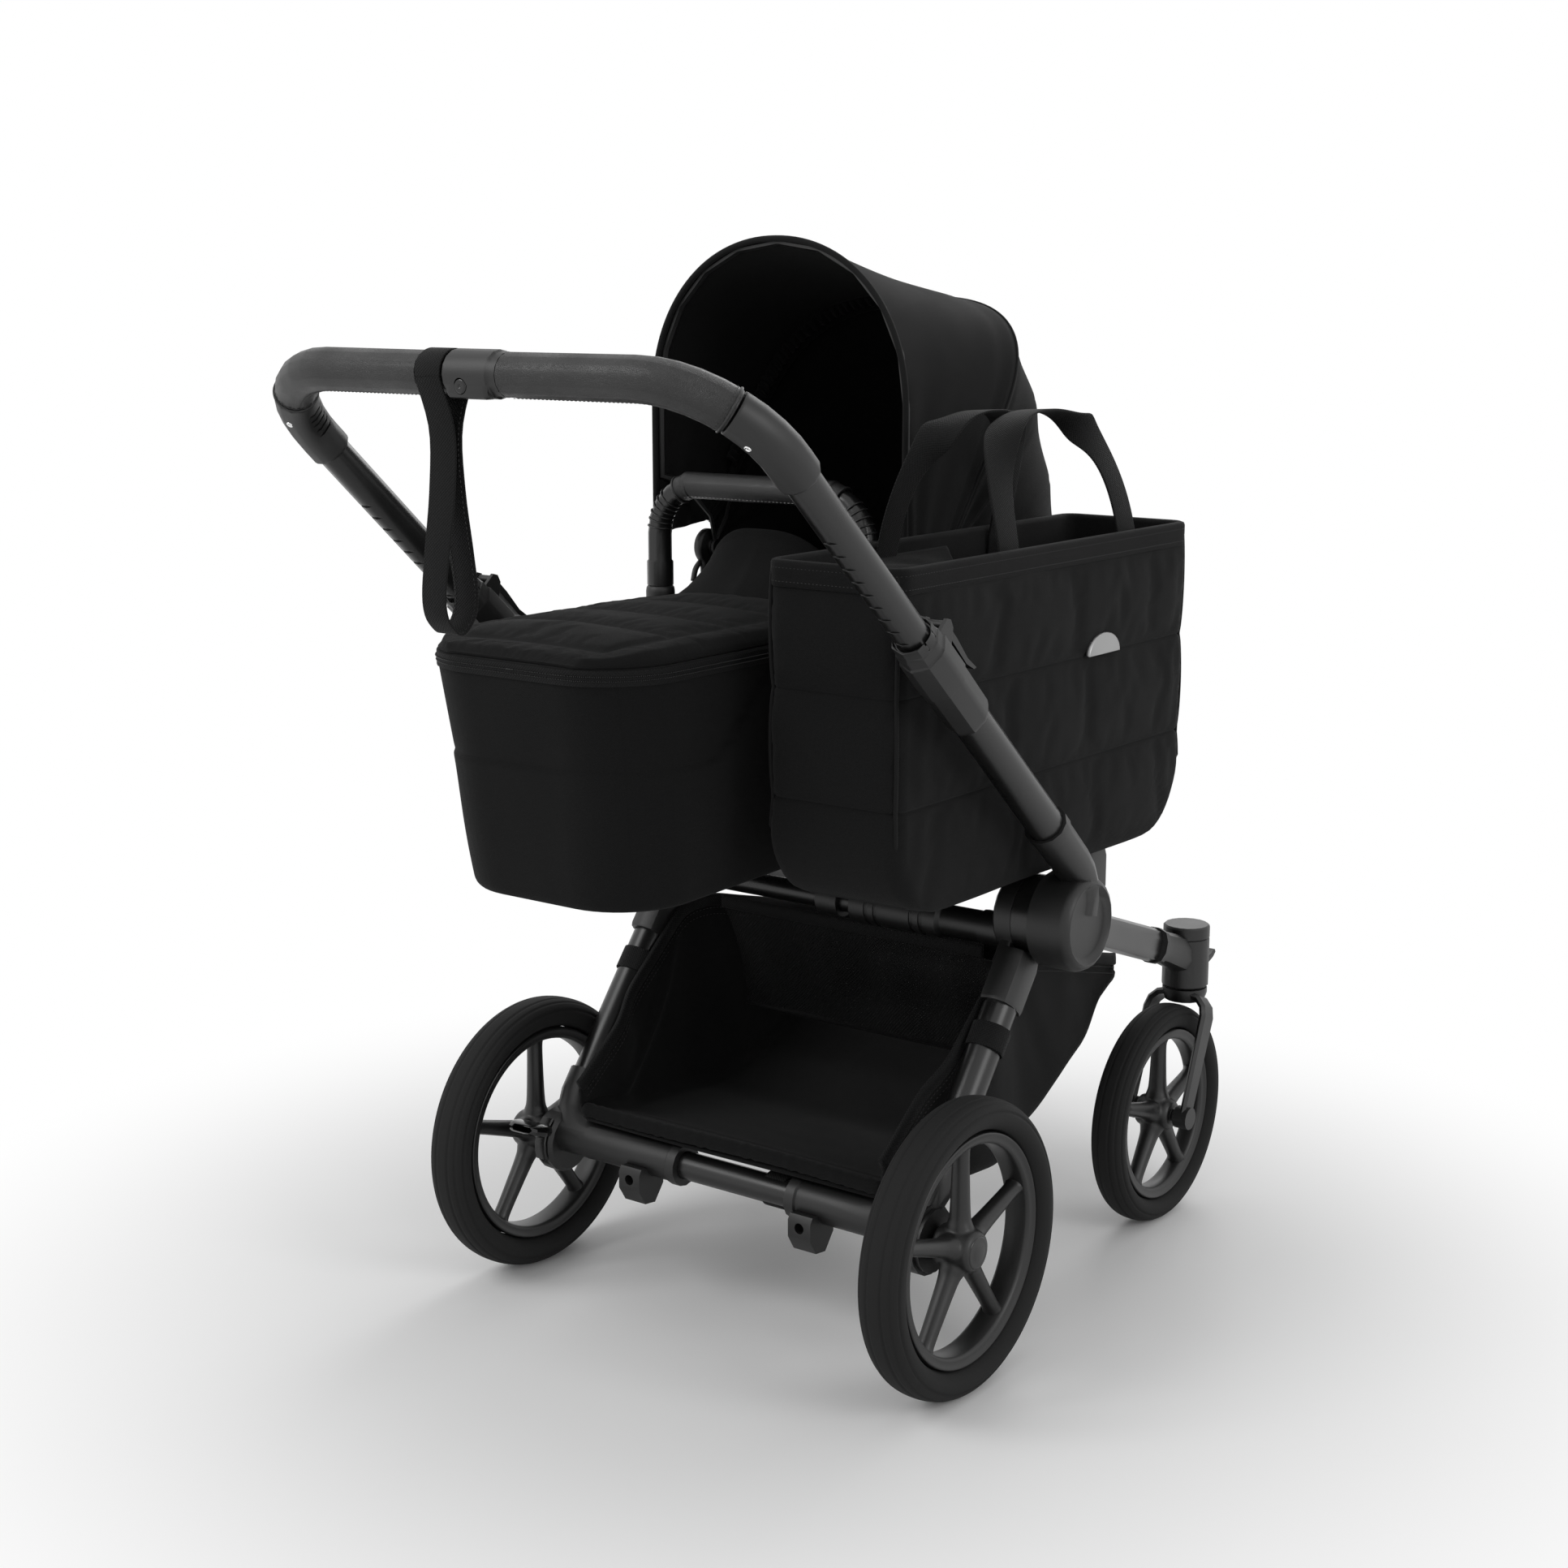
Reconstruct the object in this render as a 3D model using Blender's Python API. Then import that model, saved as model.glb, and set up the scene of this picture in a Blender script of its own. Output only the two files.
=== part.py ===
"""A four-wheeled pram: a folding, widening chassis that carries a carrycot with a
folding canopy on its left and a shopping bag on its right, over a fabric basket.

Metres, +Z up, +Y the way the pram is pushed, +X to the right of whoever pushes it.
The shapes are drawn in a frame whose origin is on the ground under the rear axle,
and one empty then moves them all so that the origin is under the pram's middle.
Every right-hand piece of the chassis is modelled, and its left twin is its mirror image.
"""

import math

import bmesh
import bpy
from mathutils import Matrix, Quaternion, Vector

# Clearances
GAP = 0.0003
RUNNING = 0.0006
PIERCE = 0.002

# Chassis layout
WHEELBASE = 0.524
HALF_TRACK = 0.279
HALF_FRONT_TRACK = 0.2143
HUB_FORWARD = 0.205
HUB_HEIGHT = 0.435
WIDENING = 0.140

# Wheels
REAR_WHEEL_R = 0.150
REAR_TYRE_HALF_W = 0.024
REAR_TYRE_SEAT_R = 0.118
FRONT_WHEEL_R = 0.1274
FRONT_TYRE_HALF_W = 0.020
FRONT_TYRE_SEAT_R = 0.100
RIM_DEPTH = 0.0125
REAR_HUB_R = 0.021
FRONT_HUB_R = 0.018
WHEEL_PIN_R = 0.006
SPOKES = 5
WHEEL_STEPS = 28

# Caster
CASTER_TRAIL = 0.059
HEAD_R = 0.027
HEAD_TOP = 0.341
HEAD_BOTTOM = 0.2675
FORK_TOP = 0.2660
FORK_ARM_X = 0.0365
FORK_ARM_T = 0.008
FORK_ARM_W = 0.028
STEM_R = 0.008
STEM_LENGTH = 0.045
AXLE_BOSS_R = 0.013

# Side tubes and the stack of discs that the chassis folds on
LEG_R = 0.018
LEG_TYRE_CLEARANCE = 0.005
DISC_R = 0.050
INNER_DISC_R = 0.0430
HUB_PIN_R = 0.012
HOUSING_W = 0.0250
FRONT_DISC_W = 0.0225
HANDLE_DISC_W = 0.0465
CUFF_END = 0.100
CUFF_SIDE_WALL = 0.0009
CUFF_CLEARANCE = 0.0028
LEG_SEAT = 0.045
FRONT_LEG_H = 0.036
FRONT_LEG_DROP = 19.0

# Cross members
AXLE_TUBE_R = 0.015
AXLE_SLEEVE_R = 0.0205
LEG_SOCKET_WALL = 0.0037
AXLE_TUBE_Z = 0.160
LEFT_SLEEVE_END = 0.060
RIGHT_SLEEVE_END = 0.085
SOCKET_X = 0.112
DRUM_R = 0.036
DRUM_W = 0.0255
CROSS_TUBE_R = 0.0125
CROSS_SLEEVE_R = 0.021
CROSS_Y = 0.200
CROSS_Z = 0.415
CROSS_SLEEVE_START = 0.016
CROSS_SLEEVE_END = 0.130

# Handle
HANDLE_SLOPE = 42.0
HANDLE_OFFSET = 0.043
LOWER_TUBE_R = 0.019
INNER_TUBE_R = 0.0165
BOOT_R = 0.0222
BOOT_END = 0.121
COLLAR_START = 0.3135
COLLAR_LENGTH = 0.1325
COLLAR_W = 0.0452
COLLAR_D = 0.050
HANDLE_LENGTH = 0.7925
HANDLE_BEND_R = 0.100
ELBOW_SEAM = 38.0
ELBOW_R = 0.0208
GRIP_R = 0.020
BAR_TUBE_R = 0.0125
BAR_RETRACT = 0.120
NOTCH_PITCH = 0.0185
NOTCHES = 9
CLAMP_RING_R = 0.0212
BUTTON_R = 0.0068
BUTTON_TRAVEL = 0.003
CLAMP_LEFT = -0.055
CLAMP_RIGHT = 0.040
STRAP_W = 0.030
STRAP_T = 0.0018
STRAP_DROP = 0.228

# Carrycot
COT_OVER_LEG = 0.003
COT_HALF_W = 0.140
COT_FOOT = -0.225
COT_HEAD = 0.620
COT_RIM_Z = 0.722
COT_BOTTOM_Z = 0.478
COT_RISE = 0.022
COT_WALL = 0.010
COT_FOOT_CORNER = 0.080
COT_HEAD_CORNER = 0.120
APRON_END = 0.205
APRON_CROWN = 0.022
FLAP_HEIGHT = 0.090
POST_Y = 0.170
POST_INSET = 0.002
POST_R = 0.013
POST_ROD_R = 0.0105
SOCKET_TOP = 0.745
CARRY_TOP = 0.857
CARRY_BEND_R = 0.055

# Canopy
CANOPY_SHIFT = 0.010
CANOPY_OVERHANG = 0.0265
CANOPY_T = 0.002
PIVOT_Y = 0.257
PIVOT_Z = 0.780
PIVOT_DISC_R = 0.020
HOOP_T = 0.005
HOOP_W = 0.008
HOOP_DEPTH = CANOPY_T + HOOP_T / 2 + 0.0008
FRONT_HOOP_Y = 0.192
CANOPY_TOP = 1.118
SECOND_ANGLE = 53.0
SECOND_REACH = 0.3445

# Bag and basket
BAG_OVER_LEG = 0.013
BAG_TO_CANOPY = 0.0065
BAG_REAR = -0.065
BAG_FRONT = 0.500
BAG_BOTTOM = 0.479
BAG_TOP = 0.817
BAG_CORNER = 0.080
BAG_WALL = 0.008
QUILT_LINES = (0.588, 0.695)
WEBBING_W = 0.036
WEBBING_T = 0.0025
BAG_LOOP_RISE = 0.128
BASKET_WALL = 0.004
BASKET_REAR = -0.020
BASKET_FRONT = 0.507

# Worked out from the sizes above
LEG_X = HALF_TRACK - REAR_TYRE_HALF_W - LEG_TYRE_CLEARANCE - LEG_R
CUFF_HALF_W = LEG_R + CUFF_SIDE_WALL
HANDLE_DISC_X0 = LEG_X + CUFF_HALF_W + CUFF_CLEARANCE
FRONT_DISC_X1 = HANDLE_DISC_X0 - RUNNING
FRONT_DISC_X0 = FRONT_DISC_X1 - FRONT_DISC_W
HOUSING_X1 = FRONT_DISC_X0 - RUNNING
HOUSING_X0 = HOUSING_X1 - HOUSING_W
HANDLE_DISC_X1 = HANDLE_DISC_X0 + HANDLE_DISC_W
HANDLE_X = (HANDLE_DISC_X0 + HANDLE_DISC_X1) / 2 + 0.003
DRUM_X1 = HALF_TRACK - REAR_TYRE_HALF_W - 0.0035
DRUM_X0 = DRUM_X1 - DRUM_W
HEAD_Y = WHEELBASE + CASTER_TRAIL
HANDLE_ANGLE = math.radians(HANDLE_SLOPE)
HANDLE_DIRECTION = Vector((0, -math.cos(HANDLE_ANGLE), math.sin(HANDLE_ANGLE)))
HANDLE_FRONT = Vector((0, math.sin(HANDLE_ANGLE), math.cos(HANDLE_ANGLE)))
HANDLE_FOOT = Vector((HANDLE_X, HUB_FORWARD, HUB_HEIGHT)) + HANDLE_OFFSET * HANDLE_FRONT
BAR_Y = (HANDLE_FOOT + HANDLE_LENGTH * HANDLE_DIRECTION).y
BAR_Z = (HANDLE_FOOT + HANDLE_LENGTH * HANDLE_DIRECTION).z
LEG_TOP = Vector((LEG_X, HUB_FORWARD, HUB_HEIGHT - 0.005))
LEG_FOOT = Vector((LEG_X, -0.006, AXLE_TUBE_Z))
LEG_DIRECTION = (LEG_FOOT - LEG_TOP).normalized()
LEG_LENGTH = (LEG_FOOT - LEG_TOP).length
FRONT_LEG_ANGLE = math.radians(FRONT_LEG_DROP)
FRONT_LEG_DIRECTION = Vector((0, math.cos(FRONT_LEG_ANGLE), -math.sin(FRONT_LEG_ANGLE)))
COT_X = COT_HALF_W - LEG_X - COT_OVER_LEG
POST_X = COT_HALF_W - POST_INSET
PIVOT_X = COT_HALF_W
CANOPY_X = COT_X + CANOPY_SHIFT
CANOPY_HALF_W = COT_HALF_W + CANOPY_OVERHANG
BAG_OUTER_X = LEG_X + BAG_OVER_LEG
BAG_INNER_X = CANOPY_X + CANOPY_HALF_W + BAG_TO_CANOPY
FRONT_REACH = WHEELBASE + FRONT_WHEEL_R
REAR_REACH = BAR_Y - CLAMP_RING_R
CENTRE_Y = (FRONT_REACH + REAR_REACH) / 2

LOOKS = {
    "black_anodised": ((0.012, 0.012, 0.013), 0.38, 0.85),
    "black_plastic": ((0.013, 0.013, 0.013), 0.50, 0.0),
    "gloss_plastic": ((0.010, 0.010, 0.010), 0.12, 0.0),
    "tyre_rubber": ((0.016, 0.016, 0.016), 0.62, 0.0),
    "black_leather": ((0.012, 0.012, 0.012), 0.45, 0.0),
    "black_canvas": ((0.010, 0.010, 0.011), 0.85, 0.0),
    "black_net": ((0.010, 0.010, 0.010), 0.75, 0.0),
    "black_webbing": ((0.011, 0.011, 0.011), 0.80, 0.0),
    "cot_lining": ((0.014, 0.014, 0.015), 0.95, 0.0),
}


# General helpers

def clear_scene():
    for obj in list(bpy.data.objects):
        bpy.data.objects.remove(obj)


def make_material(name, look):
    """A piece's own material, in one of the pram's few looks."""
    colour, roughness, metallic = LOOKS[look]
    material = bpy.data.materials.new(name)
    material.use_nodes = True
    shader = material.node_tree.nodes["Principled BSDF"]
    shader.inputs["Base Color"].default_value = (*colour, 1)
    shader.inputs["Roughness"].default_value = roughness
    shader.inputs["Metallic"].default_value = metallic
    return material


def object_of(name, bm):
    """Closes a bmesh into an object whose faces point out."""
    bmesh.ops.recalc_face_normals(bm, faces=bm.faces[:])
    if bm.calc_volume(signed=True) < 0:
        bmesh.ops.reverse_faces(bm, faces=bm.faces[:])
    mesh = bpy.data.meshes.new(name)
    bm.to_mesh(mesh)
    bm.free()
    obj = bpy.data.objects.new(name, mesh)
    bpy.context.scene.collection.objects.link(obj)
    return obj


def skin(name, rings, closed=False):
    """Joins rings of equally many points, and caps the ends unless the rings close on themselves."""
    bm = bmesh.new()
    loops = [[bm.verts.new(point) for point in ring] for ring in rings]
    count = len(loops[0])
    last = len(loops) if closed else len(loops) - 1
    for i in range(last):
        here, there = loops[i], loops[(i + 1) % len(loops)]
        for j in range(count):
            k = (j + 1) % count
            bm.faces.new((here[j], here[k], there[k], there[j]))
    if not closed:
        bm.faces.new(loops[0])
        bm.faces.new(loops[-1])
    return object_of(name, bm)


def triangulated(obj):
    """Splits a skin's faces into triangles, which are flat, so that a Boolean can cut them exactly."""
    bm = bmesh.new()
    bm.from_mesh(obj.data)
    bmesh.ops.triangulate(bm, faces=bm.faces[:])
    bm.to_mesh(obj.data)
    bm.free()
    return obj


def turned(name, profile, centre, axis, steps=16, ring=False):
    """Turns a profile of (radius, height) points about an axis. A ring's profile closes on itself."""
    bm = bmesh.new()
    verts = [bm.verts.new((radius, 0, height)) for radius, height in profile]
    edges = [bm.edges.new(pair) for pair in zip(verts, verts[1:])]
    if ring:
        edges.append(bm.edges.new((verts[-1], verts[0])))
    bmesh.ops.spin(
        bm, geom=verts + edges, cent=(0, 0, 0), axis=(0, 0, 1), angle=2 * math.pi, steps=steps, use_merge=True
    )
    bmesh.ops.remove_doubles(bm, verts=bm.verts[:], dist=1e-6)
    turn = Vector((0, 0, 1)).rotation_difference(Vector(axis))
    bm.transform(Matrix.Translation(centre) @ turn.to_matrix().to_4x4())
    return object_of(name, bm)


def cylinder(radius, start, end, steps=16):
    """A plain round bar between two points, for fusing and cutting."""
    axis = Vector(end) - Vector(start)
    profile = [(0, 0), (radius, 0), (radius, axis.length), (0, axis.length)]
    return turned("bar", profile, start, axis.normalized(), steps)


def extruded(name, outline, depth):
    """Extrudes a flat outline of points through the vector depth."""
    bm = bmesh.new()
    face = bm.faces.new([bm.verts.new(point) for point in outline])
    far = bmesh.ops.extrude_face_region(bm, geom=[face])["geom"]
    bmesh.ops.translate(bm, vec=depth, verts=[part for part in far if isinstance(part, bmesh.types.BMVert)])
    return object_of(name, bm)


def block(low, high):
    low, high = Vector(low), Vector(high)
    outline = [(low.x, low.y, low.z), (high.x, low.y, low.z), (high.x, high.y, low.z), (low.x, high.y, low.z)]
    return extruded("block", outline, (0, 0, high.z - low.z))


def combine(target, tools, operation):
    """Applies exact Booleans of the tools to the target, and removes the tools."""
    for tool in tools:
        modifier = target.modifiers.new(operation.lower(), "BOOLEAN")
        modifier.operation = operation
        modifier.object = tool
        bpy.context.view_layer.update()
        graph = bpy.context.evaluated_depsgraph_get()
        mesh = bpy.data.meshes.new_from_object(target.evaluated_get(graph))
        target.modifiers.clear()
        target.data = mesh
        bpy.data.objects.remove(tool)
    return target


def fuse(target, *tools):
    return combine(target, tools, "UNION")


def cut(target, *tools):
    return combine(target, tools, "DIFFERENCE")


def circle(radius, sides):
    angles = [2 * math.pi * (i + 0.5) / sides for i in range(sides)]
    return [(radius * math.cos(angle), radius * math.sin(angle)) for angle in angles]


def rounded_rectangle(width, height, radius, per_corner=3):
    points = []
    for corner, (sx, sy) in enumerate(((1, 1), (-1, 1), (-1, -1), (1, -1))):
        for i in range(per_corner):
            angle = math.pi / 2 * (corner + i / (per_corner - 1))
            x = sx * (width / 2 - radius) + radius * math.cos(angle)
            y = sy * (height / 2 - radius) + radius * math.sin(angle)
            points.append((x, y))
    return points


def rounded_path(corners, radii, steps=5):
    """A path through corners, each rounded by its radius. The two ends have none."""
    corners = [Vector(corner) for corner in corners]
    path = [corners[0]]
    for before, corner, after, radius in zip(corners, corners[1:], corners[2:], radii):
        into = (corner - before).normalized()
        out = (after - corner).normalized()
        half = into.angle(out) / 2
        setback = radius * math.tan(half)
        start = corner - into * setback
        centre = start + (out - into * into.dot(out)).normalized() * radius
        turn_axis = into.cross(out).normalized()
        for i in range(steps + 1):
            swing = Quaternion(turn_axis, 2 * half * i / steps)
            path.append(centre + swing @ (start - centre))
    path.append(corners[-1])
    return path


def tangent_at(path, i, closed=False):
    """The direction halfway between the path's two stretches that meet at its point i."""
    count = len(path)
    into = (path[i] - path[i - 1]).normalized() if closed or i > 0 else Vector()
    out = (path[(i + 1) % count] - path[i]).normalized() if closed or i < count - 1 else Vector()
    return (into + out).normalized()


def sweep(name, path, section, across, scales=None, closed=False):
    """Carries a flat section of (across, up) points along a path."""
    path = [Vector(point) for point in path]
    side = Vector(across)
    rings = []
    for i, point in enumerate(path):
        tangent = tangent_at(path, i, closed)
        side = (side - tangent * side.dot(tangent)).normalized()
        up = tangent.cross(side)
        scale = scales[i] if scales else 1
        rings.append([point + (side * a + up * b) * scale for a, b in section])
    return skin(name, rings, closed)


def tube(name, path, radius, sides=12, scales=None):
    """A round bar along a path. Its section starts from the axis that the path leaves most squarely."""
    start = (Vector(path[1]) - Vector(path[0])).normalized()
    across = (1, 0, 0) if abs(start.x) < 0.9 else (0, 0, 1)
    return sweep(name, path, circle(radius, sides), across, scales)


def ribbon(name, path, width_directions, width, thickness, closed=False):
    """A flat strap along a path, its width lying along the direction given for each point."""
    path = [Vector(point) for point in path]
    rings = []
    for i, point in enumerate(path):
        tangent = tangent_at(path, i, closed)
        wide = Vector(width_directions[i])
        wide = (wide - tangent * wide.dot(tangent)).normalized() * width / 2
        thick = tangent.cross(wide).normalized() * thickness / 2
        rings.append([point + wide + thick, point - wide + thick, point - wide - thick, point + wide - thick])
    return skin(name, rings, closed)


def mirrored(obj, name):
    """The piece's twin on the other side of the pram."""
    twin = bpy.data.objects.new(name, obj.data.copy())
    twin.data.transform(Matrix.Diagonal((-1, 1, 1, 1)))
    twin.data.flip_normals()
    bpy.context.scene.collection.objects.link(twin)
    return twin


def blended(table, value):
    """Reads a value off a short list of (place, value) stations, with straight lines between them."""
    if value <= table[0][0]:
        return table[0][1]
    for (low, first), (high, second) in zip(table, table[1:]):
        if value <= high:
            return first + (second - first) * (value - low) / (high - low)
    return table[-1][1]


# Bodies: each has an empty on its joint's axis, and its pieces hang from that

def make_bodies():
    """One empty for each body, all under the empty that sets the pram's origin."""
    handle_top = HANDLE_FOOT + COLLAR_START * HANDLE_DIRECTION
    lever_pin = lever_pivot()
    points = {
        "chassis": (0, 0, 0),
        "chassis_right": (0, 0, 0),
        "cot": (COT_X, 0, COT_RIM_Z),
        "carry_grip": (COT_X, POST_Y, SOCKET_TOP),
        "canopy_second": (CANOPY_X, PIVOT_Y, PIVOT_Z),
        "canopy_front": (CANOPY_X, PIVOT_Y, PIVOT_Z),
        "bag": (BAG_OUTER_X, 0, BAG_BOTTOM),
        "bar_button": (0, BAR_Y, BAR_Z),
        "brake_pedal": (-DRUM_X0, 0, REAR_WHEEL_R),
    }
    for side, sign in (("left", -1), ("right", 1)):
        points[f"handle_{side}"] = (sign * HANDLE_X, HUB_FORWARD, HUB_HEIGHT)
        points[f"bar_{side}"] = (sign * HANDLE_X, handle_top.y, handle_top.z)
        points[f"clamp_lever_{side}"] = (sign * HANDLE_X, lever_pin.y, lever_pin.z)
        points[f"front_leg_{side}"] = (sign * FRONT_DISC_X0, HUB_FORWARD, HUB_HEIGHT)
        points[f"fork_{side}"] = (sign * HALF_FRONT_TRACK, HEAD_Y, HEAD_BOTTOM)
        points[f"swivel_tab_{side}"] = (sign * HALF_FRONT_TRACK, *tab_pivot())
        points[f"rear_wheel_{side}"] = (sign * HALF_TRACK, 0, REAR_WHEEL_R)
        points[f"front_wheel_{side}"] = (sign * HALF_FRONT_TRACK, WHEELBASE, FRONT_WHEEL_R)
    pram = bpy.data.objects.new("pram", None)
    pram.location = (0, -CENTRE_Y, 0)
    bpy.context.scene.collection.objects.link(pram)
    for name, point in points.items():
        empty = bpy.data.objects.new(f"{name}_axis", None)
        empty.location = point
        empty.parent = pram
        bpy.context.scene.collection.objects.link(empty)


def place(obj, name, body, look, crease=35):
    """Names a finished piece, moves its origin to its body's axis and hangs it there."""
    empty = bpy.data.objects[f"{body}_axis"]
    obj.name = name
    obj.data.name = name
    obj.data.transform(Matrix.Translation(-empty.location))
    obj.parent = empty
    obj.data.materials.clear()
    obj.data.materials.append(make_material(name, look))
    obj.data.shade_smooth()
    obj.data.set_sharp_from_angle(angle=math.radians(crease))


def place_pair(obj, name, body, look, left_body=None):
    """Places a right-hand piece and its mirrored twin."""
    twin = mirrored(obj, f"{name}_left")
    place(obj, f"{name}_right", body, look)
    place(twin, f"{name}_left", left_body or body.replace("right", "left"), look)


# Chassis

def leg_point(along):
    return LEG_TOP + along * LEG_DIRECTION


def rear_leg():
    return cylinder(LEG_R, leg_point(CUFF_END - LEG_SEAT), leg_point(LEG_LENGTH - 0.035), 16)


def hub_housing():
    """The innermost disc of the fold, with the rear leg's cuff and the pin that the others turn on."""
    middle = Vector((0, HUB_FORWARD, HUB_HEIGHT))
    rim = 0.003
    profile = [
        (0, HOUSING_X0),
        (INNER_DISC_R - 0.010, HOUSING_X0),
        (INNER_DISC_R - 0.008, HOUSING_X0 + rim),
        (INNER_DISC_R - rim, HOUSING_X0 + rim),
        (INNER_DISC_R, HOUSING_X0 + 2 * rim),
        (INNER_DISC_R, HOUSING_X1),
        (HUB_PIN_R, HOUSING_X1),
        (HUB_PIN_R, HANDLE_DISC_X1 - 0.012),
        (0, HANDLE_DISC_X1 - 0.012),
    ]
    housing = turned("hub_housing", profile, middle, (1, 0, 0), 20)
    cuff = sweep(
        "cuff",
        [leg_point(0.042), leg_point(0.050), leg_point(CUFF_END - 0.004), leg_point(CUFF_END)],
        rounded_rectangle(2 * CUFF_HALF_W, 2 * LEG_R + 0.011, 0.014),
        (1, 0, 0),
        scales=[0.93, 1, 1, 0.95],
    )
    neck_x = (LEG_X - LEG_R + HOUSING_X1 - 0.0008) / 2
    neck = sweep(
        "neck",
        [Vector((neck_x, *leg_point(t).yz)) for t in (0.020, 0.060)],
        rounded_rectangle(HOUSING_X1 - 0.0008 - (LEG_X - LEG_R), 0.040, 0.004),
        (1, 0, 0),
    )
    fuse(housing, cuff, neck)
    leg_bore = cylinder(LEG_R + GAP, leg_point(CUFF_END - LEG_SEAT - GAP), leg_point(CUFF_END + PIERCE), 16)
    return cut(housing, leg_bore)


def brake_drum(sleeve_end):
    """The casting at a rear wheel: brake drum, wheel pin, leg socket and the sleeve of the axle."""
    middle = Vector((0, 0, REAR_WHEEL_R))
    profile = [
        (0, DRUM_X0),
        (DRUM_R - 0.004, DRUM_X0),
        (DRUM_R, DRUM_X0 + 0.004),
        (DRUM_R, DRUM_X1 - 0.005),
        (DRUM_R - 0.0035, DRUM_X1 - 0.005),
        (DRUM_R - 0.0035, DRUM_X1),
        (WHEEL_PIN_R, DRUM_X1),
        (WHEEL_PIN_R, HALF_TRACK + 0.010),
        (0, HALF_TRACK + 0.010),
    ]
    drum = turned("brake_drum", profile, middle, (1, 0, 0), 18)
    axle_start = Vector((sleeve_end, LEG_FOOT.y, AXLE_TUBE_Z))
    elbow = rounded_path(
        [axle_start + Vector((0.070, 0, 0)), LEG_FOOT, leg_point(LEG_LENGTH - 0.070)], [0.045], 4
    )
    socket = (LEG_R + LEG_SOCKET_WALL) / AXLE_SLEEVE_R
    widths = [0.93] + [(1 + socket) / 2] * (len(elbow) - 3) + [socket] * 2
    bend = tube("bend", elbow, AXLE_SLEEVE_R, 13, scales=widths)
    ring = 0.0022
    sleeve_profile = [
        (0, 0),
        (AXLE_SLEEVE_R + ring, 0),
        (AXLE_SLEEVE_R + ring, 0.011),
        (AXLE_SLEEVE_R, 0.013),
        (AXLE_SLEEVE_R, DRUM_X0 + 0.004 - sleeve_end),
        (0, DRUM_X0 + 0.004 - sleeve_end),
    ]
    sleeve = turned("sleeve", sleeve_profile, axle_start, (1, 0, 0), 14)
    fuse(drum, sleeve, bend, board_socket())
    bore_end = (DRUM_X1 - 0.012, *axle_start.yz)
    axle_bore = cylinder(AXLE_TUBE_R + GAP, axle_start - Vector((PIERCE, 0, 0)), bore_end, 12)
    leg_bore = cylinder(LEG_R + GAP, leg_point(LEG_LENGTH - 0.035 + GAP), leg_point(LEG_LENGTH - 0.090), 16)
    socket_z = AXLE_TUBE_Z - 0.019
    socket_bore = cylinder(0.0058, (SOCKET_X, -0.060, socket_z), (SOCKET_X, -0.024, socket_z), 12)
    window_low = (DRUM_X0 + 0.008, -DRUM_R - 0.004, REAR_WHEEL_R - 0.024)
    window = block(window_low, (DRUM_X1 - 0.008, -DRUM_R + 0.007, REAR_WHEEL_R + 0.002))
    return cut(drum, axle_bore, leg_bore, socket_bore, window)


def board_socket():
    """The socket under the axle sleeve that takes a ride-on board, with the lip below it."""
    y, z = LEG_FOOT.y, AXLE_TUBE_Z
    outline = [
        (SOCKET_X - 0.014, y + 0.008, z - 0.010),
        (SOCKET_X - 0.014, y - 0.028, z - 0.006),
        (SOCKET_X - 0.014, y - 0.032, z - 0.012),
        (SOCKET_X - 0.014, y - 0.032, z - 0.030),
        (SOCKET_X - 0.014, y - 0.022, z - 0.046),
        (SOCKET_X - 0.014, y - 0.006, z - 0.048),
        (SOCKET_X - 0.014, y + 0.008, z - 0.030),
    ]
    return extruded("board_socket", outline, (0.028, 0, 0))


def axle_inner_tube():
    """The tube that both axle sleeves slide over, so that the pram can be made wider."""
    left = Vector((-HALF_TRACK + REAR_TYRE_HALF_W + 0.0035 + 0.0125, *LEG_FOOT.yz))
    right = Vector((DRUM_X1 - 0.0125, *LEG_FOOT.yz))
    return cylinder(AXLE_TUBE_R, left, right, 12)


def cross_tube():
    """The upper cross tube with its end fitting on the left-hand fold."""
    fitting_end = -HOUSING_X0 + GAP
    tube_end = WIDENING + 0.045
    profile = [
        (0, fitting_end),
        (0.0155, fitting_end),
        (0.0155, fitting_end + 0.030),
        (CROSS_TUBE_R, fitting_end + 0.034),
        (CROSS_TUBE_R, tube_end),
        (0, tube_end),
    ]
    return turned("cross_tube", profile, (0, CROSS_Y, CROSS_Z), (1, 0, 0), 16)


def cross_sleeve():
    """The grooved sleeve on the right that the cross tube slides in."""
    start, end = CROSS_SLEEVE_START, CROSS_SLEEVE_END
    groove, depth = 0.004, 0.002
    profile = [(0, start), (CROSS_SLEEVE_R, start)]
    for centre in (start + 0.022, start + 0.034, end - 0.034, end - 0.022):
        profile += [
            (CROSS_SLEEVE_R, centre - groove / 2),
            (CROSS_SLEEVE_R - depth, centre - groove / 2),
            (CROSS_SLEEVE_R - depth, centre + groove / 2),
            (CROSS_SLEEVE_R, centre + groove / 2),
        ]
    right = HOUSING_X0 - GAP
    profile += [
        (CROSS_SLEEVE_R, end - 0.004),
        (CROSS_SLEEVE_R - 0.005, end),
        (CROSS_SLEEVE_R - 0.005, right - 0.030),
        (CROSS_SLEEVE_R - 0.003, right - 0.027),
        (CROSS_SLEEVE_R - 0.003, right),
        (0, right),
    ]
    middle = Vector((0, CROSS_Y, CROSS_Z))
    sleeve = turned("cross_sleeve", profile, middle, (1, 0, 0), 14)
    bore_start, bore_end = Vector((start - PIERCE, 0, 0)), Vector((WIDENING + 0.0455, 0, 0))
    bore = cylinder(CROSS_TUBE_R + GAP, middle + bore_start, middle + bore_end, 16)
    return cut(sleeve, bore)


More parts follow.
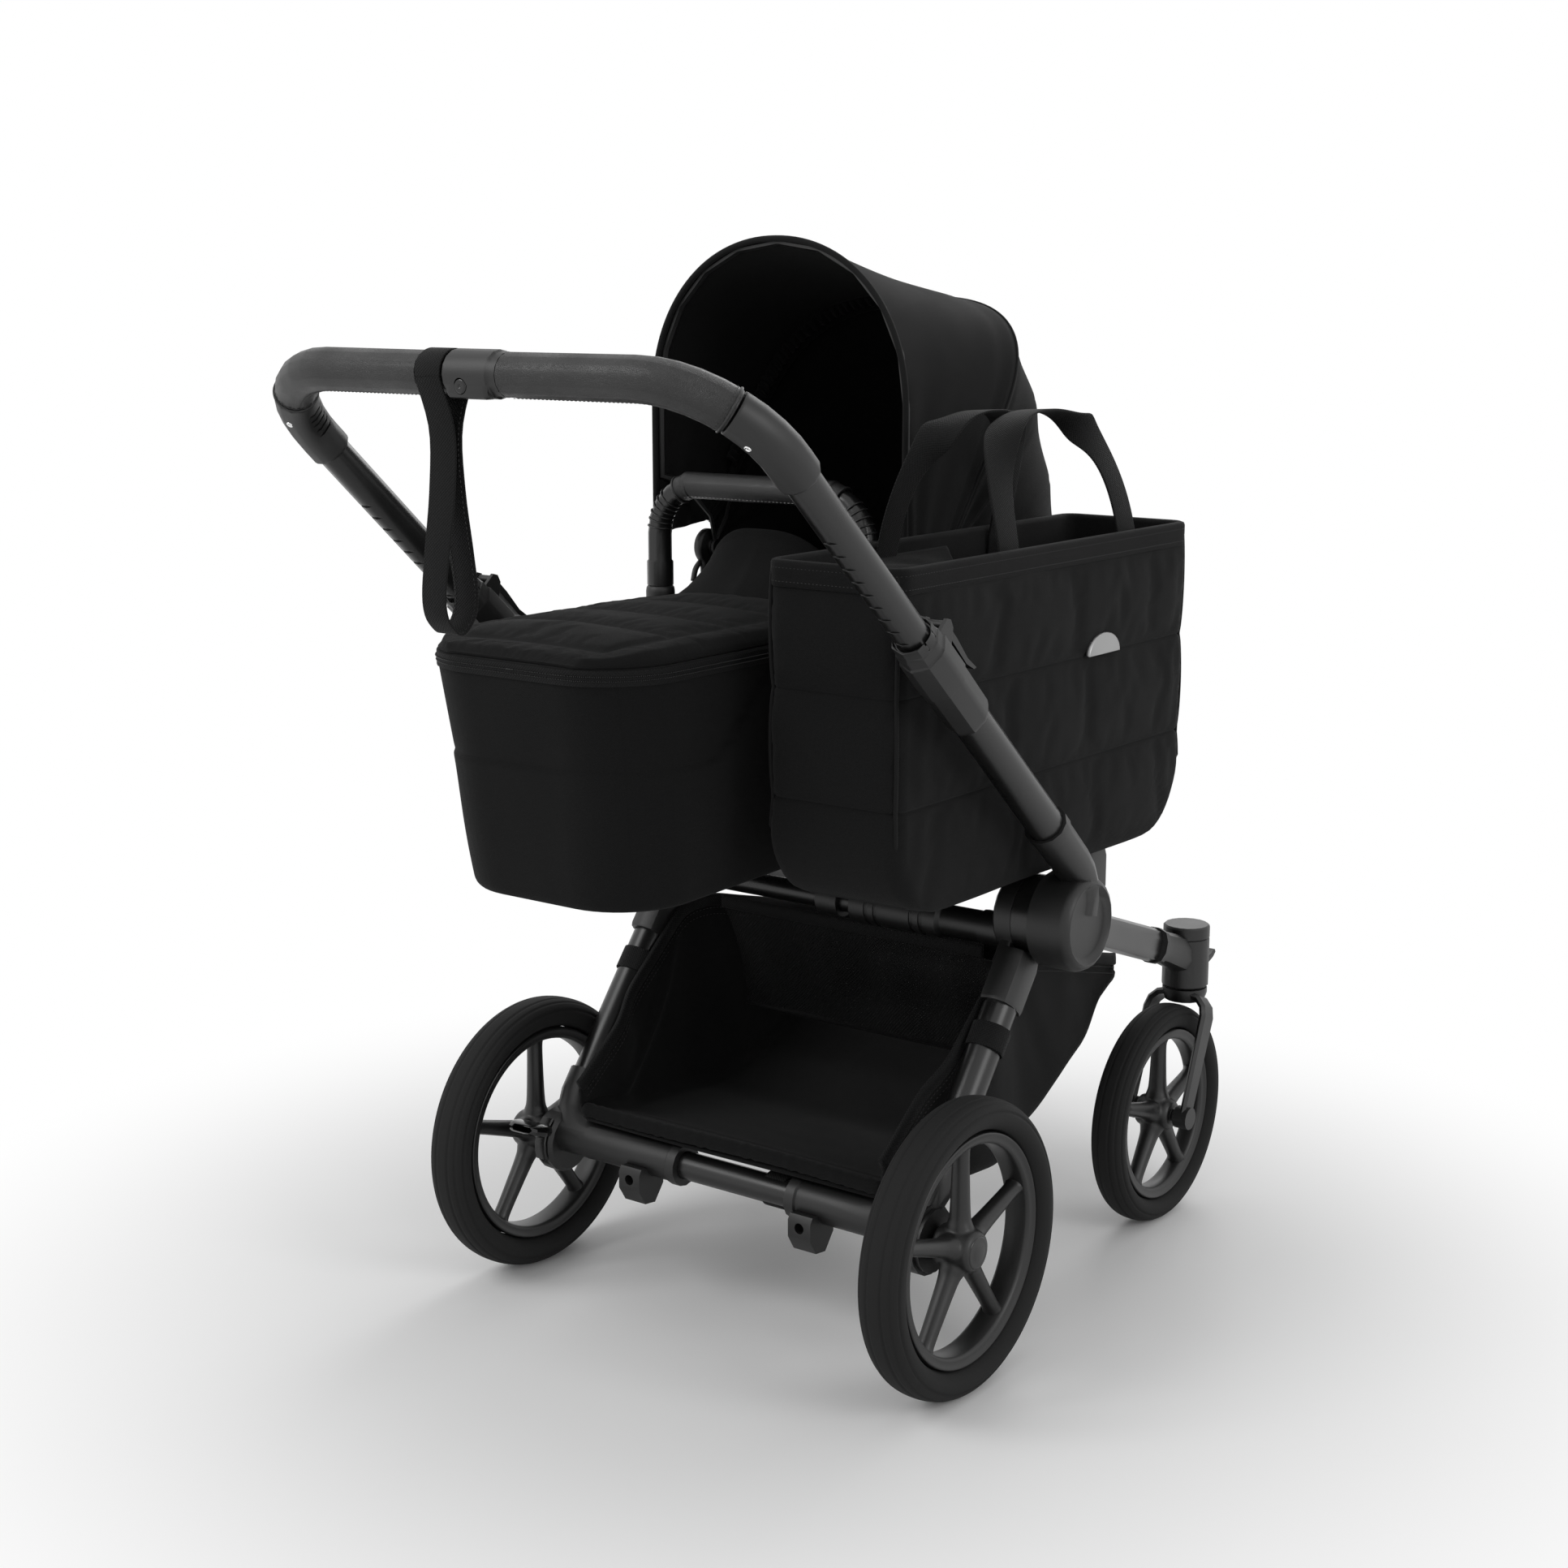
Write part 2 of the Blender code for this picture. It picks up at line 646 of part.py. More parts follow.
def cot_bottom(y):
    """The height of the carrycot's underside, which climbs towards the head."""
    return COT_BOTTOM_Z + COT_RISE * (y - COT_FOOT) / (COT_HEAD - COT_FOOT)


def adapter(top):
    """The post that the carrycot or the bag clicks on, on an arm from the fold housing."""
    thick = 0.009
    inner = HOUSING_X0 - GAP
    arm_outline = [
        (inner, HUB_FORWARD + 0.030, HUB_HEIGHT - 0.014),
        (inner, HUB_FORWARD + 0.110, HUB_HEIGHT - 0.023),
        (inner, HUB_FORWARD + 0.163, HUB_HEIGHT - 0.016),
        (inner, HUB_FORWARD + 0.163, HUB_HEIGHT + 0.012),
        (inner, HUB_FORWARD + 0.110, HUB_HEIGHT + 0.012),
        (inner, HUB_FORWARD + 0.030, HUB_HEIGHT + 0.016),
    ]
    arm = extruded("adapter", arm_outline, (-thick, 0, 0))
    post_low = HUB_HEIGHT - 0.008
    heights = (post_low, post_low + 0.006, top - 0.012, top)
    path = [Vector((LEG_X - 0.0195, HUB_FORWARD + 0.143, z)) for z in heights]
    post = sweep("post", path, rounded_rectangle(0.031, 0.040, 0.006), (1, 0, 0), scales=[0.9, 1, 1, 0.88])
    return fuse(arm, post)


def middle_adapter():
    """The bracket on the cross tube that carries the carrycot's inner side."""
    x = COT_X + COT_HALF_W - 0.061
    ring = cylinder(CROSS_TUBE_R + 0.0065, (x - 0.014, CROSS_Y, CROSS_Z), (x + 0.014, CROSS_Y, CROSS_Z), 16)
    top = cot_bottom(CROSS_Y - 0.016) - 0.0006
    path = [Vector((x, CROSS_Y, z)) for z in (CROSS_Z + 0.004, CROSS_Z + 0.040, top - 0.008, top)]
    post_section = rounded_rectangle(0.024, 0.030, 0.005)
    post = sweep("post", path, post_section, (1, 0, 0), scales=[0.8, 0.85, 1.05, 0.95])
    bore = cylinder(CROSS_TUBE_R + GAP, (x - 0.020, CROSS_Y, CROSS_Z), (x + 0.020, CROSS_Y, CROSS_Z), 16)
    return cut(fuse(ring, post), bore)


# Front legs, casters and wheels

def front_leg():
    """The middle disc of the fold with the leg tube that runs down to the caster."""
    middle = Vector((0, HUB_FORWARD, HUB_HEIGHT))
    radius = INNER_DISC_R
    profile = [
        (0, FRONT_DISC_X0),
        (radius, FRONT_DISC_X0),
        (radius, FRONT_DISC_X1 - 0.003),
        (radius - 0.003, FRONT_DISC_X1),
        (0, FRONT_DISC_X1),
    ]
    disc = turned("front_leg", profile, middle, (1, 0, 0), 20)
    path = rounded_path([front_leg_point(0.025), front_leg_point(0.075), front_leg_end()], [0.20], 3)
    section = rounded_rectangle(FRONT_DISC_W - 0.0006, FRONT_LEG_H, 0.010)
    leg = sweep("leg", path, section, (1, 0, 0), scales=[1, 1, 1, 1, 1.03, 1.08])
    fuse(disc, leg)
    past = Vector((0.005, 0, 0))
    near, far = Vector((FRONT_DISC_X0, *middle.yz)), Vector((FRONT_DISC_X1, *middle.yz))
    return cut(disc, cylinder(HUB_PIN_R + GAP, near - past, far + past, 16))


def front_leg_point(along):
    """A point of the front leg's first stretch, in the plane of its disc."""
    disc_x = (FRONT_DISC_X0 + FRONT_DISC_X1) / 2
    return Vector((disc_x, HUB_FORWARD, HUB_HEIGHT)) + along * FRONT_LEG_DIRECTION


def front_leg_end():
    """Where the leg tube meets the casting of the caster's head."""
    along = HEAD_Y - HUB_FORWARD - 0.088
    fall = along * math.tan(math.radians(FRONT_LEG_DROP))
    return Vector((HALF_FRONT_TRACK + 0.002, HUB_FORWARD + along, HUB_HEIGHT - fall))


def front_head():
    """The casting at the foot of the front leg: a collar, an elbow and the caster's bearing housing."""
    head = Vector((HALF_FRONT_TRACK, HEAD_Y, 0))
    profile = [
        (0, HEAD_BOTTOM),
        (HEAD_R - 0.002, HEAD_BOTTOM),
        (HEAD_R, HEAD_BOTTOM + 0.002),
        (HEAD_R, HEAD_TOP - 0.016),
        (HEAD_R - 0.0012, HEAD_TOP - 0.0150),
        (HEAD_R, HEAD_TOP - 0.014),
        (HEAD_R, HEAD_TOP - 0.002),
        (HEAD_R - 0.002, HEAD_TOP),
        (0, HEAD_TOP),
    ]
    housing = turned("front_head", profile, head, (0, 0, 1), 18)
    end = front_leg_end()
    along_leg = (end - front_leg_point(0.075)).normalized()
    start = end + along_leg * GAP
    collar = [start + along_leg * step for step in (0, 0.010, 0.012, 0.030)]
    into_head = Vector((HALF_FRONT_TRACK, HEAD_Y, HEAD_BOTTOM + 0.034)) - collar[-1]
    path = collar + [collar[-1] + into_head * share for share in (0.4, 0.95)]
    widths = [1, 1, 0.90, 0.90, 0.98, 1.05]
    neck = sweep("neck", path, rounded_rectangle(0.037, 0.041, 0.014), (1, 0, 0), scales=widths)
    fuse(housing, neck)
    stem_end = FORK_TOP + STEM_LENGTH + 0.001
    hole_start, hole_end = Vector((0, 0, HEAD_BOTTOM - PIERCE)), Vector((0, 0, stem_end))
    stem_hole = cylinder(STEM_R + GAP, head + hole_start, head + hole_end, 16)
    return cut(housing, stem_hole)


def tab_pivot():
    return HEAD_Y + HEAD_R + 0.0045, HEAD_BOTTOM + 0.022


def swivel_tab():
    """The tab at the front of the head that locks the caster straight."""
    y, z = tab_pivot()
    x = HALF_FRONT_TRACK - 0.010
    outline = [
        (x, y - 0.0040, z - 0.0012),
        (x, y - 0.0022, z - 0.0036),
        (x, y + 0.0040, z - 0.0050),
        (x, y + 0.0200, z + 0.0010),
        (x, y + 0.0260, z + 0.0060),
        (x, y + 0.0240, z + 0.0100),
        (x, y + 0.0140, z + 0.0060),
        (x, y, z + 0.0042),
        (x, y - 0.0032, z + 0.0026),
    ]
    return extruded("swivel_tab", outline, (0.020, 0, 0))


def fork():
    """The caster fork: a stem, a crown and two flat arms down to the wheel pin."""
    x, y = HALF_FRONT_TRACK, HEAD_Y
    crown_profile = [
        (0, FORK_TOP - 0.015),
        (HEAD_R - 0.004, FORK_TOP - 0.015),
        (HEAD_R - 0.001, FORK_TOP - 0.006),
        (HEAD_R - 0.001, FORK_TOP),
        (STEM_R, FORK_TOP),
        (STEM_R, FORK_TOP + STEM_LENGTH),
        (0, FORK_TOP + STEM_LENGTH),
    ]
    crown = turned("fork", crown_profile, (x, y, 0), (0, 0, 1), 16)
    axle = Vector((x, WHEELBASE, FRONT_WHEEL_R))
    bridge_z = FORK_TOP - 0.0085
    lean = Vector((0, y - WHEELBASE - 0.006, bridge_z - FRONT_WHEEL_R))
    out = Vector((FORK_ARM_X, 0, 0))
    corners = [axle - out, axle - out + lean, axle + out + lean, axle + out]
    path = rounded_path(corners, [0.022, 0.022], 3)
    scales = [0.85] + [1.0] * (len(path) - 2) + [0.85]
    arms = sweep("arms", path, rounded_rectangle(FORK_ARM_W, FORK_ARM_T, 0.0035, 2), lean.cross(out), scales)
    fuse(crown, arms)
    inner, outer = FORK_ARM_X - FORK_ARM_T / 2, FORK_ARM_X + FORK_ARM_T / 2 + 0.003
    for sign in (-1, 1):
        boss_start = axle + Vector((sign * (inner - 0.006), 0, 0))
        fuse(crown, cylinder(AXLE_BOSS_R, boss_start, axle + Vector((sign * outer, 0, 0)), 14))
    return fuse(crown, cylinder(WHEEL_PIN_R, axle - Vector((inner, 0, 0)), axle + Vector((inner, 0, 0)), 12))


def tyre(radius, seat, half_width):
    """A tyre turned about the wheel's axle, with a rounded tread and flat seats on the rim."""
    wall = radius - seat
    profile = [
        (seat, -half_width * 0.62),
        (seat + wall * 0.45, -half_width),
        (seat + wall * 0.85, -half_width * 0.80),
        (radius, -half_width * 0.30),
        (radius, half_width * 0.30),
        (seat + wall * 0.85, half_width * 0.80),
        (seat + wall * 0.45, half_width),
        (seat, half_width * 0.62),
    ]
    return turned("tyre", profile, (0, 0, 0), (1, 0, 0), WHEEL_STEPS, ring=True)


def rim(seat, depth, half_width, hub_r, hub_half, bore_end):
    """A five-spoked rim: a flat outer ring, tapered round spokes and a hub bored up to bore_end."""
    outer = seat - GAP
    inner = outer - depth
    ring_profile = [
        (outer, -half_width),
        (outer, half_width),
        (inner, half_width - 0.002),
        (inner, -half_width + 0.002),
    ]
    ring = turned("rim", ring_profile, (0, 0, 0), (1, 0, 0), WHEEL_STEPS, ring=True)
    hub_profile = [
        (0, -hub_half),
        (hub_r, -hub_half),
        (hub_r, hub_half - 0.003),
        (hub_r - 0.003, hub_half),
        (0, hub_half),
    ]
    hub = turned("hub", hub_profile, (0, 0, 0), (1, 0, 0), 15)
    for i in range(SPOKES):
        angle = 2 * math.pi * (i + 0.25) / SPOKES
        outward = Vector((0, math.cos(angle), math.sin(angle)))
        path = [outward * r for r in (hub_r - 0.006, hub_r + 0.012, inner + 0.004)]
        hub = fuse(hub, sweep("spoke", path, circle(1, 6), (1, 0, 0), scales=[0.0135, 0.0112, 0.0088]))
    fuse(ring, hub)
    return cut(ring, cylinder(WHEEL_PIN_R + RUNNING, (-hub_half - PIERCE, 0, 0), (bore_end, 0, 0), 12))


def moved(obj, offset):
    obj.data.transform(Matrix.Translation(offset))
    return obj


def make_wheels():
    rear = Vector((HALF_TRACK, 0, REAR_WHEEL_R))
    front = Vector((HALF_FRONT_TRACK, WHEELBASE, FRONT_WHEEL_R))
    rear_half = min(HALF_TRACK - DRUM_X1 - RUNNING, REAR_TYRE_HALF_W)
    front_half = 0.0235
    rear_rim = rim(REAR_TYRE_SEAT_R, RIM_DEPTH, 0.0165, REAR_HUB_R, rear_half, rear_half - 0.006)
    front_rim = rim(FRONT_TYRE_SEAT_R, RIM_DEPTH, 0.0135, FRONT_HUB_R, front_half, front_half + PIERCE)
    rear_tyre = tyre(REAR_WHEEL_R, REAR_TYRE_SEAT_R, REAR_TYRE_HALF_W)
    front_tyre = tyre(FRONT_WHEEL_R, FRONT_TYRE_SEAT_R, FRONT_TYRE_HALF_W)
    place_pair(moved(rear_rim, rear), "rear_rim", "rear_wheel_right", "black_plastic")
    place_pair(moved(rear_tyre, rear), "rear_tyre", "rear_wheel_right", "tyre_rubber")
    place_pair(moved(front_rim, front), "front_rim", "front_wheel_right", "black_plastic")
    place_pair(moved(front_tyre, front), "front_tyre", "front_wheel_right", "tyre_rubber")


def brake_pedal():
    """The leaf-shaped pedal on a band round the left drum."""
    axle = Vector((0, 0, REAR_WHEEL_R))
    band_x = (DRUM_X0 + DRUM_X1) / 2 - 0.001
    band_r = DRUM_R + RUNNING + 0.002
    arc = []
    for degrees in range(130, 201, 14):
        angle = math.radians(degrees)
        arc.append(axle + Vector((-band_x, band_r * math.cos(angle), band_r * math.sin(angle))))
    band = sweep("brake_pedal", arc, rounded_rectangle(DRUM_W - 0.010, 0.0036, 0.0012, 2), (1, 0, 0))
    root = axle + Vector((-band_x + 0.001, -band_r * 0.84, band_r * 0.54))
    tip = axle + Vector((-band_x + 0.006, -0.074, 0.033))
    path = [root.lerp(tip, t) for t in (0, 0.35, 0.7, 0.93, 1.0)]
    widths = [0.42, 0.95, 1.05, 0.85, 0.55]
    leaf = sweep("leaf", path, rounded_rectangle(0.044, 0.013, 0.006), (1, 0, 0), scales=widths)
    pedal = fuse(band, leaf)
    pocket_path = [tip.lerp(root, t) for t in (-0.10, 0.10, 0.55)]
    pocket_section = rounded_rectangle(0.026, 0.006, 0.0025, 2)
    pocket = sweep("pocket", pocket_path, pocket_section, (1, 0, 0), scales=[1, 1, 0.7])
    return cut(pedal, pocket)


# Handle

def handle_point(along, front=0.0, x=HANDLE_X):
    """A point by its distance along the handle's line from beside the fold, and in front of that line."""
    point = HANDLE_FOOT + along * HANDLE_DIRECTION + front * HANDLE_FRONT
    return Vector((x, point.y, point.z))


def handle_arm():
    """The outer disc of the fold, with the arm that curves up from it into the boot of the handle."""
    middle = Vector((0, HUB_FORWARD, HUB_HEIGHT))
    dish = 0.006
    profile = [
        (0, HANDLE_DISC_X0),
        (DISC_R, HANDLE_DISC_X0),
        (DISC_R, HANDLE_DISC_X1 - 0.010),
        (DISC_R - 0.004, HANDLE_DISC_X1 - 0.002),
        (DISC_R - 0.008, HANDLE_DISC_X1),
        (DISC_R - 0.015, HANDLE_DISC_X1 - dish),
        (0, HANDLE_DISC_X1 - dish),
    ]
    disc = turned("handle_arm", profile, middle, (1, 0, 0), 24)
    start = Vector((HANDLE_X - 0.002, HUB_FORWARD + 0.010, HUB_HEIGHT + 0.008))
    knee = handle_point(0.008)
    boot = handle_point(BOOT_END)
    curve = [start.lerp(knee, t).lerp(knee.lerp(handle_point(0.055), t), t) for t in (0, 0.25, 0.5, 0.75, 1)]
    path = curve + [handle_point(BOOT_END - 0.018), handle_point(BOOT_END - 0.014), boot]
    widths = [0.95, 0.92, 0.90, 0.92, 0.94, 0.96, 1.02, 1.02]
    arm = tube("arm", path, BOOT_R, 12, scales=widths)
    fuse(disc, arm)
    pin_start, pin_end = (HANDLE_DISC_X0 - PIERCE, *middle.yz), (HANDLE_DISC_X1 - 0.0115, *middle.yz)
    pin_hole = cylinder(HUB_PIN_R + GAP, pin_start, pin_end, 16)
    hole_start, hole_end = handle_point(BOOT_END - 0.035), handle_point(BOOT_END + PIERCE)
    tube_hole = cylinder(LOWER_TUBE_R + GAP, hole_start, hole_end, 16)
    return cut(disc, pin_hole, tube_hole)


def handle_tube():
    """The lower, outer tube of the handle, hollow from its top for the tube that slides in it."""
    start, end = BOOT_END - 0.035 + GAP, COLLAR_START + COLLAR_LENGTH - 0.004
    outer = cylinder(LOWER_TUBE_R, handle_point(start), handle_point(end), 16)
    bore_start = COLLAR_START - 0.060 - BAR_RETRACT - 0.004
    return cut(outer, cylinder(INNER_TUBE_R + GAP, handle_point(bore_start), handle_point(end + PIERCE), 16))


def clamp_collar():
    """The sleeve that clamps the sliding tube, with stepped rings round its mouth."""
    steps = [
        (0, 0.90),
        (0.006, 0.97),
        (0.060, 1.0),
        (0.062, 1.045),
        (0.108, 1.045),
        (0.110, 0.97),
        (0.120, 0.97),
        (0.122, 0.90),
        (COLLAR_LENGTH, 0.90),
    ]
    path = [handle_point(COLLAR_START + along) for along, _ in steps]
    section = rounded_rectangle(COLLAR_W / 1.045, COLLAR_D / 1.045, 0.0205)
    collar = sweep("clamp_collar", path, section, (1, 0, 0), scales=[scale for _, scale in steps])
    ear_front = COLLAR_D / 2 + 0.012
    ears = []
    for x in (HANDLE_X - 0.0135, HANDLE_X + 0.0095):
        outline = [
            handle_point(COLLAR_START + 0.088, 0.018, x),
            handle_point(COLLAR_START + 0.114, 0.018, x),
            handle_point(COLLAR_START + 0.112, ear_front - 0.003, x),
            handle_point(COLLAR_START + 0.106, ear_front, x),
            handle_point(COLLAR_START + 0.098, ear_front - 0.003, x),
        ]
        ears.append(extruded("ear", outline, (0.004, 0, 0)))
    fuse(collar, *ears)
    bore_end = handle_point(COLLAR_START + COLLAR_LENGTH + PIERCE)
    bore = cylinder(LOWER_TUBE_R + GAP, handle_point(COLLAR_START - PIERCE), bore_end, 16)
    return cut(collar, bore)


def lever_pivot():
    return handle_point(COLLAR_START + 0.105, COLLAR_D / 2 + 0.0062)


def clamp_lever():
    """The thumb lever that lies along the front of the collar and turns on its ears."""
    pivot = lever_pivot()
    half_w = 0.0088
    barrel = cylinder(0.0042, pivot - Vector((half_w, 0, 0)), pivot + Vector((half_w, 0, 0)), 12)
    front = COLLAR_D / 2
    outline = [
        handle_point(COLLAR_START + 0.103, front + 0.0035, pivot.x - half_w),
        handle_point(COLLAR_START + 0.050, front + 0.0015, pivot.x - half_w),
        handle_point(COLLAR_START + 0.036, front + 0.0055, pivot.x - half_w),
        handle_point(COLLAR_START + 0.034, front + 0.0090, pivot.x - half_w),
        handle_point(COLLAR_START + 0.052, front + 0.0065, pivot.x - half_w),
        handle_point(COLLAR_START + 0.080, front + 0.0095, pivot.x - half_w),
        handle_point(COLLAR_START + 0.103, front + 0.0098, pivot.x - half_w),
    ]
    return fuse(barrel, extruded("blade", outline, (2 * half_w, 0, 0)))


def inner_tube():
    """The sliding tube of the handle, with the row of height notches filed in its front."""
    start, end = COLLAR_START - 0.060, HANDLE_LENGTH - HANDLE_BEND_R
    bar = cylinder(INNER_TUBE_R, handle_point(start), handle_point(end), 16)
    for i in range(NOTCHES):
        along = COLLAR_START + COLLAR_LENGTH + 0.008 + i * NOTCH_PITCH
        low = handle_point(along - 0.0018, -INNER_TUBE_R - 0.004, HANDLE_X - 0.0085)
        outline = [
            low,
            low + 0.0036 * HANDLE_DIRECTION,
            low + 0.0036 * HANDLE_DIRECTION + 0.0060 * HANDLE_FRONT,
            low + 0.0060 * HANDLE_FRONT,
        ]
        cut(bar, extruded("notch", outline, (0.017, 0, 0)))
    return bar


def bar_arc(degrees):
    """A point on the bend between the handle's side and its crossbar."""
    corner = Vector((HANDLE_X, BAR_Y, BAR_Z))
    inward = Vector((-1, 0, 0))
    centre = corner - HANDLE_BEND_R * HANDLE_DIRECTION + HANDLE_BEND_R * inward
    angle = math.radians(degrees)
    across = HANDLE_BEND_R * math.cos(angle) * inward
    return centre - across + HANDLE_BEND_R * math.sin(angle) * HANDLE_DIRECTION


def elbow():
    """The moulded elbow between the sliding tube and the grip, with its slots on the inside of the bend."""
    start = HANDLE_LENGTH - HANDLE_BEND_R - 0.020
    path = [handle_point(start), handle_point(start + 0.003), handle_point(start + 0.018)]
    path += [bar_arc(angle) for angle in (8, 18, 28, ELBOW_SEAM - 1, ELBOW_SEAM)]
    widths = [0.96, 1, 1, 1, 1, 1, 0.99, 0.97]
    body = tube("elbow", path, ELBOW_R, 12, scales=widths)
    slots = []
    for angle in (8, 13, 18, 23, 28):
        place_at = bar_arc(angle)
        inward = (bar_arc(90) - HANDLE_BEND_R * HANDLE_DIRECTION - place_at).normalized()
        along = (bar_arc(angle + 1) - bar_arc(angle - 1)).normalized()
        side = along.cross(inward)
        low = place_at + inward * (ELBOW_R - 0.0035) - along * 0.0011 - side * 0.011
        outline = [low, low + along * 0.0022, low + along * 0.0022 + inward * 0.008, low + inward * 0.008]
        slots.append(extruded("slot", outline, side * 0.022))
    bore_end = handle_point(HANDLE_LENGTH - HANDLE_BEND_R + GAP)
    bore = cylinder(INNER_TUBE_R + GAP, handle_point(start - PIERCE), bore_end, 16)
    return cut(body, bore, *slots)


def grip(inner_end):
    """A leather-covered grip, from the elbow's seam round the bend to the middle of the crossbar."""
    seam = ELBOW_SEAM + math.degrees(3 * GAP / HANDLE_BEND_R)
    path = [bar_arc(seam), bar_arc(seam + 1)]
    path += [bar_arc(seam + step * (90 - seam) / 5) for step in range(1, 6)]
    path += [Vector((inner_end, BAR_Y, BAR_Z))]
    widths = [0.95, 1.0] + [1.0] * (len(path) - 3) + [0.98]
    return tube("grip", path, GRIP_R, 14, scales=widths)


def bar_bore(start, end):
    return cylinder(BAR_TUBE_R + GAP, (start, BAR_Y, BAR_Z), (end, BAR_Y, BAR_Z), 16)


def bar_clamp():
    """The housing in the middle of the crossbar, with the tube that slides into the right-hand grip."""
    left, right = CLAMP_LEFT + GAP, CLAMP_RIGHT - GAP
    bar_end = HANDLE_X - HANDLE_BEND_R + 0.016
    profile = [
        (0, CLAMP_LEFT - 0.030),
        (BAR_TUBE_R, CLAMP_LEFT - 0.030),
        (BAR_TUBE_R, left),
        (GRIP_R * 0.93, left),
        (GRIP_R * 0.93, left + 0.033),
        (CLAMP_RING_R, left + 0.035),
        (CLAMP_RING_R, right - 0.010),
        (GRIP_R - 0.0005, right - 0.008),
        (GRIP_R - 0.0005, right),
        (BAR_TUBE_R, right),
        (BAR_TUBE_R, bar_end),
        (0, bar_end),
    ]
    housing = turned("bar_clamp", profile, (0, BAR_Y, BAR_Z), (1, 0, 0), 16)
    path = [Vector((x, BAR_Y - 0.010, BAR_Z - 0.012)) for x in (-0.018, -0.014, 0.026, 0.030)]
    boss = sweep("boss", path, rounded_rectangle(0.018, 0.018, 0.005), (0, 1, 0), scales=[0.8, 1, 1, 0.8])
    fuse(housing, boss)
    button_z = BAR_Z - 0.010
    hole_end = (0, BAR_Y - 0.0127 + BUTTON_TRAVEL, button_z)
    return cut(housing, cylinder(BUTTON_R + GAP, (0, BAR_Y - 0.030, button_z), hole_end, 16))


def bar_button():
    """The sprung button that frees the crossbar so that the pram can be widened."""
    profile = [
        (0, 0),
        (BUTTON_R, 0),
        (BUTTON_R, 0.0058),
        (BUTTON_R - 0.0012, 0.0070),
        (0.0018, 0.0070),
        (0.0014, 0.0060),
        (0, 0.0060),
    ]
    return turned("bar_button", profile, (0, BAR_Y - 0.0133, BAR_Z - 0.010), (0, -1, 0), 16)


def wrist_strap():
    """The webbing loop that hangs from the crossbar, round it at the top and open like a drop below."""
    x = CLAMP_LEFT + 0.0025 + STRAP_W / 2
    step = 22
    wrap = (GRIP_R * 0.93 + STRAP_T / 2 + GAP) / math.cos(math.radians(step / 2))
    path = []
    for turn in range(5, -6, -1):
        angle = math.radians(90 + step * turn)
        path.append((x, BAR_Y + wrap * math.cos(angle), BAR_Z + wrap * math.sin(angle)))
    spread = ((0.22, 0.0035), (0.45, 0.007), (0.68, 0.015), (0.86, 0.019), (0.96, 0.012))
    for share, half in spread:
        path.append((x, BAR_Y + half, BAR_Z - STRAP_DROP * share))
    path.append((x, BAR_Y, BAR_Z - STRAP_DROP))
    for share, half in reversed(spread):
        path.append((x, BAR_Y - half, BAR_Z - STRAP_DROP * share))
    return ribbon("wrist_strap", path, [(1, 0, 0)] * len(path), STRAP_W, STRAP_T, closed=True)


# Carrycot

def cot_outline(z, inset=0.0, per_corner=4):
    """The carrycot's plan at a height: square-shouldered at the foot, rounder at the head."""
    drop = max(0.0, (COT_RIM_Z - z) / (COT_RIM_Z - COT_BOTTOM_Z))
    half = COT_HALF_W - 0.012 * drop - inset
    foot = COT_FOOT + 0.035 * drop + inset
    head = COT_HEAD - 0.045 * drop - inset
    corners = (
        (1, head, max(COT_HEAD_CORNER - inset, 0.02), 0),
        (-1, head, max(COT_HEAD_CORNER - inset, 0.02), 90),
        (-1, foot, max(COT_FOOT_CORNER - inset, 0.02), 180),
        (1, foot, max(COT_FOOT_CORNER - inset, 0.02), 270),
    )
    points = []
    for side, end, radius, first in corners:
        inward = -1 if end == head else 1
        for i in range(per_corner):
            angle = math.radians(first + 90 * i / (per_corner - 1))
            x = COT_X + side * (half - radius) + radius * math.cos(angle)
            y = end + inward * radius + radius * math.sin(angle)
            points.append((x, y))
    return points


def sloped(ring, z):
    """Puts a ring of the underside at its sloping height."""
    return [Vector((x, y, z + cot_bottom(y) - COT_BOTTOM_Z)) for x, y in ring]


def level(ring, z):
    return [Vector((x, y, z)) for x, y in ring]


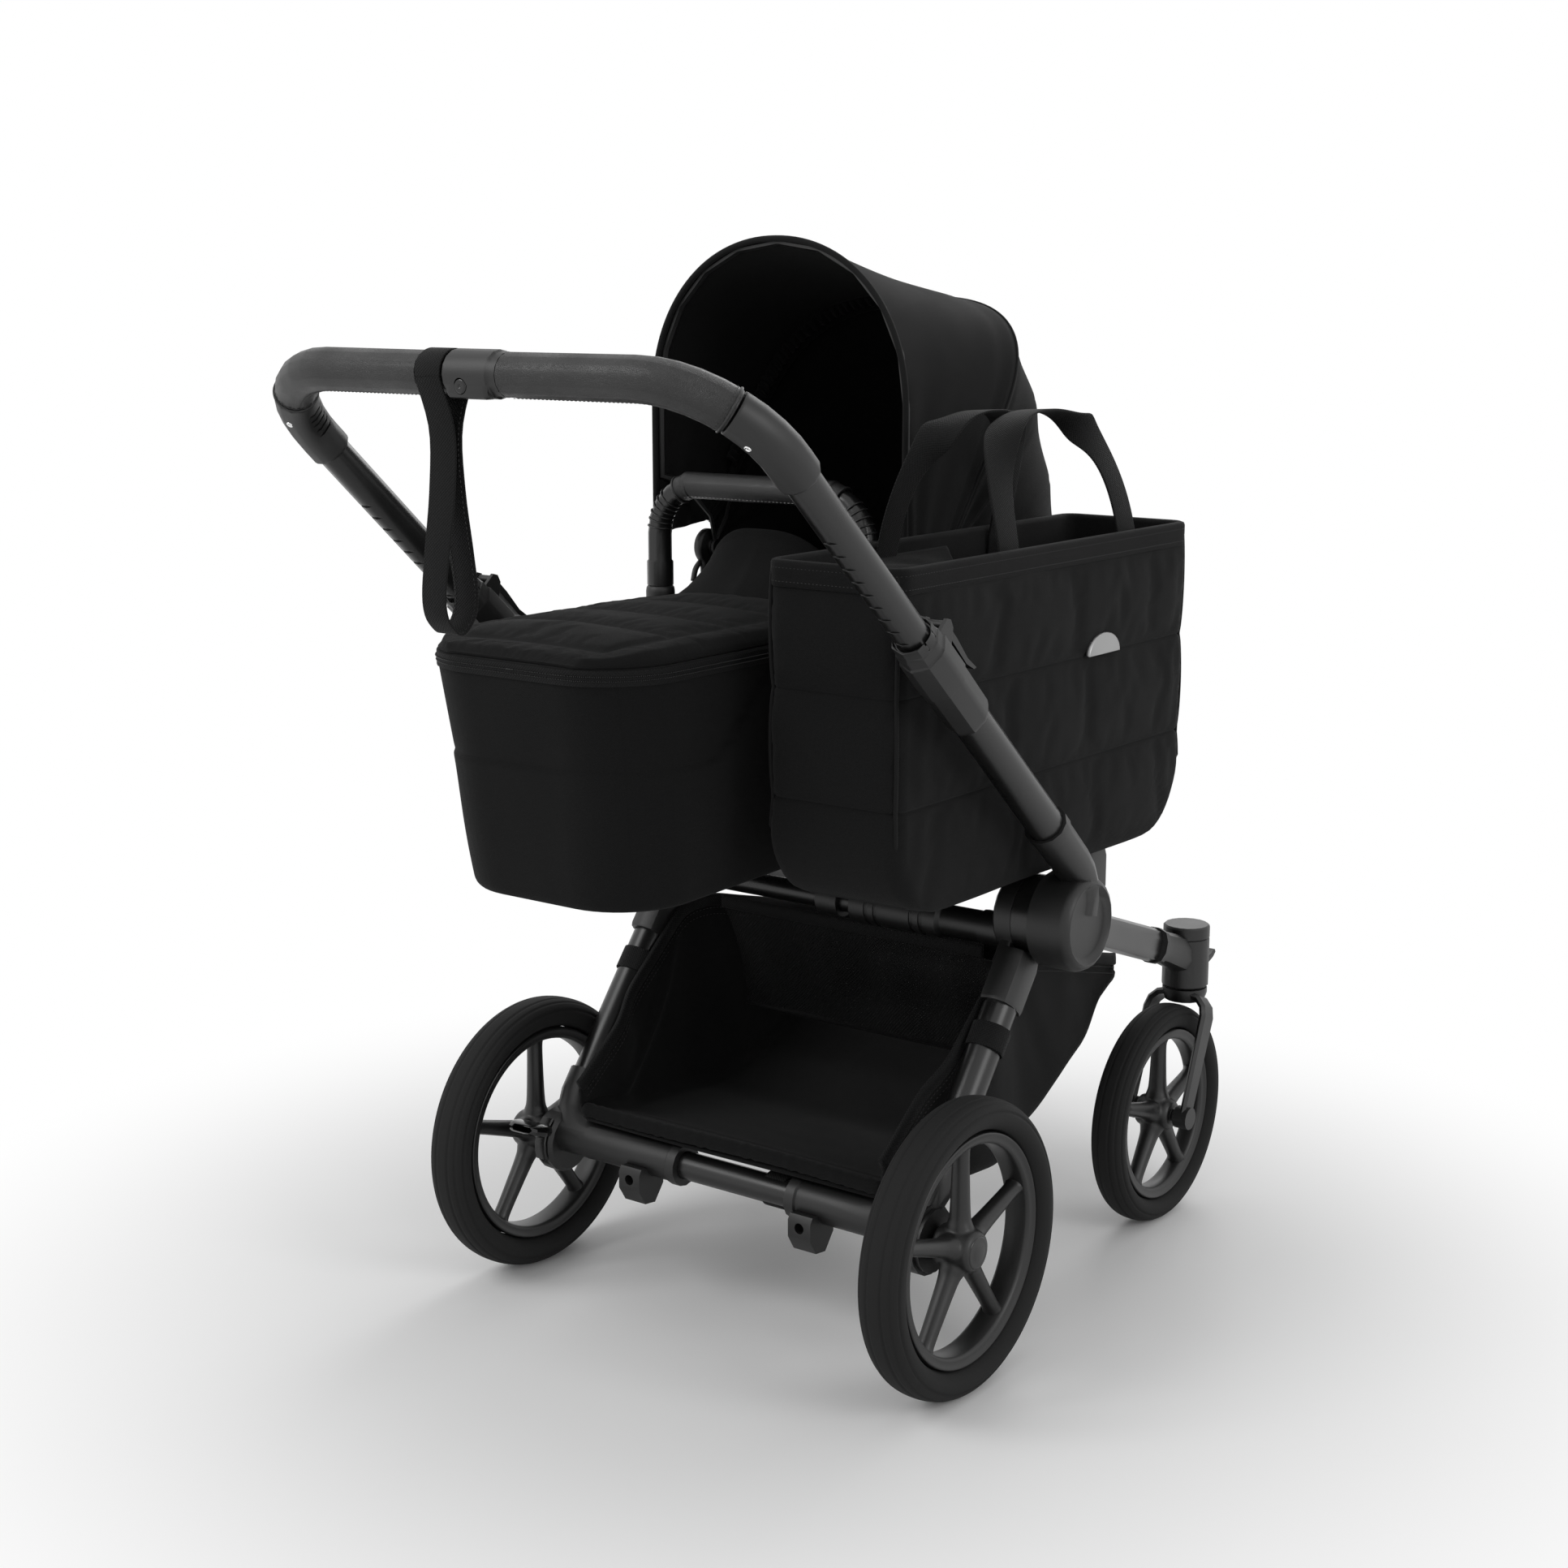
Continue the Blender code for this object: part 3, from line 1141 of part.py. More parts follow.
def cot_tub():
    """The carrycot's tub: fabric walls over a frame, with its carry-handle sockets and canopy pivots."""
    floor = COT_BOTTOM_Z + 0.012
    rings = [
        sloped(cot_outline(COT_BOTTOM_Z, 0.012), COT_BOTTOM_Z),
        sloped(cot_outline(COT_BOTTOM_Z, 0.0), COT_BOTTOM_Z + 0.008),
        level(cot_outline(0.616), 0.616),
        level(cot_outline(0.624, -0.001), 0.624),
        level(cot_outline(COT_RIM_Z - 0.006), COT_RIM_Z - 0.006),
        level(cot_outline(COT_RIM_Z, 0.002), COT_RIM_Z),
        level(cot_outline(COT_RIM_Z, COT_WALL), COT_RIM_Z),
        sloped(cot_outline(floor, COT_WALL), floor + 0.006),
        sloped(cot_outline(floor, COT_WALL + 0.012), floor),
    ]
    tub = triangulated(skin("cot_tub", rings))
    for side in (-1, 1):
        x = COT_X + side * POST_X
        boss_profile = [
            (0, 0.590),
            (POST_R + 0.0010, 0.600),
            (POST_R + 0.0010, COT_RIM_Z - 0.004),
            (POST_R + 0.003, COT_RIM_Z),
            (POST_R + 0.003, SOCKET_TOP - 0.004),
            (POST_R + 0.0015, SOCKET_TOP),
            (0, SOCKET_TOP),
        ]
        fuse(tub, turned("boss", boss_profile, (x, POST_Y, 0), (0, 0, 1), 12))
        px = COT_X + side * PIVOT_X
        bracket_low = (px - 0.004, PIVOT_Y - 0.011, COT_RIM_Z - 0.030)
        bracket = block(bracket_low, (px + 0.004, PIVOT_Y + 0.011, PIVOT_Z))
        disc = cylinder(PIVOT_DISC_R, (px - 0.006, PIVOT_Y, PIVOT_Z), (px + 0.006, PIVOT_Y, PIVOT_Z), 16)
        pin_ends = [(px - side * reach, PIVOT_Y, PIVOT_Z) for reach in (0.003, 0.0165)]
        pin = cylinder(0.0035, *pin_ends, 10)
        fuse(tub, bracket, disc, pin)
        cut(tub, cylinder(POST_ROD_R + GAP, (x, POST_Y, 0.604), (x, POST_Y, SOCKET_TOP + PIERCE), 12))
    return tub


def mattress():
    """A thin mattress that lies on the cot's floor, crowned and drawn in at its edge."""
    base = COT_BOTTOM_Z + 0.0130
    inset = COT_WALL + 0.004
    notch = 0.016
    rings = [
        sloped(cot_outline(base, inset + 0.014), base),
        sloped(cot_outline(base, inset + 0.006), base + 0.006),
        sloped(cot_outline(base, inset + notch * 0.3), base + 0.020),
        sloped(cot_outline(base, inset + 0.008), base + 0.034),
        sloped(cot_outline(base, inset + 0.030), base + 0.041),
        sloped(cot_outline(base, inset + 0.075), base + 0.044),
    ]
    return skin("mattress", rings)


def apron():
    """The padded, quilted cover over the foot of the cot, turned up into a flap against the wind."""
    base = COT_RIM_Z + GAP
    stations = []
    count = 15
    span = APRON_END - COT_FOOT
    for i in range(count):
        t = i / (count - 1)
        stations.append(COT_FOOT + 0.002 + (span - 0.002) * (1 - math.cos(math.pi * t * 0.5)) ** 0.9)
    rings = []
    for y in stations:
        rings.append(apron_section(y, base))
    return skin("apron", rings)


def cot_half_width(y):
    """Half the cot's width at its rim, rounded off towards the foot."""
    from_foot = y - COT_FOOT
    if from_foot >= COT_FOOT_CORNER:
        return COT_HALF_W
    reach = COT_FOOT_CORNER - from_foot
    return COT_HALF_W - COT_FOOT_CORNER + math.sqrt(max(COT_FOOT_CORNER**2 - reach**2, 0))


def apron_section(y, base):
    """One cross-section of the apron: a flat underside and a crowned, quilted top."""
    half = cot_half_width(y) - 0.002
    if y > POST_Y - 0.045:
        half = min(half, POST_X - POST_R - 0.008)
    edge = 0.005
    quilt = 0.5 + 0.5 * math.cos(2 * math.pi * (y - COT_FOOT) / 0.105)
    rise = min(1.0, (y - COT_FOOT) / 0.05)
    flap = max(0.0, (y - 0.105) / (APRON_END - 0.105)) ** 1.6
    points = []
    across = 12
    for i in range(across + 1):
        u = -1 + 2 * i / across
        crown = (1 - u * u) ** 0.5 if abs(u) < 1 else 0
        padding = (APRON_CROWN - 0.004 * quilt) * rise * crown
        height = edge + padding + (FLAP_HEIGHT - APRON_CROWN) * flap * crown**0.7
        points.append(Vector((COT_X + half * u, y, base + height)))
    points.append(Vector((COT_X + half, y, base)))
    points.append(Vector((COT_X - half, y, base)))
    return points


def carry_handle():
    """The arched handle that lifts out of its sockets, with collars at its feet and ribs in its bends."""
    left, right = COT_X - POST_X, COT_X + POST_X
    foot = SOCKET_TOP + GAP
    heights = (foot, CARRY_TOP, CARRY_TOP, foot)
    corners = [(x, POST_Y, z) for x, z in zip((left, left, right, right), heights)]
    arch = rounded_path(corners, [CARRY_BEND_R, CARRY_BEND_R], 5)
    feet = [Vector((left, POST_Y, foot + rise)) for rise in (0.026, 0.028)]
    far_feet = [Vector((right, POST_Y, foot + rise)) for rise in (0.028, 0.026)]
    path = [arch[0]] + feet + arch[1:-1] + far_feet + [arch[-1]]
    widths = [1.12, 1.12] + [1.0] * (len(path) - 4) + [1.12, 1.12]
    handle = sweep("carry_handle", path, circle(POST_R, 10), (0, 1, 0), scales=widths)
    for x in (left, right):
        fuse(handle, cylinder(POST_ROD_R, (x, POST_Y, 0.606), (x, POST_Y, foot + 0.010), 12))
    return handle


# Canopy

def arch_section(half, low, high, straight, squareness, count=15):
    """Points of an arch from its left foot over the top: x across, and (y, z) from low to high."""
    low, high = Vector(low), Vector(high)
    points = []
    legs = 2
    for i in range(legs):
        points.append((-half, straight * i / legs))
    bend = count - 2 * legs
    for i in range(bend):
        angle = math.pi * (1 - i / (bend - 1))
        x = half * math.copysign(abs(math.cos(angle)) ** (2 / squareness), math.cos(angle))
        points.append((x, straight + (1 - straight) * math.sin(angle) ** (2 / squareness)))
    for i in reversed(range(legs)):
        points.append((half, straight * i / legs))
    place_at = [low.lerp(high, share) for _, share in points]
    return [Vector((CANOPY_X + x, at.x, at.y)) for (x, _), at in zip(points, place_at)]


def hoop(name, eye_x, low_path, low, high, straight, squareness):
    """A bent flat bar: an eye on the pivot, a strut that spreads outwards, and the arch."""
    half = CANOPY_HALF_W - HOOP_DEPTH
    arch = arch_section(half, low, high, straight, squareness)
    left = [Vector((COT_X - eye_x, *low_path[0]))]
    for share, place_at in zip((0.0, 0.60), low_path[1:]):
        left.append(Vector(((COT_X - eye_x) * (1 - share) + (CANOPY_X - half) * share, *place_at)))
    right = [Vector((COT_X + eye_x, *low_path[0]))]
    for share, place_at in zip((0.0, 0.60), low_path[1:]):
        right.append(Vector(((COT_X + eye_x) * (1 - share) + (CANOPY_X + half) * share, *place_at)))
    path = left + arch[1:-1] + right[::-1]
    bar = ribbon_hoop(name, path, (Vector((0, *high)) - Vector((0, *low))).normalized())
    for sign in (-1, 1):
        x = COT_X + sign * eye_x
        fuse(bar, cylinder(0.009, (x - 0.0018, PIVOT_Y, PIVOT_Z), (x + 0.0018, PIVOT_Y, PIVOT_Z), 14))
        cut(bar, cylinder(0.0035 + GAP, (x - 0.010, PIVOT_Y, PIVOT_Z), (x + 0.010, PIVOT_Y, PIVOT_Z), 10))
    return bar


def ribbon_hoop(name, path, rising):
    """Sweeps the hoop's flat section with its width square to the plane of the arch."""
    square = Vector((1, 0, 0)).cross(rising).normalized()
    count = len(path)
    rings = []
    for i, point in enumerate(path):
        tangent = tangent_at(path, i)
        wide = (square - tangent * square.dot(tangent)).normalized()
        thick = tangent.cross(wide).normalized()
        near_eye = i < 2 or i > count - 3
        width = HOOP_W * (0.62 if near_eye else 1) / 2
        depth = HOOP_T * (0.70 if near_eye else 1) / 2
        section = ((1, 0.2), (0, 1), (-1, 0.2), (-1, -1), (1, -1))
        rings.append([point + wide * a * width + thick * b * depth for a, b in section])
    return skin(name, rings)


def canopy_front_hoop():
    low_path = [(PIVOT_Y, PIVOT_Z), (PIVOT_Y - 0.010, PIVOT_Z + 0.036), (PIVOT_Y - 0.040, PIVOT_Z + 0.075)]
    top = CANOPY_TOP - HOOP_DEPTH
    feet, crown = (FRONT_HOOP_Y, 0.780), (FRONT_HOOP_Y, top)
    return hoop("canopy_front_hoop", PIVOT_X - 0.0128, low_path, feet, crown, 0.50, 2.1)


def canopy_second_hoop():
    angle = math.radians(SECOND_ANGLE)
    reach = SECOND_REACH - HOOP_DEPTH
    low_path = [(PIVOT_Y + r * math.cos(angle), PIVOT_Z + r * math.sin(angle)) for r in (0, 0.040, 0.095)]
    high = (PIVOT_Y + reach * math.cos(angle), PIVOT_Z + reach * math.sin(angle))
    return hoop("canopy_second_hoop", PIVOT_X - 0.0083, low_path, (PIVOT_Y, PIVOT_Z), high, 0.52, 2.7)


def canopy_sheet(name, sections):
    """A thin sheet through arched sections. Each is (low, high, straight share, squareness)."""
    rings = []
    for low, high, straight, squareness in sections:
        rising = (Vector(high) - Vector(low)).normalized()
        inner_high = Vector(high) - rising * CANOPY_T
        outer = arch_section(CANOPY_HALF_W, low, high, straight, squareness)
        inner = arch_section(CANOPY_HALF_W - CANOPY_T, low, inner_high, straight, squareness)
        rings.append(outer + inner[::-1])
    return skin(name, rings)


def second_section(shift):
    """The canopy's section over the second hoop, a little in front of or behind it."""
    angle = math.radians(SECOND_ANGLE)
    side = Vector((math.sin(angle), -math.cos(angle))) * shift
    low = Vector((PIVOT_Y + 0.034 * math.cos(angle), PIVOT_Z + 0.034 * math.sin(angle))) + side
    high = Vector((PIVOT_Y + SECOND_REACH * math.cos(angle), PIVOT_Z + SECOND_REACH * math.sin(angle))) + side
    straight = (0.52 * SECOND_REACH - 0.034) / (SECOND_REACH - 0.034)
    return low, high, straight, 2.7


def canopy_front():
    """The sheet between the two hoops, which dips a little where nothing holds it up."""
    edge_y = FRONT_HOOP_Y - HOOP_W / 2 - 0.003
    past_y = FRONT_HOOP_Y + HOOP_W / 2 + 0.002
    over_hoop = [((y, 0.800), (y, CANOPY_TOP), 0.46, 2.1) for y in (edge_y, past_y)]
    _, second_high, _, _ = second_section(-0.0008)
    dip_high = ((edge_y + second_high.x) / 2, (CANOPY_TOP + second_high.y) / 2 - 0.006)
    dip = ((edge_y + 0.048, 0.803), dip_high, 0.46, 2.35)
    near_second = [second_section(-HOOP_W / 2 - 0.003), second_section(-0.0008)]
    return canopy_sheet("canopy_front", over_hoop + [dip] + near_second)


def canopy_back():
    """The sheet from the second hoop down round the head of the cot."""
    sections = [second_section(0.0008), second_section(HOOP_W / 2 + 0.003)]
    stations = (
        (40.0, 0.336, 0.46, 2.5),
        (26.0, 0.332, 0.42, 2.4),
        (10.0, 0.336, 0.42, 2.4),
        (-8.3, 0.362, 0.46, 2.5),
    )
    for degrees, reach, straight, squareness in stations:
        angle = math.radians(degrees)
        start = 0.034
        low = (PIVOT_Y + start * math.cos(angle), PIVOT_Z + start * math.sin(angle))
        high = (PIVOT_Y + reach * math.cos(angle), PIVOT_Z + reach * math.sin(angle))
        sections.append((low, high, straight, squareness))
    return canopy_sheet("canopy_back", sections)


# Bag

def bag_outline(z, inset=0.0, per_corner=3):
    """The bag's plan at a height: its two lower ends are rounded, and each quilt line draws the walls in."""
    above = max(z - BAG_BOTTOM, 0)
    ends = 0.0
    if above < BAG_CORNER:
        ends = BAG_CORNER - math.sqrt(BAG_CORNER**2 - (BAG_CORNER - above) ** 2)
    swell = 0.0
    edges = (BAG_BOTTOM,) + QUILT_LINES + (BAG_TOP,)
    for low, high in zip(edges, edges[1:]):
        if low <= z <= high:
            swell = math.sin(math.pi * (z - low) / (high - low)) ** 0.5 if low < z < high else 0.0
    outer = BAG_OUTER_X - 0.004 + 0.004 * swell - inset
    inner = BAG_INNER_X + 0.004 - 0.004 * swell + inset
    rear = BAG_REAR + 0.004 - 0.004 * swell + ends + inset
    front = BAG_FRONT - 0.004 + 0.004 * swell - ends - inset
    radius = 0.022 if inset == 0 else 0.016
    corners = ((outer, front, 0), (inner, front, 90), (inner, rear, 180), (outer, rear, 270))
    points = []
    for x, y, first in corners:
        sx = -1 if x == outer else 1
        sy = -1 if y == front else 1
        for i in range(per_corner):
            angle = math.radians(first + 90 * i / (per_corner - 1))
            px = x + sx * radius + radius * math.cos(angle)
            py = y + sy * radius + radius * math.sin(angle)
            points.append((px, py))
    return points


def bag():
    """The quilted bag, open at the top."""
    levels = [0.0, 0.006, 0.022, 0.050, 0.080]
    heights = [BAG_BOTTOM + rise for rise in levels]
    low, high = QUILT_LINES
    heights += [low - 0.008, low, low + 0.008, (low + high) / 2, high - 0.008, high, high + 0.008]
    heights += [(high + BAG_TOP) / 2, BAG_TOP - 0.010, BAG_TOP]
    rings = [level(bag_outline(z), z) for z in heights]
    floor = BAG_BOTTOM + BAG_WALL
    for z in (BAG_TOP, (BAG_TOP + floor) / 2, BAG_BOTTOM + BAG_CORNER * 0.5, floor):
        rings.append(level(bag_outline(max(z, BAG_BOTTOM + 0.012), BAG_WALL), z))
    return skin("bag", rings)


def bag_loop(foot_x, lean, rear, front):
    """A webbing loop sewn inside the bag's rim. It turns flat over its top and leans to meet its twin."""
    path, wide = [], []
    count = 17
    foot_z = BAG_TOP - 0.030
    for i in range(count):
        t = i / (count - 1)
        across = -math.cos(math.pi * t)
        rise = math.sin(math.pi * t) ** 0.62
        y = (rear + front) / 2 + (front - rear) / 2 * math.copysign(abs(across) ** 0.85, across)
        path.append((foot_x + lean * rise**1.5, y, foot_z + (BAG_LOOP_RISE + 0.030) * rise))
        turn = rise**6
        wide.append(Vector((turn, 1 - turn, 0)))
    path[1] = (foot_x, path[1][1], path[1][2])
    path[-2] = (foot_x, path[-2][1], path[-2][2])
    return ribbon("bag_loop", path, wide, WEBBING_W, WEBBING_T)


# Basket

def basket_half_width(y):
    beside_leg = LEG_X - CUFF_HALF_W - 2 * GAP
    beside_drum = LEG_X - LEG_R - LEG_SOCKET_WALL - 0.010
    stations = (
        (BASKET_REAR, beside_drum),
        (0.060, beside_drum),
        (0.085, beside_leg),
        (0.180, beside_leg),
        (0.250, HOUSING_X0 - 0.0120),
        (0.360, HALF_FRONT_TRACK - 0.027),
        (BASKET_FRONT, HALF_FRONT_TRACK - 0.050),
    )
    return blended(stations, y)


def basket_bottom(y):
    clear_of_axle = AXLE_TUBE_Z + AXLE_SLEEVE_R + 0.0040
    stations = (
        (BASKET_REAR, clear_of_axle),
        (0.022, clear_of_axle),
        (0.060, 0.170),
        (0.207, 0.158),
        (0.300, 0.184),
        (0.366, 0.214),
        (0.420, 0.228),
        (0.455, 0.262),
        (BASKET_FRONT, 0.276),
    )
    return blended(stations, y)


def basket_top(y):
    below_disc = HUB_HEIGHT - DISC_R - 0.006
    stations = (
        (BASKET_REAR, 0.214),
        (-0.012, 0.218),
        (0.053, 0.268),
        (0.129, 0.332),
        (0.180, below_disc - 0.004),
        (0.215, below_disc),
        (0.340, 0.348),
        (BASKET_FRONT, 0.302),
    )
    return blended(stations, y)


def basket_section(y, floor):
    """One upright section of the basket: two walls and a floor, with rounded lower edges."""
    half, low, high = basket_half_width(y), basket_bottom(y), basket_top(y)
    wall, radius = BASKET_WALL, 0.016
    inner = half - wall
    points = [
        (-half, high), (-half, low + radius),
        (-half + 0.3 * radius, low + 0.3 * radius), (-half + radius, low),
        (half - radius, low), (half - 0.3 * radius, low + 0.3 * radius),
        (half, low + radius), (half, high),
        (inner, high), (inner, floor + radius), (inner - radius, floor),
        (-inner + radius, floor), (-inner, floor + radius), (-inner, high),
    ]
    return [Vector((x, y, z)) for x, z in points]


def basket_floor(y):
    return basket_bottom(y) + BASKET_WALL


def basket():
    """The fabric basket under the seats: open at the back over a low rolled hem, closed at its nose."""
    rings = []
    hem = 0.010
    for y in (BASKET_REAR, BASKET_REAR + hem):
        rings.append(basket_section(y, basket_top(y) - 0.020))
    stations = (0.022, 0.060, 0.085, 0.129, 0.180, 0.207, 0.250, 0.300, 0.366, 0.420, 0.455)
    for y in (BASKET_REAR + hem + 0.001, *stations, BASKET_FRONT - 0.006):
        rings.append(basket_section(y, basket_floor(y)))
    for y in (BASKET_FRONT - 0.005, BASKET_FRONT):
        rings.append(basket_section(y, basket_top(y) - 0.020))
    return skin("basket", rings)


def basket_net():
    """The net panel that hangs across the basket under the cross tube, gathered into folds."""
    foot_y, head_y = 0.248, CROSS_Y
    foot_z = basket_floor(foot_y + 0.004) + 0.0008
    head_z = CROSS_Z - CROSS_SLEEVE_R - 0.0012
    half = min(basket_half_width(foot_y), basket_half_width(head_y)) - BASKET_WALL - 0.0166
    columns, rows, thick = 25, 4, 0.0030
    rings = []
    for i in range(columns):
        u = -1 + 2 * i / (columns - 1)
        front_side, back_side = [], []
        for j in range(rows):
            v = j / (rows - 1)
            gather = 0.0065 * math.sin(math.pi * v) ** 0.7 if 0 < v < 1 else 0.0
            y = foot_y + (head_y - foot_y) * v + gather * math.cos(math.pi * 4 * u)
            z = foot_z + (head_z - foot_z) * v
            front_side.append(Vector((half * u, y, z)))
            back_side.append(Vector((half * u, y + thick, z)))
        rings.append(front_side + back_side[::-1])
    return skin("basket_net", rings)


def make_chassis():
    place_pair(rear_leg(), "rear_leg", "chassis_right", "black_anodised", "chassis")
    place_pair(hub_housing(), "hub_housing", "chassis_right", "black_plastic", "chassis")
    place(brake_drum(RIGHT_SLEEVE_END), "brake_drum_right", "chassis_right", "black_plastic")
    left_drum = brake_drum(LEFT_SLEEVE_END)
    place(mirrored(left_drum, "brake_drum_left"), "brake_drum_left", "chassis", "black_plastic")
    bpy.data.objects.remove(left_drum)
    place(axle_inner_tube(), "axle_inner_tube", "chassis", "black_anodised")
    place(cross_tube(), "cross_tube", "chassis", "black_anodised")
    place(cross_sleeve(), "cross_sleeve", "chassis_right", "black_plastic")
    post_y = HUB_FORWARD + 0.125
    left_post = adapter(cot_bottom(post_y) - 0.0006)
    place(mirrored(left_post, "adapter_left"), "adapter_left", "chassis", "black_plastic")
    bpy.data.objects.remove(left_post)
    place(adapter(BAG_BOTTOM - 0.0005), "adapter_right", "chassis_right", "black_plastic")
    place(middle_adapter(), "adapter_middle", "chassis", "black_plastic")
    place_pair(front_leg(), "front_leg", "front_leg_right", "black_anodised")
    place_pair(front_head(), "front_head", "front_leg_right", "black_plastic")
    place_pair(swivel_tab(), "swivel_tab", "swivel_tab_right", "black_plastic")
    place_pair(fork(), "fork", "fork_right", "black_plastic")
    place(brake_pedal(), "brake_pedal", "brake_pedal", "gloss_plastic")


def make_handle():
    place_pair(handle_arm(), "handle_arm", "handle_right", "black_plastic")
    place_pair(handle_tube(), "handle_tube", "handle_right", "black_anodised")
    place_pair(clamp_collar(), "clamp_collar", "handle_right", "black_plastic")
    place_pair(clamp_lever(), "clamp_lever", "clamp_lever_right", "black_plastic")
    place_pair(inner_tube(), "inner_tube", "bar_right", "black_anodised")
    place_pair(elbow(), "elbow", "bar_right", "black_plastic")
    bar_bore_end = HANDLE_X - HANDLE_BEND_R + 0.018
    right_grip = cut(grip(CLAMP_RIGHT), bar_bore(CLAMP_RIGHT - PIERCE, bar_bore_end))
    place(right_grip, "grip_right", "bar_right", "black_leather")
    left_grip = grip(-CLAMP_LEFT)
    place(
        cut(mirrored(left_grip, "grip_left"), bar_bore(CLAMP_LEFT - 0.0305, CLAMP_LEFT + PIERCE)),
        "grip_left",
        "bar_left",
        "black_leather",
    )
    bpy.data.objects.remove(left_grip)
    place(bar_clamp(), "bar_clamp", "bar_left", "black_plastic")
    place(bar_button(), "bar_button", "bar_button", "gloss_plastic")
    place(wrist_strap(), "wrist_strap", "bar_left", "black_webbing")


def make_cot():
    place(cot_tub(), "cot_tub", "cot", "black_canvas")
    place(mattress(), "mattress", "cot", "cot_lining")
    place(apron(), "apron", "cot", "black_canvas")
    place(carry_handle(), "carry_handle", "carry_grip", "black_leather")
    place(canopy_second_hoop(), "canopy_second_hoop", "canopy_second", "black_plastic")
    place(canopy_back(), "canopy_back", "cot", "black_canvas")
    place(canopy_front_hoop(), "canopy_front_hoop", "canopy_front", "black_plastic")
    place(canopy_front(), "canopy_front", "canopy_second", "black_canvas")


def make_bag_and_basket():
    place(bag(), "bag", "bag", "black_canvas")
    inset = 0.004 + BAG_WALL + WEBBING_T / 2 + GAP
    outer_foot = BAG_OUTER_X - inset
    inner_foot = BAG_INNER_X + inset
    lean = (outer_foot - inner_foot) / 2 - WEBBING_W / 2 - 2 * GAP
    place(bag_loop(outer_foot, -lean, 0.150, 0.385), "bag_loop_outer", "bag", "black_webbing")
    place(bag_loop(inner_foot, lean, 0.120, 0.330), "bag_loop_inner", "bag", "black_webbing")
    place(basket(), "basket", "chassis", "black_canvas")
    place(basket_net(), "basket_net", "chassis", "black_net")


clear_scene()
make_bodies()
make_chassis()
make_wheels()
make_handle()
make_cot()
make_bag_and_basket()
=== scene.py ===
# %% [markdown]
# A pram is three things at once: a painted metal chassis with moulded joints, wheels with
# soft tyres, and sewn goods that hang on them. The chassis comes ready as a frame of exact
# solids. This lesson gives that frame its finish, turns the wheels anew, and sews the cot,
# the canopy, the bag and the basket as cloth. Everything is in metres, +Z up.

# %% Load the frame
from math import copysign, cos, exp, pi, radians, sin, sqrt

import bmesh
import bpy
import numpy as np
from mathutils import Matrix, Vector


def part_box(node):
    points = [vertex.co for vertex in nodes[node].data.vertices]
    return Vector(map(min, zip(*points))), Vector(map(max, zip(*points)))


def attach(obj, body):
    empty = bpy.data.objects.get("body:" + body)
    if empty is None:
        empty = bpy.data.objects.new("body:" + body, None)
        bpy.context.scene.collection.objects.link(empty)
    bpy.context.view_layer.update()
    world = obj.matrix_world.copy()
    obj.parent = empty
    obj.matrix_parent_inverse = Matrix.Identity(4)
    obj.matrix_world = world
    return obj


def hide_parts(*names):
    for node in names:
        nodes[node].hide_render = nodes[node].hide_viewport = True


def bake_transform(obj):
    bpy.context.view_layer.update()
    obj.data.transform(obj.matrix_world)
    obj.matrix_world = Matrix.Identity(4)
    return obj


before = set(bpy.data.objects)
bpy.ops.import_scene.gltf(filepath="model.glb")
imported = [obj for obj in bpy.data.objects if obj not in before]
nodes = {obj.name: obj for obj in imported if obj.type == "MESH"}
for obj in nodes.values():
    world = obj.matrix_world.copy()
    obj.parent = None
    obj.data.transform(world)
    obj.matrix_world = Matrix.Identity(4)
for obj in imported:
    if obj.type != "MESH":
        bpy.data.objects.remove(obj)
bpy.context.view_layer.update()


def middle(node):
    """The centre of a carried node's box."""
    low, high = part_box(node)
    return (low + high) / 2


def new_object(name, data):
    """An object with its data, linked to the scene."""
    obj = bpy.data.objects.new(name, data)
    bpy.context.scene.collection.objects.link(obj)
    return obj


# The soft goods are drawn from the rear axle forwards, so y counts from the axle here too.
AXLE_Y = middle("rear_tyre_right").y

# %% [markdown]
# The camera stands a little right of the pram and behind it, at a grown person's chest,
# and looks slightly down. Its place and lens were solved from the wheels' ellipses.

# %% Camera
CAMERA_AT = Vector((1.4772, -1.8866 + AXLE_Y, 1.0804))
CAMERA_TURN = 36.82
CAMERA_DIP = 11.85
LENS_MM = 55.74

camera_data = bpy.data.cameras.new("camera")
camera_data.lens = LENS_MM
camera_data.sensor_width = 36
camera = new_object("camera", camera_data)
camera.location = CAMERA_AT
camera.rotation_euler = (radians(90 - CAMERA_DIP), 0, radians(CAMERA_TURN))
bpy.context.scene.camera = camera
print("camera at", [round(value, 3) for value in camera.location], "lens", LENS_MM, "mm")

# %% [markdown]
# A black object on white asks for large, soft lamps: black paint and leather show their
# shape by what they mirror, so each lamp is a wide panel. A node is added to a tree by a
# small helper that takes values and other nodes' outputs alike, which keeps every material
# below short enough to read.

# %% Node helpers
def add(tree, kind, settings=None, **inputs):
    """Adds a node. An input is given by its name with _ for spaces, or as s0, s1 by number."""
    node = tree.nodes.new(kind)
    for key, value in (settings or {}).items():
        setattr(node, key, value)
    for key, value in inputs.items():
        by_number = key[0] == "s" and key[1:].isdigit()
        socket = node.inputs[int(key[1:])] if by_number else node.inputs[key.replace("_", " ")]
        if isinstance(value, bpy.types.NodeSocket):
            tree.links.new(value, socket)
        else:
            socket.default_value = value
    return node


def maths(tree, operation, *values, clamp=False):
    """A Math node's output."""
    numbered = {f"s{i}": value for i, value in enumerate(values)}
    return add(tree, "ShaderNodeMath", {"operation": operation, "use_clamp": clamp}, **numbered).outputs[0]


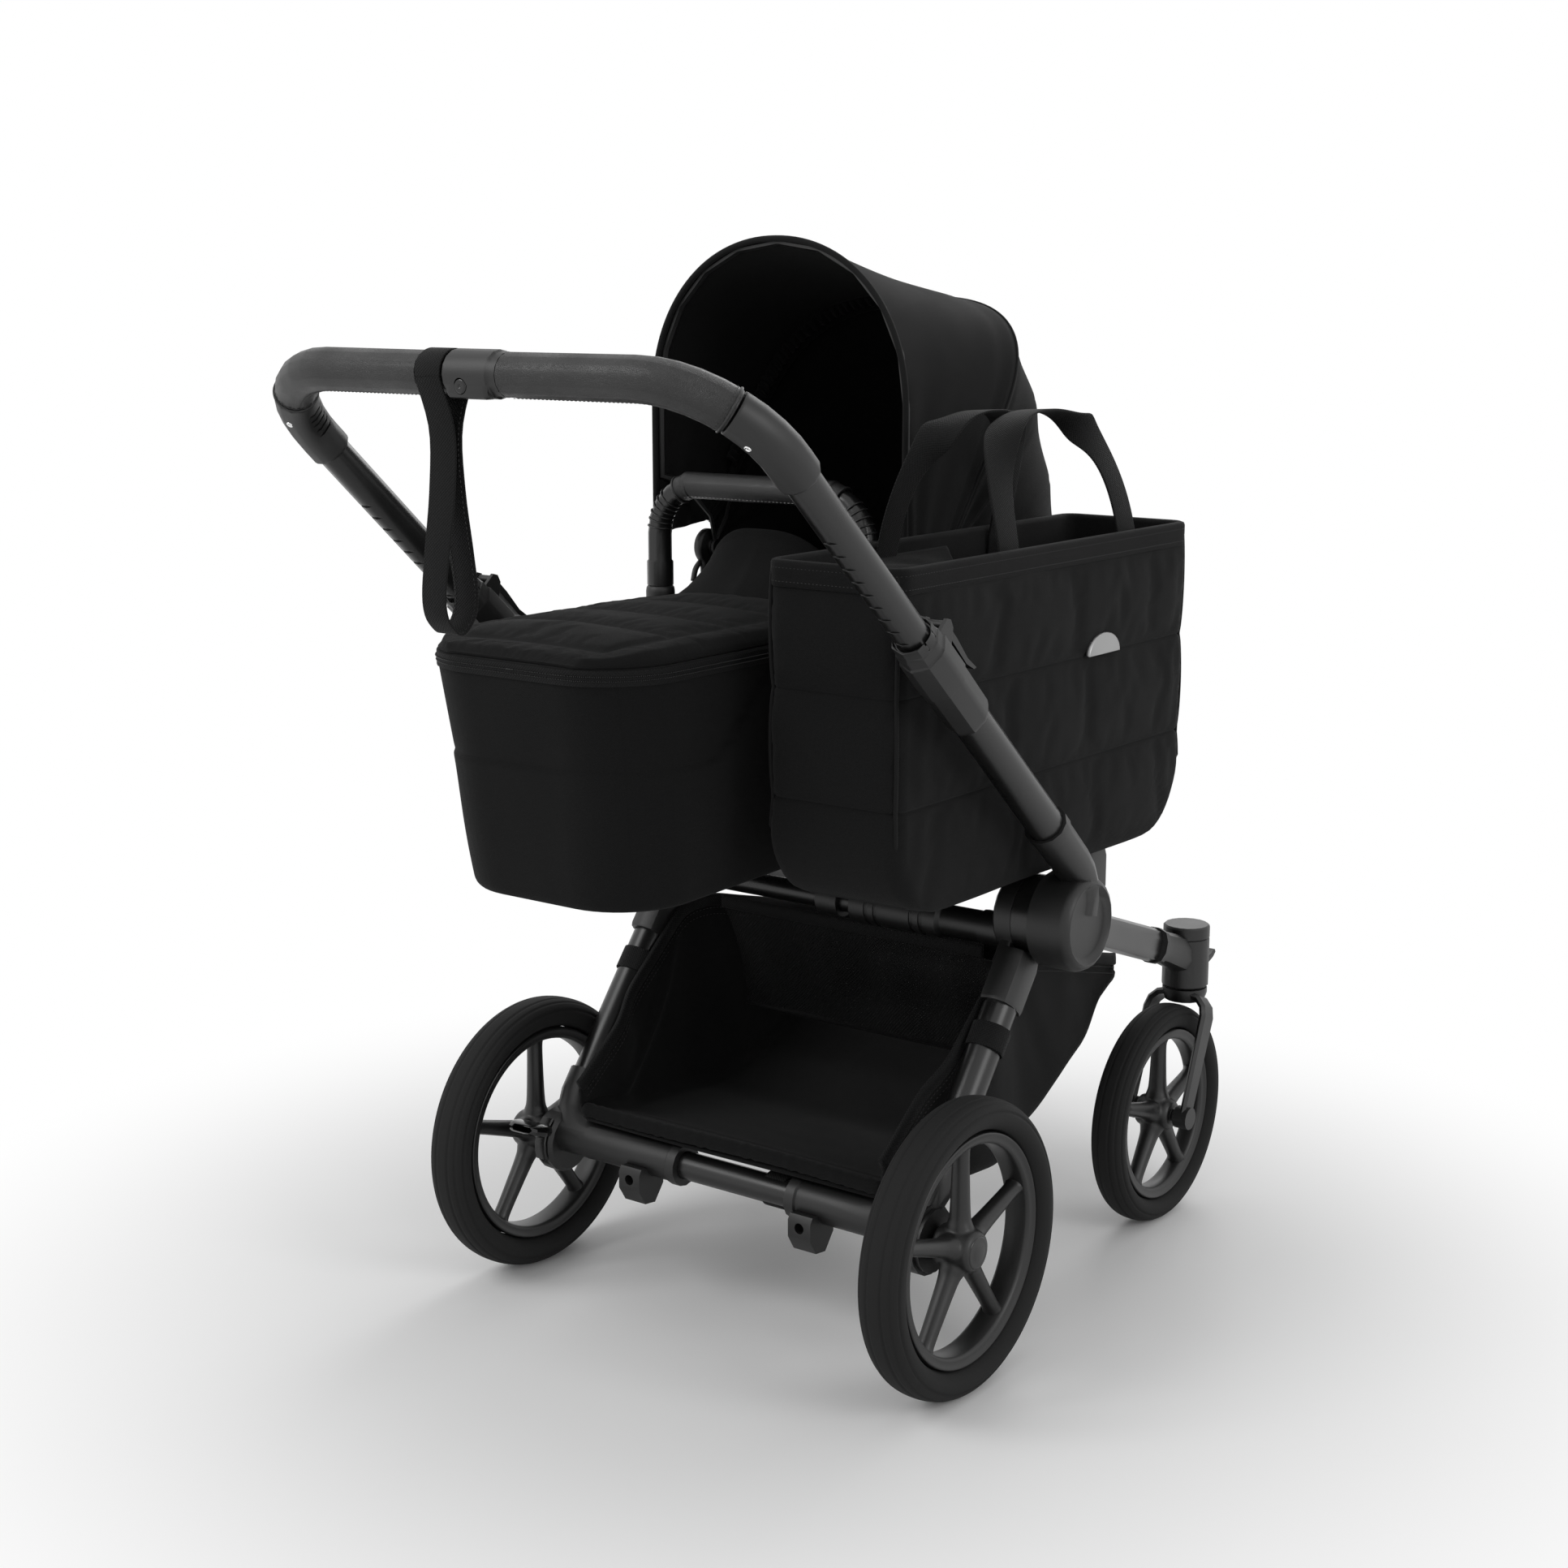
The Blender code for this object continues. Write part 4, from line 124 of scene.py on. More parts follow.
def map_range(tree, value, low, high, to_low=0.0, to_high=1.0):
    """Maps a value from one range to another, and holds it inside the new one."""
    return add(
        tree, "ShaderNodeMapRange", Value=value, From_Min=low, From_Max=high, To_Min=to_low, To_Max=to_high
    ).outputs[0]


def mix_colour(tree, share, first, second):
    """Mixes two colours by a share from 0 to 1."""
    return add(tree, "ShaderNodeMix", {"data_type": "RGBA"}, s0=share, s6=first, s7=second).outputs[2]


def grey(value, warmth=0.0):
    """A colour that is nearly neutral."""
    return (value * (1 + warmth), value, value * (1 - warmth), 1)


print("node helpers ready")

# %% Floor, backdrop and lamps
FLOOR_HALF = 9.0
FLOOR_GREY = 0.93
FADE_START, FADE_END = 0.40, 1.15


def backdrop_share(tree):
    """1 for the rays that see the backdrop: the camera's, and those off gloss or through glass."""
    path = tree.nodes.new("ShaderNodeLightPath")
    seen = maths(tree, "MAXIMUM", path.outputs["Is Camera Ray"], path.outputs["Is Glossy Ray"])
    return maths(tree, "MAXIMUM", seen, path.outputs["Is Transmission Ray"])


def make_floor():
    """A pale floor that fades into the white backdrop well outside the pram's shadow."""
    material = bpy.data.materials.new("studio_floor")
    material.use_nodes = True
    tree = material.node_tree
    tree.nodes.clear()
    place = add(tree, "ShaderNodeTexCoord").outputs["Object"]
    far = add(tree, "ShaderNodeVectorMath", {"operation": "LENGTH"}, s0=place).outputs["Value"]
    fade = add(
        tree, "ShaderNodeMapRange", {"interpolation_type": "SMOOTHSTEP"},
        Value=far, From_Min=FADE_START, From_Max=FADE_END,
    ).outputs[0]
    paint = add(tree, "ShaderNodeBsdfDiffuse", Color=grey(FLOOR_GREY), Roughness=0.0)
    white = add(tree, "ShaderNodeEmission", Color=grey(1.0), Strength=1.0)
    share = maths(tree, "MULTIPLY", fade, backdrop_share(tree))
    blend = add(tree, "ShaderNodeMixShader", Fac=share, s1=paint.outputs[0], s2=white.outputs[0])
    add(tree, "ShaderNodeOutputMaterial", Surface=blend.outputs[0])
    mesh = bpy.data.meshes.new("studio_floor")
    corners = [(x * FLOOR_HALF, y * FLOOR_HALF, 0) for x, y in ((-1, -1), (1, -1), (1, 1), (-1, 1))]
    mesh.from_pydata(corners, [], [(0, 1, 2, 3)])
    mesh.materials.append(material)
    floor = new_object("studio_floor", mesh)


def make_world(strength):
    """White all round: plain to the eye, softer as a light."""
    world = bpy.data.worlds.new("studio")
    world.use_nodes = True
    tree = world.node_tree
    tree.nodes.clear()
    level = map_range(tree, backdrop_share(tree), 0.0, 1.0, strength, 1.0)
    background = add(tree, "ShaderNodeBackground", Color=grey(1.0), Strength=level)
    add(tree, "ShaderNodeOutputWorld", Surface=background.outputs[0])
    bpy.context.scene.world = world


def make_lamp(name, at, size, power):
    """A square soft lamp that faces the pram's middle."""
    data = bpy.data.lights.new(name, "AREA")
    data.shape = "SQUARE"
    data.size = size
    data.energy = power
    lamp = new_object(name, data)
    lamp.location = at
    lamp.rotation_euler = (Vector((0, 0, 0.5)) - Vector(at)).to_track_quat("-Z", "Y").to_euler()


make_floor()
make_world(0.50)
make_lamp("key_lamp", (-1.6, -2.6, 2.9), 1.8, 38)
make_lamp("side_lamp", (3.2, -0.4, 1.9), 1.6, 26)
make_lamp("back_lamp", (-0.6, 3.2, 2.6), 2.0, 34)
bpy.context.scene.view_settings.view_transform = "Standard"
print("floor, world and three lamps")

# %% [markdown]
# Nothing on a pram has one flat colour. Moulded plastic has a fine grain, and its edges are
# painted lighter as a painted highlight and made a little glossier; cloth is threads that
# cross, their raised crossings painted lighter as painted shade; leather is a net of small
# cells with painted shade in its creases. Each such effect is a node group with named
# inputs, built once here and placed in every material that needs it with that material's
# own values. A group gives out colours, roughness and heights only, and the Principled
# shader stays in the material.

# %% Groups: helper
def new_group(name, numbers=(), colours=(), outputs=("Colour", "Roughness", "Height")):
    """A node group with a Place input, number inputs, colour inputs and its outputs."""
    tree = bpy.data.node_groups.new(name, "ShaderNodeTree")
    tree.interface.new_socket("Place", in_out="INPUT", socket_type="NodeSocketVector")
    for socket in colours:
        tree.interface.new_socket(socket, in_out="INPUT", socket_type="NodeSocketColor")
    for socket in numbers:
        tree.interface.new_socket(socket, in_out="INPUT", socket_type="NodeSocketFloat")
    for socket in outputs:
        kind = "NodeSocketColor" if socket == "Colour" else "NodeSocketFloat"
        tree.interface.new_socket(socket, in_out="OUTPUT", socket_type=kind)
    return tree, tree.nodes.new("NodeGroupInput").outputs, tree.nodes.new("NodeGroupOutput").inputs


def noise(tree, place, scale, detail=2.0, roughness=0.5):
    return add(
        tree, "ShaderNodeTexNoise", Vector=place, Scale=scale, Detail=detail, Roughness=roughness
    ).outputs["Fac"]


def give(tree, outputs, **values):
    for name, value in values.items():
        tree.links.new(value, outputs[name])


# %% Groups: moulded grain and painted edge highlights
def make_moulded_group():
    """Plastic or paint: a fine grain, broad variation of gloss, and a painted highlight that lightens the
    edges, which are made glossier too.
    """
    tree, given, out = new_group("moulded_grain", ("Grain", "Roughness", "Wear"), ("Colour", "Worn Colour"))
    fine = noise(tree, given["Place"], given["Grain"], 3.0, 0.6)
    broad = noise(tree, given["Place"], 9.0, 3.0)
    # The Bevel node finds the edges, and they are painted lighter in patches: a painted highlight.
    rounded = add(tree, "ShaderNodeBevel", {"samples": 4}, Radius=0.0011).outputs[0]
    facing = add(tree, "ShaderNodeNewGeometry").outputs["Normal"]
    agree = add(tree, "ShaderNodeVectorMath", {"operation": "DOT_PRODUCT"}, s0=rounded, s1=facing)
    turned_away = maths(tree, "SUBTRACT", 1.0, agree.outputs["Value"])
    edge = map_range(tree, turned_away, 0.015, 0.16)
    patchy = map_range(tree, noise(tree, given["Place"], 60.0, 4.0, 0.7), 0.38, 0.62)
    worn = maths(tree, "MULTIPLY", maths(tree, "MULTIPLY", edge, patchy), given["Wear"])
    shade = map_range(tree, broad, 0.3, 0.7, 0.86, 1.14)
    base = add(tree, "ShaderNodeVectorMath", {"operation": "SCALE"}, s0=given["Colour"], Scale=shade)
    colour = mix_colour(tree, worn, base.outputs[0], given["Worn Colour"])
    swing = map_range(tree, broad, 0.3, 0.7, -0.05, 0.05)
    speckle = map_range(tree, fine, 0.2, 0.8, -0.03, 0.03)
    rough = maths(tree, "ADD", maths(tree, "ADD", given["Roughness"], swing), speckle)
    rough = maths(tree, "SUBTRACT", rough, maths(tree, "MULTIPLY", worn, 0.10), clamp=True)
    give(tree, out, Colour=colour, Roughness=rough, Height=fine)
    return tree


moulded_group = make_moulded_group()
print("moulded_grain:", len(moulded_group.nodes), "nodes")


# %% Groups: woven cloth
def make_weave_group():
    """Plain weave in metres of the piece's own UV map: threads over and under, with the raised crossings
    painted lighter as painted shade, and slubs.
    """
    tree, given, out = new_group(
        "woven_cloth", ("Threads", "Slub", "Roughness"), ("Dark Colour", "Light Colour")
    )
    parts = add(tree, "ShaderNodeSeparateXYZ", Vector=given["Place"]).outputs
    half_turns = maths(tree, "MULTIPLY", given["Threads"], pi)
    across = maths(tree, "SINE", maths(tree, "MULTIPLY", parts[0], half_turns))
    along = maths(tree, "SINE", maths(tree, "MULTIPLY", parts[1], half_turns))
    over = maths(tree, "MULTIPLY", across, along)
    slub_scale = maths(tree, "MULTIPLY", given["Threads"], 0.45)
    slub = noise(tree, given["Place"], slub_scale, 2.0, 0.6)
    cloud = noise(tree, given["Place"], 14.0, 4.0, 0.55)
    lift = maths(tree, "MULTIPLY", maths(tree, "SUBTRACT", slub, 0.5), given["Slub"])
    drift = map_range(tree, cloud, 0.3, 0.7, -0.16, 0.16)
    # Where the threads stand up they are painted lighter, and where they sink darker: painted shade of the
    # weave's relief. Slubs and cloud vary the yarn's own tone.
    share = maths(tree, "ADD", maths(tree, "MULTIPLY_ADD", over, 0.25, 0.42), maths(tree, "ADD", lift, drift))
    share = maths(tree, "ADD", share, 0.0, clamp=True)
    colour = mix_colour(tree, share, given["Dark Colour"], given["Light Colour"])
    rough = maths(tree, "ADD", given["Roughness"], map_range(tree, cloud, 0.3, 0.7, -0.05, 0.05), clamp=True)
    height = maths(tree, "MULTIPLY_ADD", over, 0.5, maths(tree, "MULTIPLY", slub, 0.8))
    give(tree, out, Colour=colour, Roughness=rough, Height=height)
    return tree


weave_group = make_weave_group()
print("woven_cloth:", len(weave_group.nodes), "nodes")


# %% Groups: leather and net
def make_leather_group():
    """Pebbled leather: cells a millimetre across with painted shade darkening their creases, and a
    hand-polished sheen.
    """
    tree, given, out = new_group("leather_grain", ("Cells", "Roughness"), ("Crease Colour", "Colour"))
    bent = noise(tree, given["Place"], 180.0, 2.0)
    warp = maths(tree, "MULTIPLY", bent, 0.0016)
    place = add(tree, "ShaderNodeVectorMath", {"operation": "ADD"}, s0=given["Place"], s1=warp).outputs[0]
    cells = add(
        tree, "ShaderNodeTexVoronoi", {"feature": "DISTANCE_TO_EDGE"}, Vector=place, Scale=given["Cells"]
    ).outputs["Distance"]
    pebble = map_range(tree, cells, 0.0, 0.16)
    rubbed = noise(tree, given["Place"], 22.0, 3.0)
    # The creases between the cells are painted darker: painted shade.
    colour = mix_colour(tree, pebble, given["Crease Colour"], given["Colour"])
    rough = maths(tree, "ADD", given["Roughness"], map_range(tree, rubbed, 0.3, 0.7, -0.09, 0.09))
    rough = maths(tree, "MULTIPLY_ADD", pebble, -0.08, rough)
    give(tree, out, Colour=colour, Roughness=rough, Height=pebble)
    return tree


def make_net_group():
    """Knitted net: round holes on a slanted lattice, in metres of the UV map."""
    tree, given, out = new_group("knitted_net", ("Pitch",), (), ("Alpha", "Height"))
    parts = add(tree, "ShaderNodeSeparateXYZ", Vector=given["Place"]).outputs
    turns = maths(tree, "DIVIDE", 2 * pi, given["Pitch"])
    first = maths(tree, "MULTIPLY", maths(tree, "ADD", parts[0], parts[1]), turns)
    second = maths(tree, "MULTIPLY", maths(tree, "SUBTRACT", parts[0], parts[1]), turns)
    lattice = maths(tree, "ADD", maths(tree, "COSINE", first), maths(tree, "COSINE", second))
    alpha = map_range(tree, lattice, 0.45, 0.95, 1.0, 0.0)
    give(tree, out, Alpha=alpha, Height=maths(tree, "MULTIPLY", lattice, -0.5))
    return tree


leather_group = make_leather_group()
net_group = make_net_group()
print("leather_grain:", len(leather_group.nodes), "nodes; knitted_net:", len(net_group.nodes), "nodes")

# %% [markdown]
# A finish is one material: a group placed with its own values, feeding a Principled shader.
# Numbers that are the same all over, such as sheen or coat, are set on the shader's own
# socket. Carried nodes and turned pieces read Object coordinates, because they sit at the
# origin with their place in the mesh. Sewn pieces read their UV map, which is in metres,
# so the threads follow the cloth round every bend.

# %% Finishes: one builder for each family
def new_finish(name, source, group, bump, height_scale, values, shader_values):
    """A material: coordinates, a placed group, a Bump node and the Principled shader."""
    material = bpy.data.materials.new(name)
    material.use_nodes = True
    tree = material.node_tree
    shader = tree.nodes["Principled BSDF"]
    place = add(tree, "ShaderNodeTexCoord").outputs[source]
    placed = add(tree, "ShaderNodeGroup", {"node_tree": group}, Place=place, **values)
    for output, socket in (("Colour", "Base Color"), ("Roughness", "Roughness"), ("Alpha", "Alpha")):
        if output in placed.outputs:
            tree.links.new(placed.outputs[output], shader.inputs[socket])
    if bump:
        relief = add(
            tree, "ShaderNodeBump", Strength=bump, Distance=height_scale, Height=placed.outputs["Height"]
        )
        tree.links.new(relief.outputs[0], shader.inputs["Normal"])
    for socket, value in shader_values.items():
        shader.inputs[socket.replace("_", " ")].default_value = value
    return material


# The edge settings paint a lighter colour along the edges: a painted highlight.
def moulded(name, colour, roughness, grain=900.0, wear=0.5, bump=0.25, worn=None, **shader_values):
    values = {
        "Colour": grey(colour), "Worn_Colour": grey(worn or colour * 3.2, 0.01),
        "Grain": grain, "Roughness": roughness, "Wear": wear,
    }
    return new_finish(name, "Object", moulded_group, bump, 0.00025, values, shader_values)


def woven(name, dark, light, threads, slub=1.2, roughness=0.88, bump=0.55, depth=0.0004, **shader_values):
    values = {
        "Dark_Colour": grey(dark), "Light_Colour": grey(light, -0.02),
        "Threads": threads, "Slub": slub, "Roughness": roughness,
    }
    soft = {"Sheen_Weight": 0.035, "Sheen_Roughness": 0.45, "Specular_IOR_Level": 0.16}
    return new_finish(name, "UV", weave_group, bump, depth, values, soft | shader_values)


def leather(name, source, colour, roughness, cells, bump=0.6):
    values = {
        "Colour": grey(colour), "Crease_Colour": grey(colour * 0.35), "Cells": cells, "Roughness": roughness,
    }
    return new_finish(name, source, leather_group, bump, 0.0003, values, {"Coat_Weight": 0.05})


print("finish builders ready")

# %% Finishes: the pram's materials
black_paint = moulded("satin_black_paint", 0.0065, 0.33, grain=1400.0, wear=0.35, bump=0.08)
black_tube = moulded("anodised_black_tube", 0.0068, 0.30, grain=2200.0, wear=0.30, bump=0.05)
black_plastic = moulded("moulded_black_plastic", 0.0070, 0.46, grain=1500.0, wear=0.55, bump=0.30)
rim_plastic = moulded("wheel_rim_plastic", 0.0075, 0.42, grain=1300.0, wear=0.60, bump=0.22)
gloss_plastic = moulded("gloss_black_plastic", 0.0045, 0.10, grain=500.0, wear=0.2, bump=0.02)
tyre_rubber = moulded(
    "tyre_rubber", 0.012, 0.80, grain=700.0, wear=0.35, bump=0.45, worn=0.026, Specular_IOR_Level=0.25
)
bright_metal = moulded(
    "polished_rivet_metal", 0.80, 0.17, grain=1800.0, wear=0.0, bump=0.04, worn=0.8, Metallic=1.0
)
dark_metal = moulded(
    "brushed_badge_metal", 0.30, 0.34, grain=2400.0, wear=0.0, bump=0.10, worn=0.3, Metallic=1.0
)
grip_leather = leather("stitched_grip_leather", "Object", 0.0065, 0.46, 760.0)
canvas = woven("black_canvas", 0.0020, 0.0075, 1300.0)
quilted_canvas = woven("quilted_bag_canvas", 0.0022, 0.0080, 1250.0)
lining = woven("cot_lining_cotton", 0.008, 0.018, 900.0, slub=0.7, roughness=0.95)
webbing = woven("ribbed_webbing", 0.0026, 0.0095, 620.0, slub=0.6, roughness=0.74, bump=0.8, depth=0.0006)
piping = woven("edge_piping", 0.0028, 0.0095, 1000.0, slub=0.5, roughness=0.78)
print(len(bpy.data.materials), "materials so far")

# %% [markdown]
# The frame's nodes arrive as loose flat triangles. A small Geometry Nodes tree welds them
# and shades them smooth, planar faces are dissolved back into whole faces, and a bevel under
# a millimetre wide gives every corner the bright line that a moulded or turned edge has.

# %% Carried nodes: weld, smooth and bevel
def new_geometry_tree(name, inputs):
    """A Geometry Nodes tree with typed inputs, ready for its nodes. Returns tree, inputs and output."""
    tree = bpy.data.node_groups.new(name, "GeometryNodeTree")
    tree.interface.new_socket("Geometry", in_out="INPUT", socket_type="NodeSocketGeometry")
    for socket, kind in inputs:
        tree.interface.new_socket(socket, in_out="INPUT", socket_type=f"NodeSocket{kind}")
    tree.interface.new_socket("Geometry", in_out="OUTPUT", socket_type="NodeSocketGeometry")
    return tree, tree.nodes.new("NodeGroupInput").outputs, tree.nodes.new("NodeGroupOutput").inputs[0]


def make_weld_tree():
    tree, given, result = new_geometry_tree("weld_and_smooth", (("Distance", "Float"),))
    welded = add(tree, "GeometryNodeMergeByDistance", Geometry=given["Geometry"], Distance=given["Distance"])
    plain = add(tree, "GeometryNodeRemoveAttribute", Geometry=welded.outputs[0], Name="custom_normal")
    smooth = add(tree, "GeometryNodeSetShadeSmooth", Geometry=plain.outputs[0])
    tree.links.new(smooth.outputs[0], result)
    return tree


def set_input(modifier, name, value):
    """Sets a modifier's input by its socket's identifier."""
    for item in modifier.node_group.interface.items_tree:
        if item.item_type == "SOCKET" and item.in_out == "INPUT" and item.name == name:
            modifier[item.identifier] = value


weld_tree = make_weld_tree()
EDGE_BEVEL, EDGE_CORNER = 0.0008, 41.0


def finish_node(name, material):
    """Dresses a carried node: welded, smooth, bevelled where it turns by more than EDGE_CORNER degrees."""
    node = nodes[name]
    node.data.materials.clear()
    node.data.materials.append(material)
    weld = node.modifiers.new("weld", "NODES")
    weld.node_group = weld_tree
    set_input(weld, "Distance", 0.00002)
    flat = node.modifiers.new("flat_faces", "DECIMATE")
    flat.decimate_type = "DISSOLVE"
    flat.angle_limit = radians(0.8)
    edge = node.modifiers.new("edge", "BEVEL")
    edge.width = EDGE_BEVEL
    edge.segments = 2
    edge.limit_method = "ANGLE"
    edge.angle_limit = radians(EDGE_CORNER)
    edge.miter_outer = "MITER_ARC"
    normals = node.modifiers.new("normals", "WEIGHTED_NORMAL")
    normals.keep_sharp = True


SIDES = ("left", "right")
paired = {
    "rear_leg": black_tube, "hub_housing": black_plastic, "brake_drum": black_plastic,
    "handle_arm": black_plastic, "handle_tube": black_tube, "clamp_collar": black_plastic,
    "clamp_lever": black_plastic, "inner_tube": black_tube, "elbow": black_plastic,
    "front_leg": black_tube, "front_head": black_plastic, "swivel_tab": black_plastic,
    "fork": black_plastic, "adapter": black_plastic,
}
single = {
    "axle_inner_tube": black_tube, "cross_tube": black_tube, "cross_sleeve": black_plastic,
    "adapter_middle": black_plastic, "bar_clamp": black_plastic, "bar_button": gloss_plastic,
    "brake_pedal": gloss_plastic, "canopy_front_hoop": black_plastic, "canopy_second_hoop": black_plastic,
}
for part, material in paired.items():
    for side in SIDES:
        finish_node(f"{part}_{side}", material)
for part, material in single.items():
    finish_node(part, material)
print(2 * len(paired) + len(single), "carried nodes finished")

# %% [markdown]
# Pieces made here start as plain lists of points. One helper turns rings of points into a
# skin with a UV map measured in metres, because cloth has to know its own length, and one
# more sweeps a section along a path. Points are given with y from the rear axle.

# %% Mesh helpers
def piece(name, verts, faces, uvs, material, body=None):
    """Makes a smooth object from points and faces, with uvs as one pair for each point of each face."""
    mesh = bpy.data.meshes.new(name)
    mesh.from_pydata([(x, y + AXLE_Y, z) for x, y, z in verts], [], faces)
    layer = mesh.uv_layers.new(name="metres")
    layer.data.foreach_set("uv", np.array(uvs, dtype=np.float32).ravel())
    mesh.materials.append(material)
    mesh.polygons.foreach_set("use_smooth", [True] * len(mesh.polygons))
    mesh.update()
    obj = new_object(name, mesh)
    if body:
        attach(obj, body)
    return obj


def lengths_along(points, closed=False):
    """The distance along a line of points to each of them, and round to the first if it is closed."""
    points = np.array(points, float)
    if closed:
        points = np.vstack([points, points[:1]])
    steps = np.linalg.norm(np.diff(points, axis=0), axis=1)
    return np.concatenate([[0.0], np.cumsum(steps)])


def length_of(points, closed=False):
    return float(lengths_along(points, closed)[-1])


def skin(name, rings, material, body=None, around=False, along=False, caps=False):
    """Skins rings of equally many points. around closes each ring, along joins the last to the first."""
    rings = [[Vector(point) for point in ring] for ring in rings]
    rows, columns = len(rings), len(rings[0])
    verts = [point for ring in rings for point in ring]
    widest = max(range(rows), key=lambda i: lengths_along(rings[i], around)[-1])
    u_at = lengths_along(rings[widest], around)
    v_at = lengths_along([sum(ring, Vector()) / columns for ring in rings], along)
    spine = max(range(columns), key=lambda j: lengths_along([ring[j] for ring in rings], along)[-1])
    v_at = np.maximum(v_at, lengths_along([ring[spine] for ring in rings], along))
    faces, uvs = [], []
    for i in range(rows if along else rows - 1):
        for j in range(columns if around else columns - 1):
            k, n = (j + 1) % columns, (i + 1) % rows
            faces.append((i * columns + j, i * columns + k, n * columns + k, n * columns + j))
            corners = ((j, i), (j + 1, i), (j + 1, i + 1), (j, i + 1))
            uvs += [(u_at[a], v_at[b]) for a, b in corners]
    if caps:
        for i, order in ((0, reversed(range(columns))), (rows - 1, range(columns))):
            loop = [i * columns + j for j in order]
            faces.append(tuple(loop))
            uvs += [(verts[v].x + verts[v].y, verts[v].z) for v in loop]
    obj = piece(name, verts, faces, uvs, material)
    face_out(obj)
    if body:
        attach(obj, body)
    return obj


def face_out(obj):
    """Turns a closed mesh's faces outwards."""
    bm = bmesh.new()
    bm.from_mesh(obj.data)
    bmesh.ops.recalc_face_normals(bm, faces=bm.faces[:])
    if all(edge.is_manifold for edge in bm.edges) and bm.calc_volume(signed=True) < 0:
        bmesh.ops.reverse_faces(bm, faces=bm.faces[:])
    bm.to_mesh(obj.data)
    bm.free()


def smooth_walk(values, count, closed=False):
    """Evenly many steps on a smooth curve through a few vectors or arrays (Catmull-Rom)."""
    total = len(values)
    spans = total if closed else total - 1
    steps = []
    for i in range(count):
        t = spans * i / (count if closed else count - 1)
        k = min(int(t), spans - 1)
        f = t - k
        if closed:
            a, b, c, d = (values[(k + m) % total] for m in (-1, 0, 1, 2))
        else:
            b, c = values[k], values[k + 1]
            a = values[k - 1] if k > 0 else b * 2 - c
            d = values[k + 2] if k + 2 < total else c * 2 - b
        bend = (2 * a - 5 * b + 4 * c - d) * f * f
        steps.append(0.5 * (2 * b + (c - a) * f + bend + (3 * b - a - 3 * c + d) * f**3))
    return steps


def smooth_line(points, count, closed=False):
    return smooth_walk([Vector(point) for point in points], count, closed)


def tangent_at(path, i, closed=False):
    """The direction of a path at its point i."""
    before = path[i - 1] if closed or i > 0 else path[i]
    after = path[(i + 1) % len(path)] if closed or i < len(path) - 1 else path[i]
    return (after - before).normalized()


def frames_along(path, side, closed=False):
    """Point, across and up for each point of a path, turning as little as it can."""
    path = [Vector(point) for point in path]
    side = Vector(side)
    result = []
    for i, point in enumerate(path):
        tangent = tangent_at(path, i, closed)
        side = (side - tangent * side.dot(tangent)).normalized()
        result.append((point, side, tangent.cross(side)))
    return result


def sweep(name, path, section, material, body=None, side=(1, 0, 0), scales=None, closed=False):
    """Carries a closed section of (across, up) points along a path."""
    rings = []
    for i, (point, across, up) in enumerate(frames_along(path, side, closed)):
        scale = scales[i] if scales else 1.0
        rings.append([point + (across * a + up * b) * scale for a, b in section])
    return skin(name, rings, material, body, around=True, along=closed, caps=not closed)


def round_section(radius, sides=16, flat=1.0):
    angles = [2 * pi * i / sides for i in range(sides)]
    return [(radius * cos(angle), radius * flat * sin(angle)) for angle in angles]


def strap_section(width, thick):
    """A flat band with softened edges."""
    w, t = width / 2, thick / 2
    e = min(t * 0.9, 0.4 * width)
    return [(w, 0), (w - e * 0.3, t * 0.8), (w - e, t), (0, t), (e - w, t), (e * 0.3 - w, t * 0.8),
            (-w, 0), (e * 0.3 - w, -t * 0.8), (e - w, -t), (0, -t), (w - e, -t), (w - e * 0.3, -t * 0.8)]


def band(name, path, wide, width, thick, material, body, closed=False):
    """A flat strap along a path, with its width kept along a given direction."""
    rings = []
    for i, point in enumerate(path):
        tangent = tangent_at(path, i, closed)
        across = (wide[i] - tangent * wide[i].dot(tangent)).normalized()
        up = tangent.cross(across)
        rings.append([point + across * a + up * b for a, b in strap_section(width, thick)])
    return skin(name, rings, material, body, around=True, along=closed, caps=not closed)


def turned(name, profile, centre, axis, material, body=None, steps=48):
    """Turns a profile of (radius, height) points about an axis through centre."""
    turn = Vector((0, 0, 1)).rotation_difference(Vector(axis))
    rings = []
    for i in range(steps):
        angle = 2 * pi * i / steps
        spoke = Vector((cos(angle), sin(angle), 0))
        rings.append([Vector(centre) + turn @ (spoke * max(r, 1e-5) + Vector((0, 0, h))) for r, h in profile])
    obj = skin(name, rings, material, None, around=False, along=True)
    weld(obj)
    if body:
        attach(obj, body)
    return obj


def weld(obj, distance=0.00004):
    """Merges points that lie on each other, such as at a turned piece's poles, and faces it outwards."""
    bm = bmesh.new()
    bm.from_mesh(obj.data)
    bmesh.ops.remove_doubles(bm, verts=bm.verts[:], dist=distance)
    bmesh.ops.dissolve_degenerate(bm, edges=bm.edges[:], dist=distance / 4)
    bm.to_mesh(obj.data)
    bm.free()
    face_out(obj)


def join(name, parts, body):
    """Joins pieces that ride together and share a material into one."""
    bm = bmesh.new()
    for part in parts:
        bm.from_mesh(part.data)
    mesh = bpy.data.meshes.new(name)
    bm.to_mesh(mesh)
    bm.free()
    mesh.materials.append(parts[0].data.materials[0])
    for part in parts:
        bpy.data.objects.remove(part)
    obj = new_object(name, mesh)
    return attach(obj, body)


def subdivide(obj):
    """A live Subdivision Surface, with one level in the render too."""
    modifier = obj.modifiers.new("subdivision", "SUBSURF")
    modifier.levels = 1
    modifier.render_levels = 1
    return obj


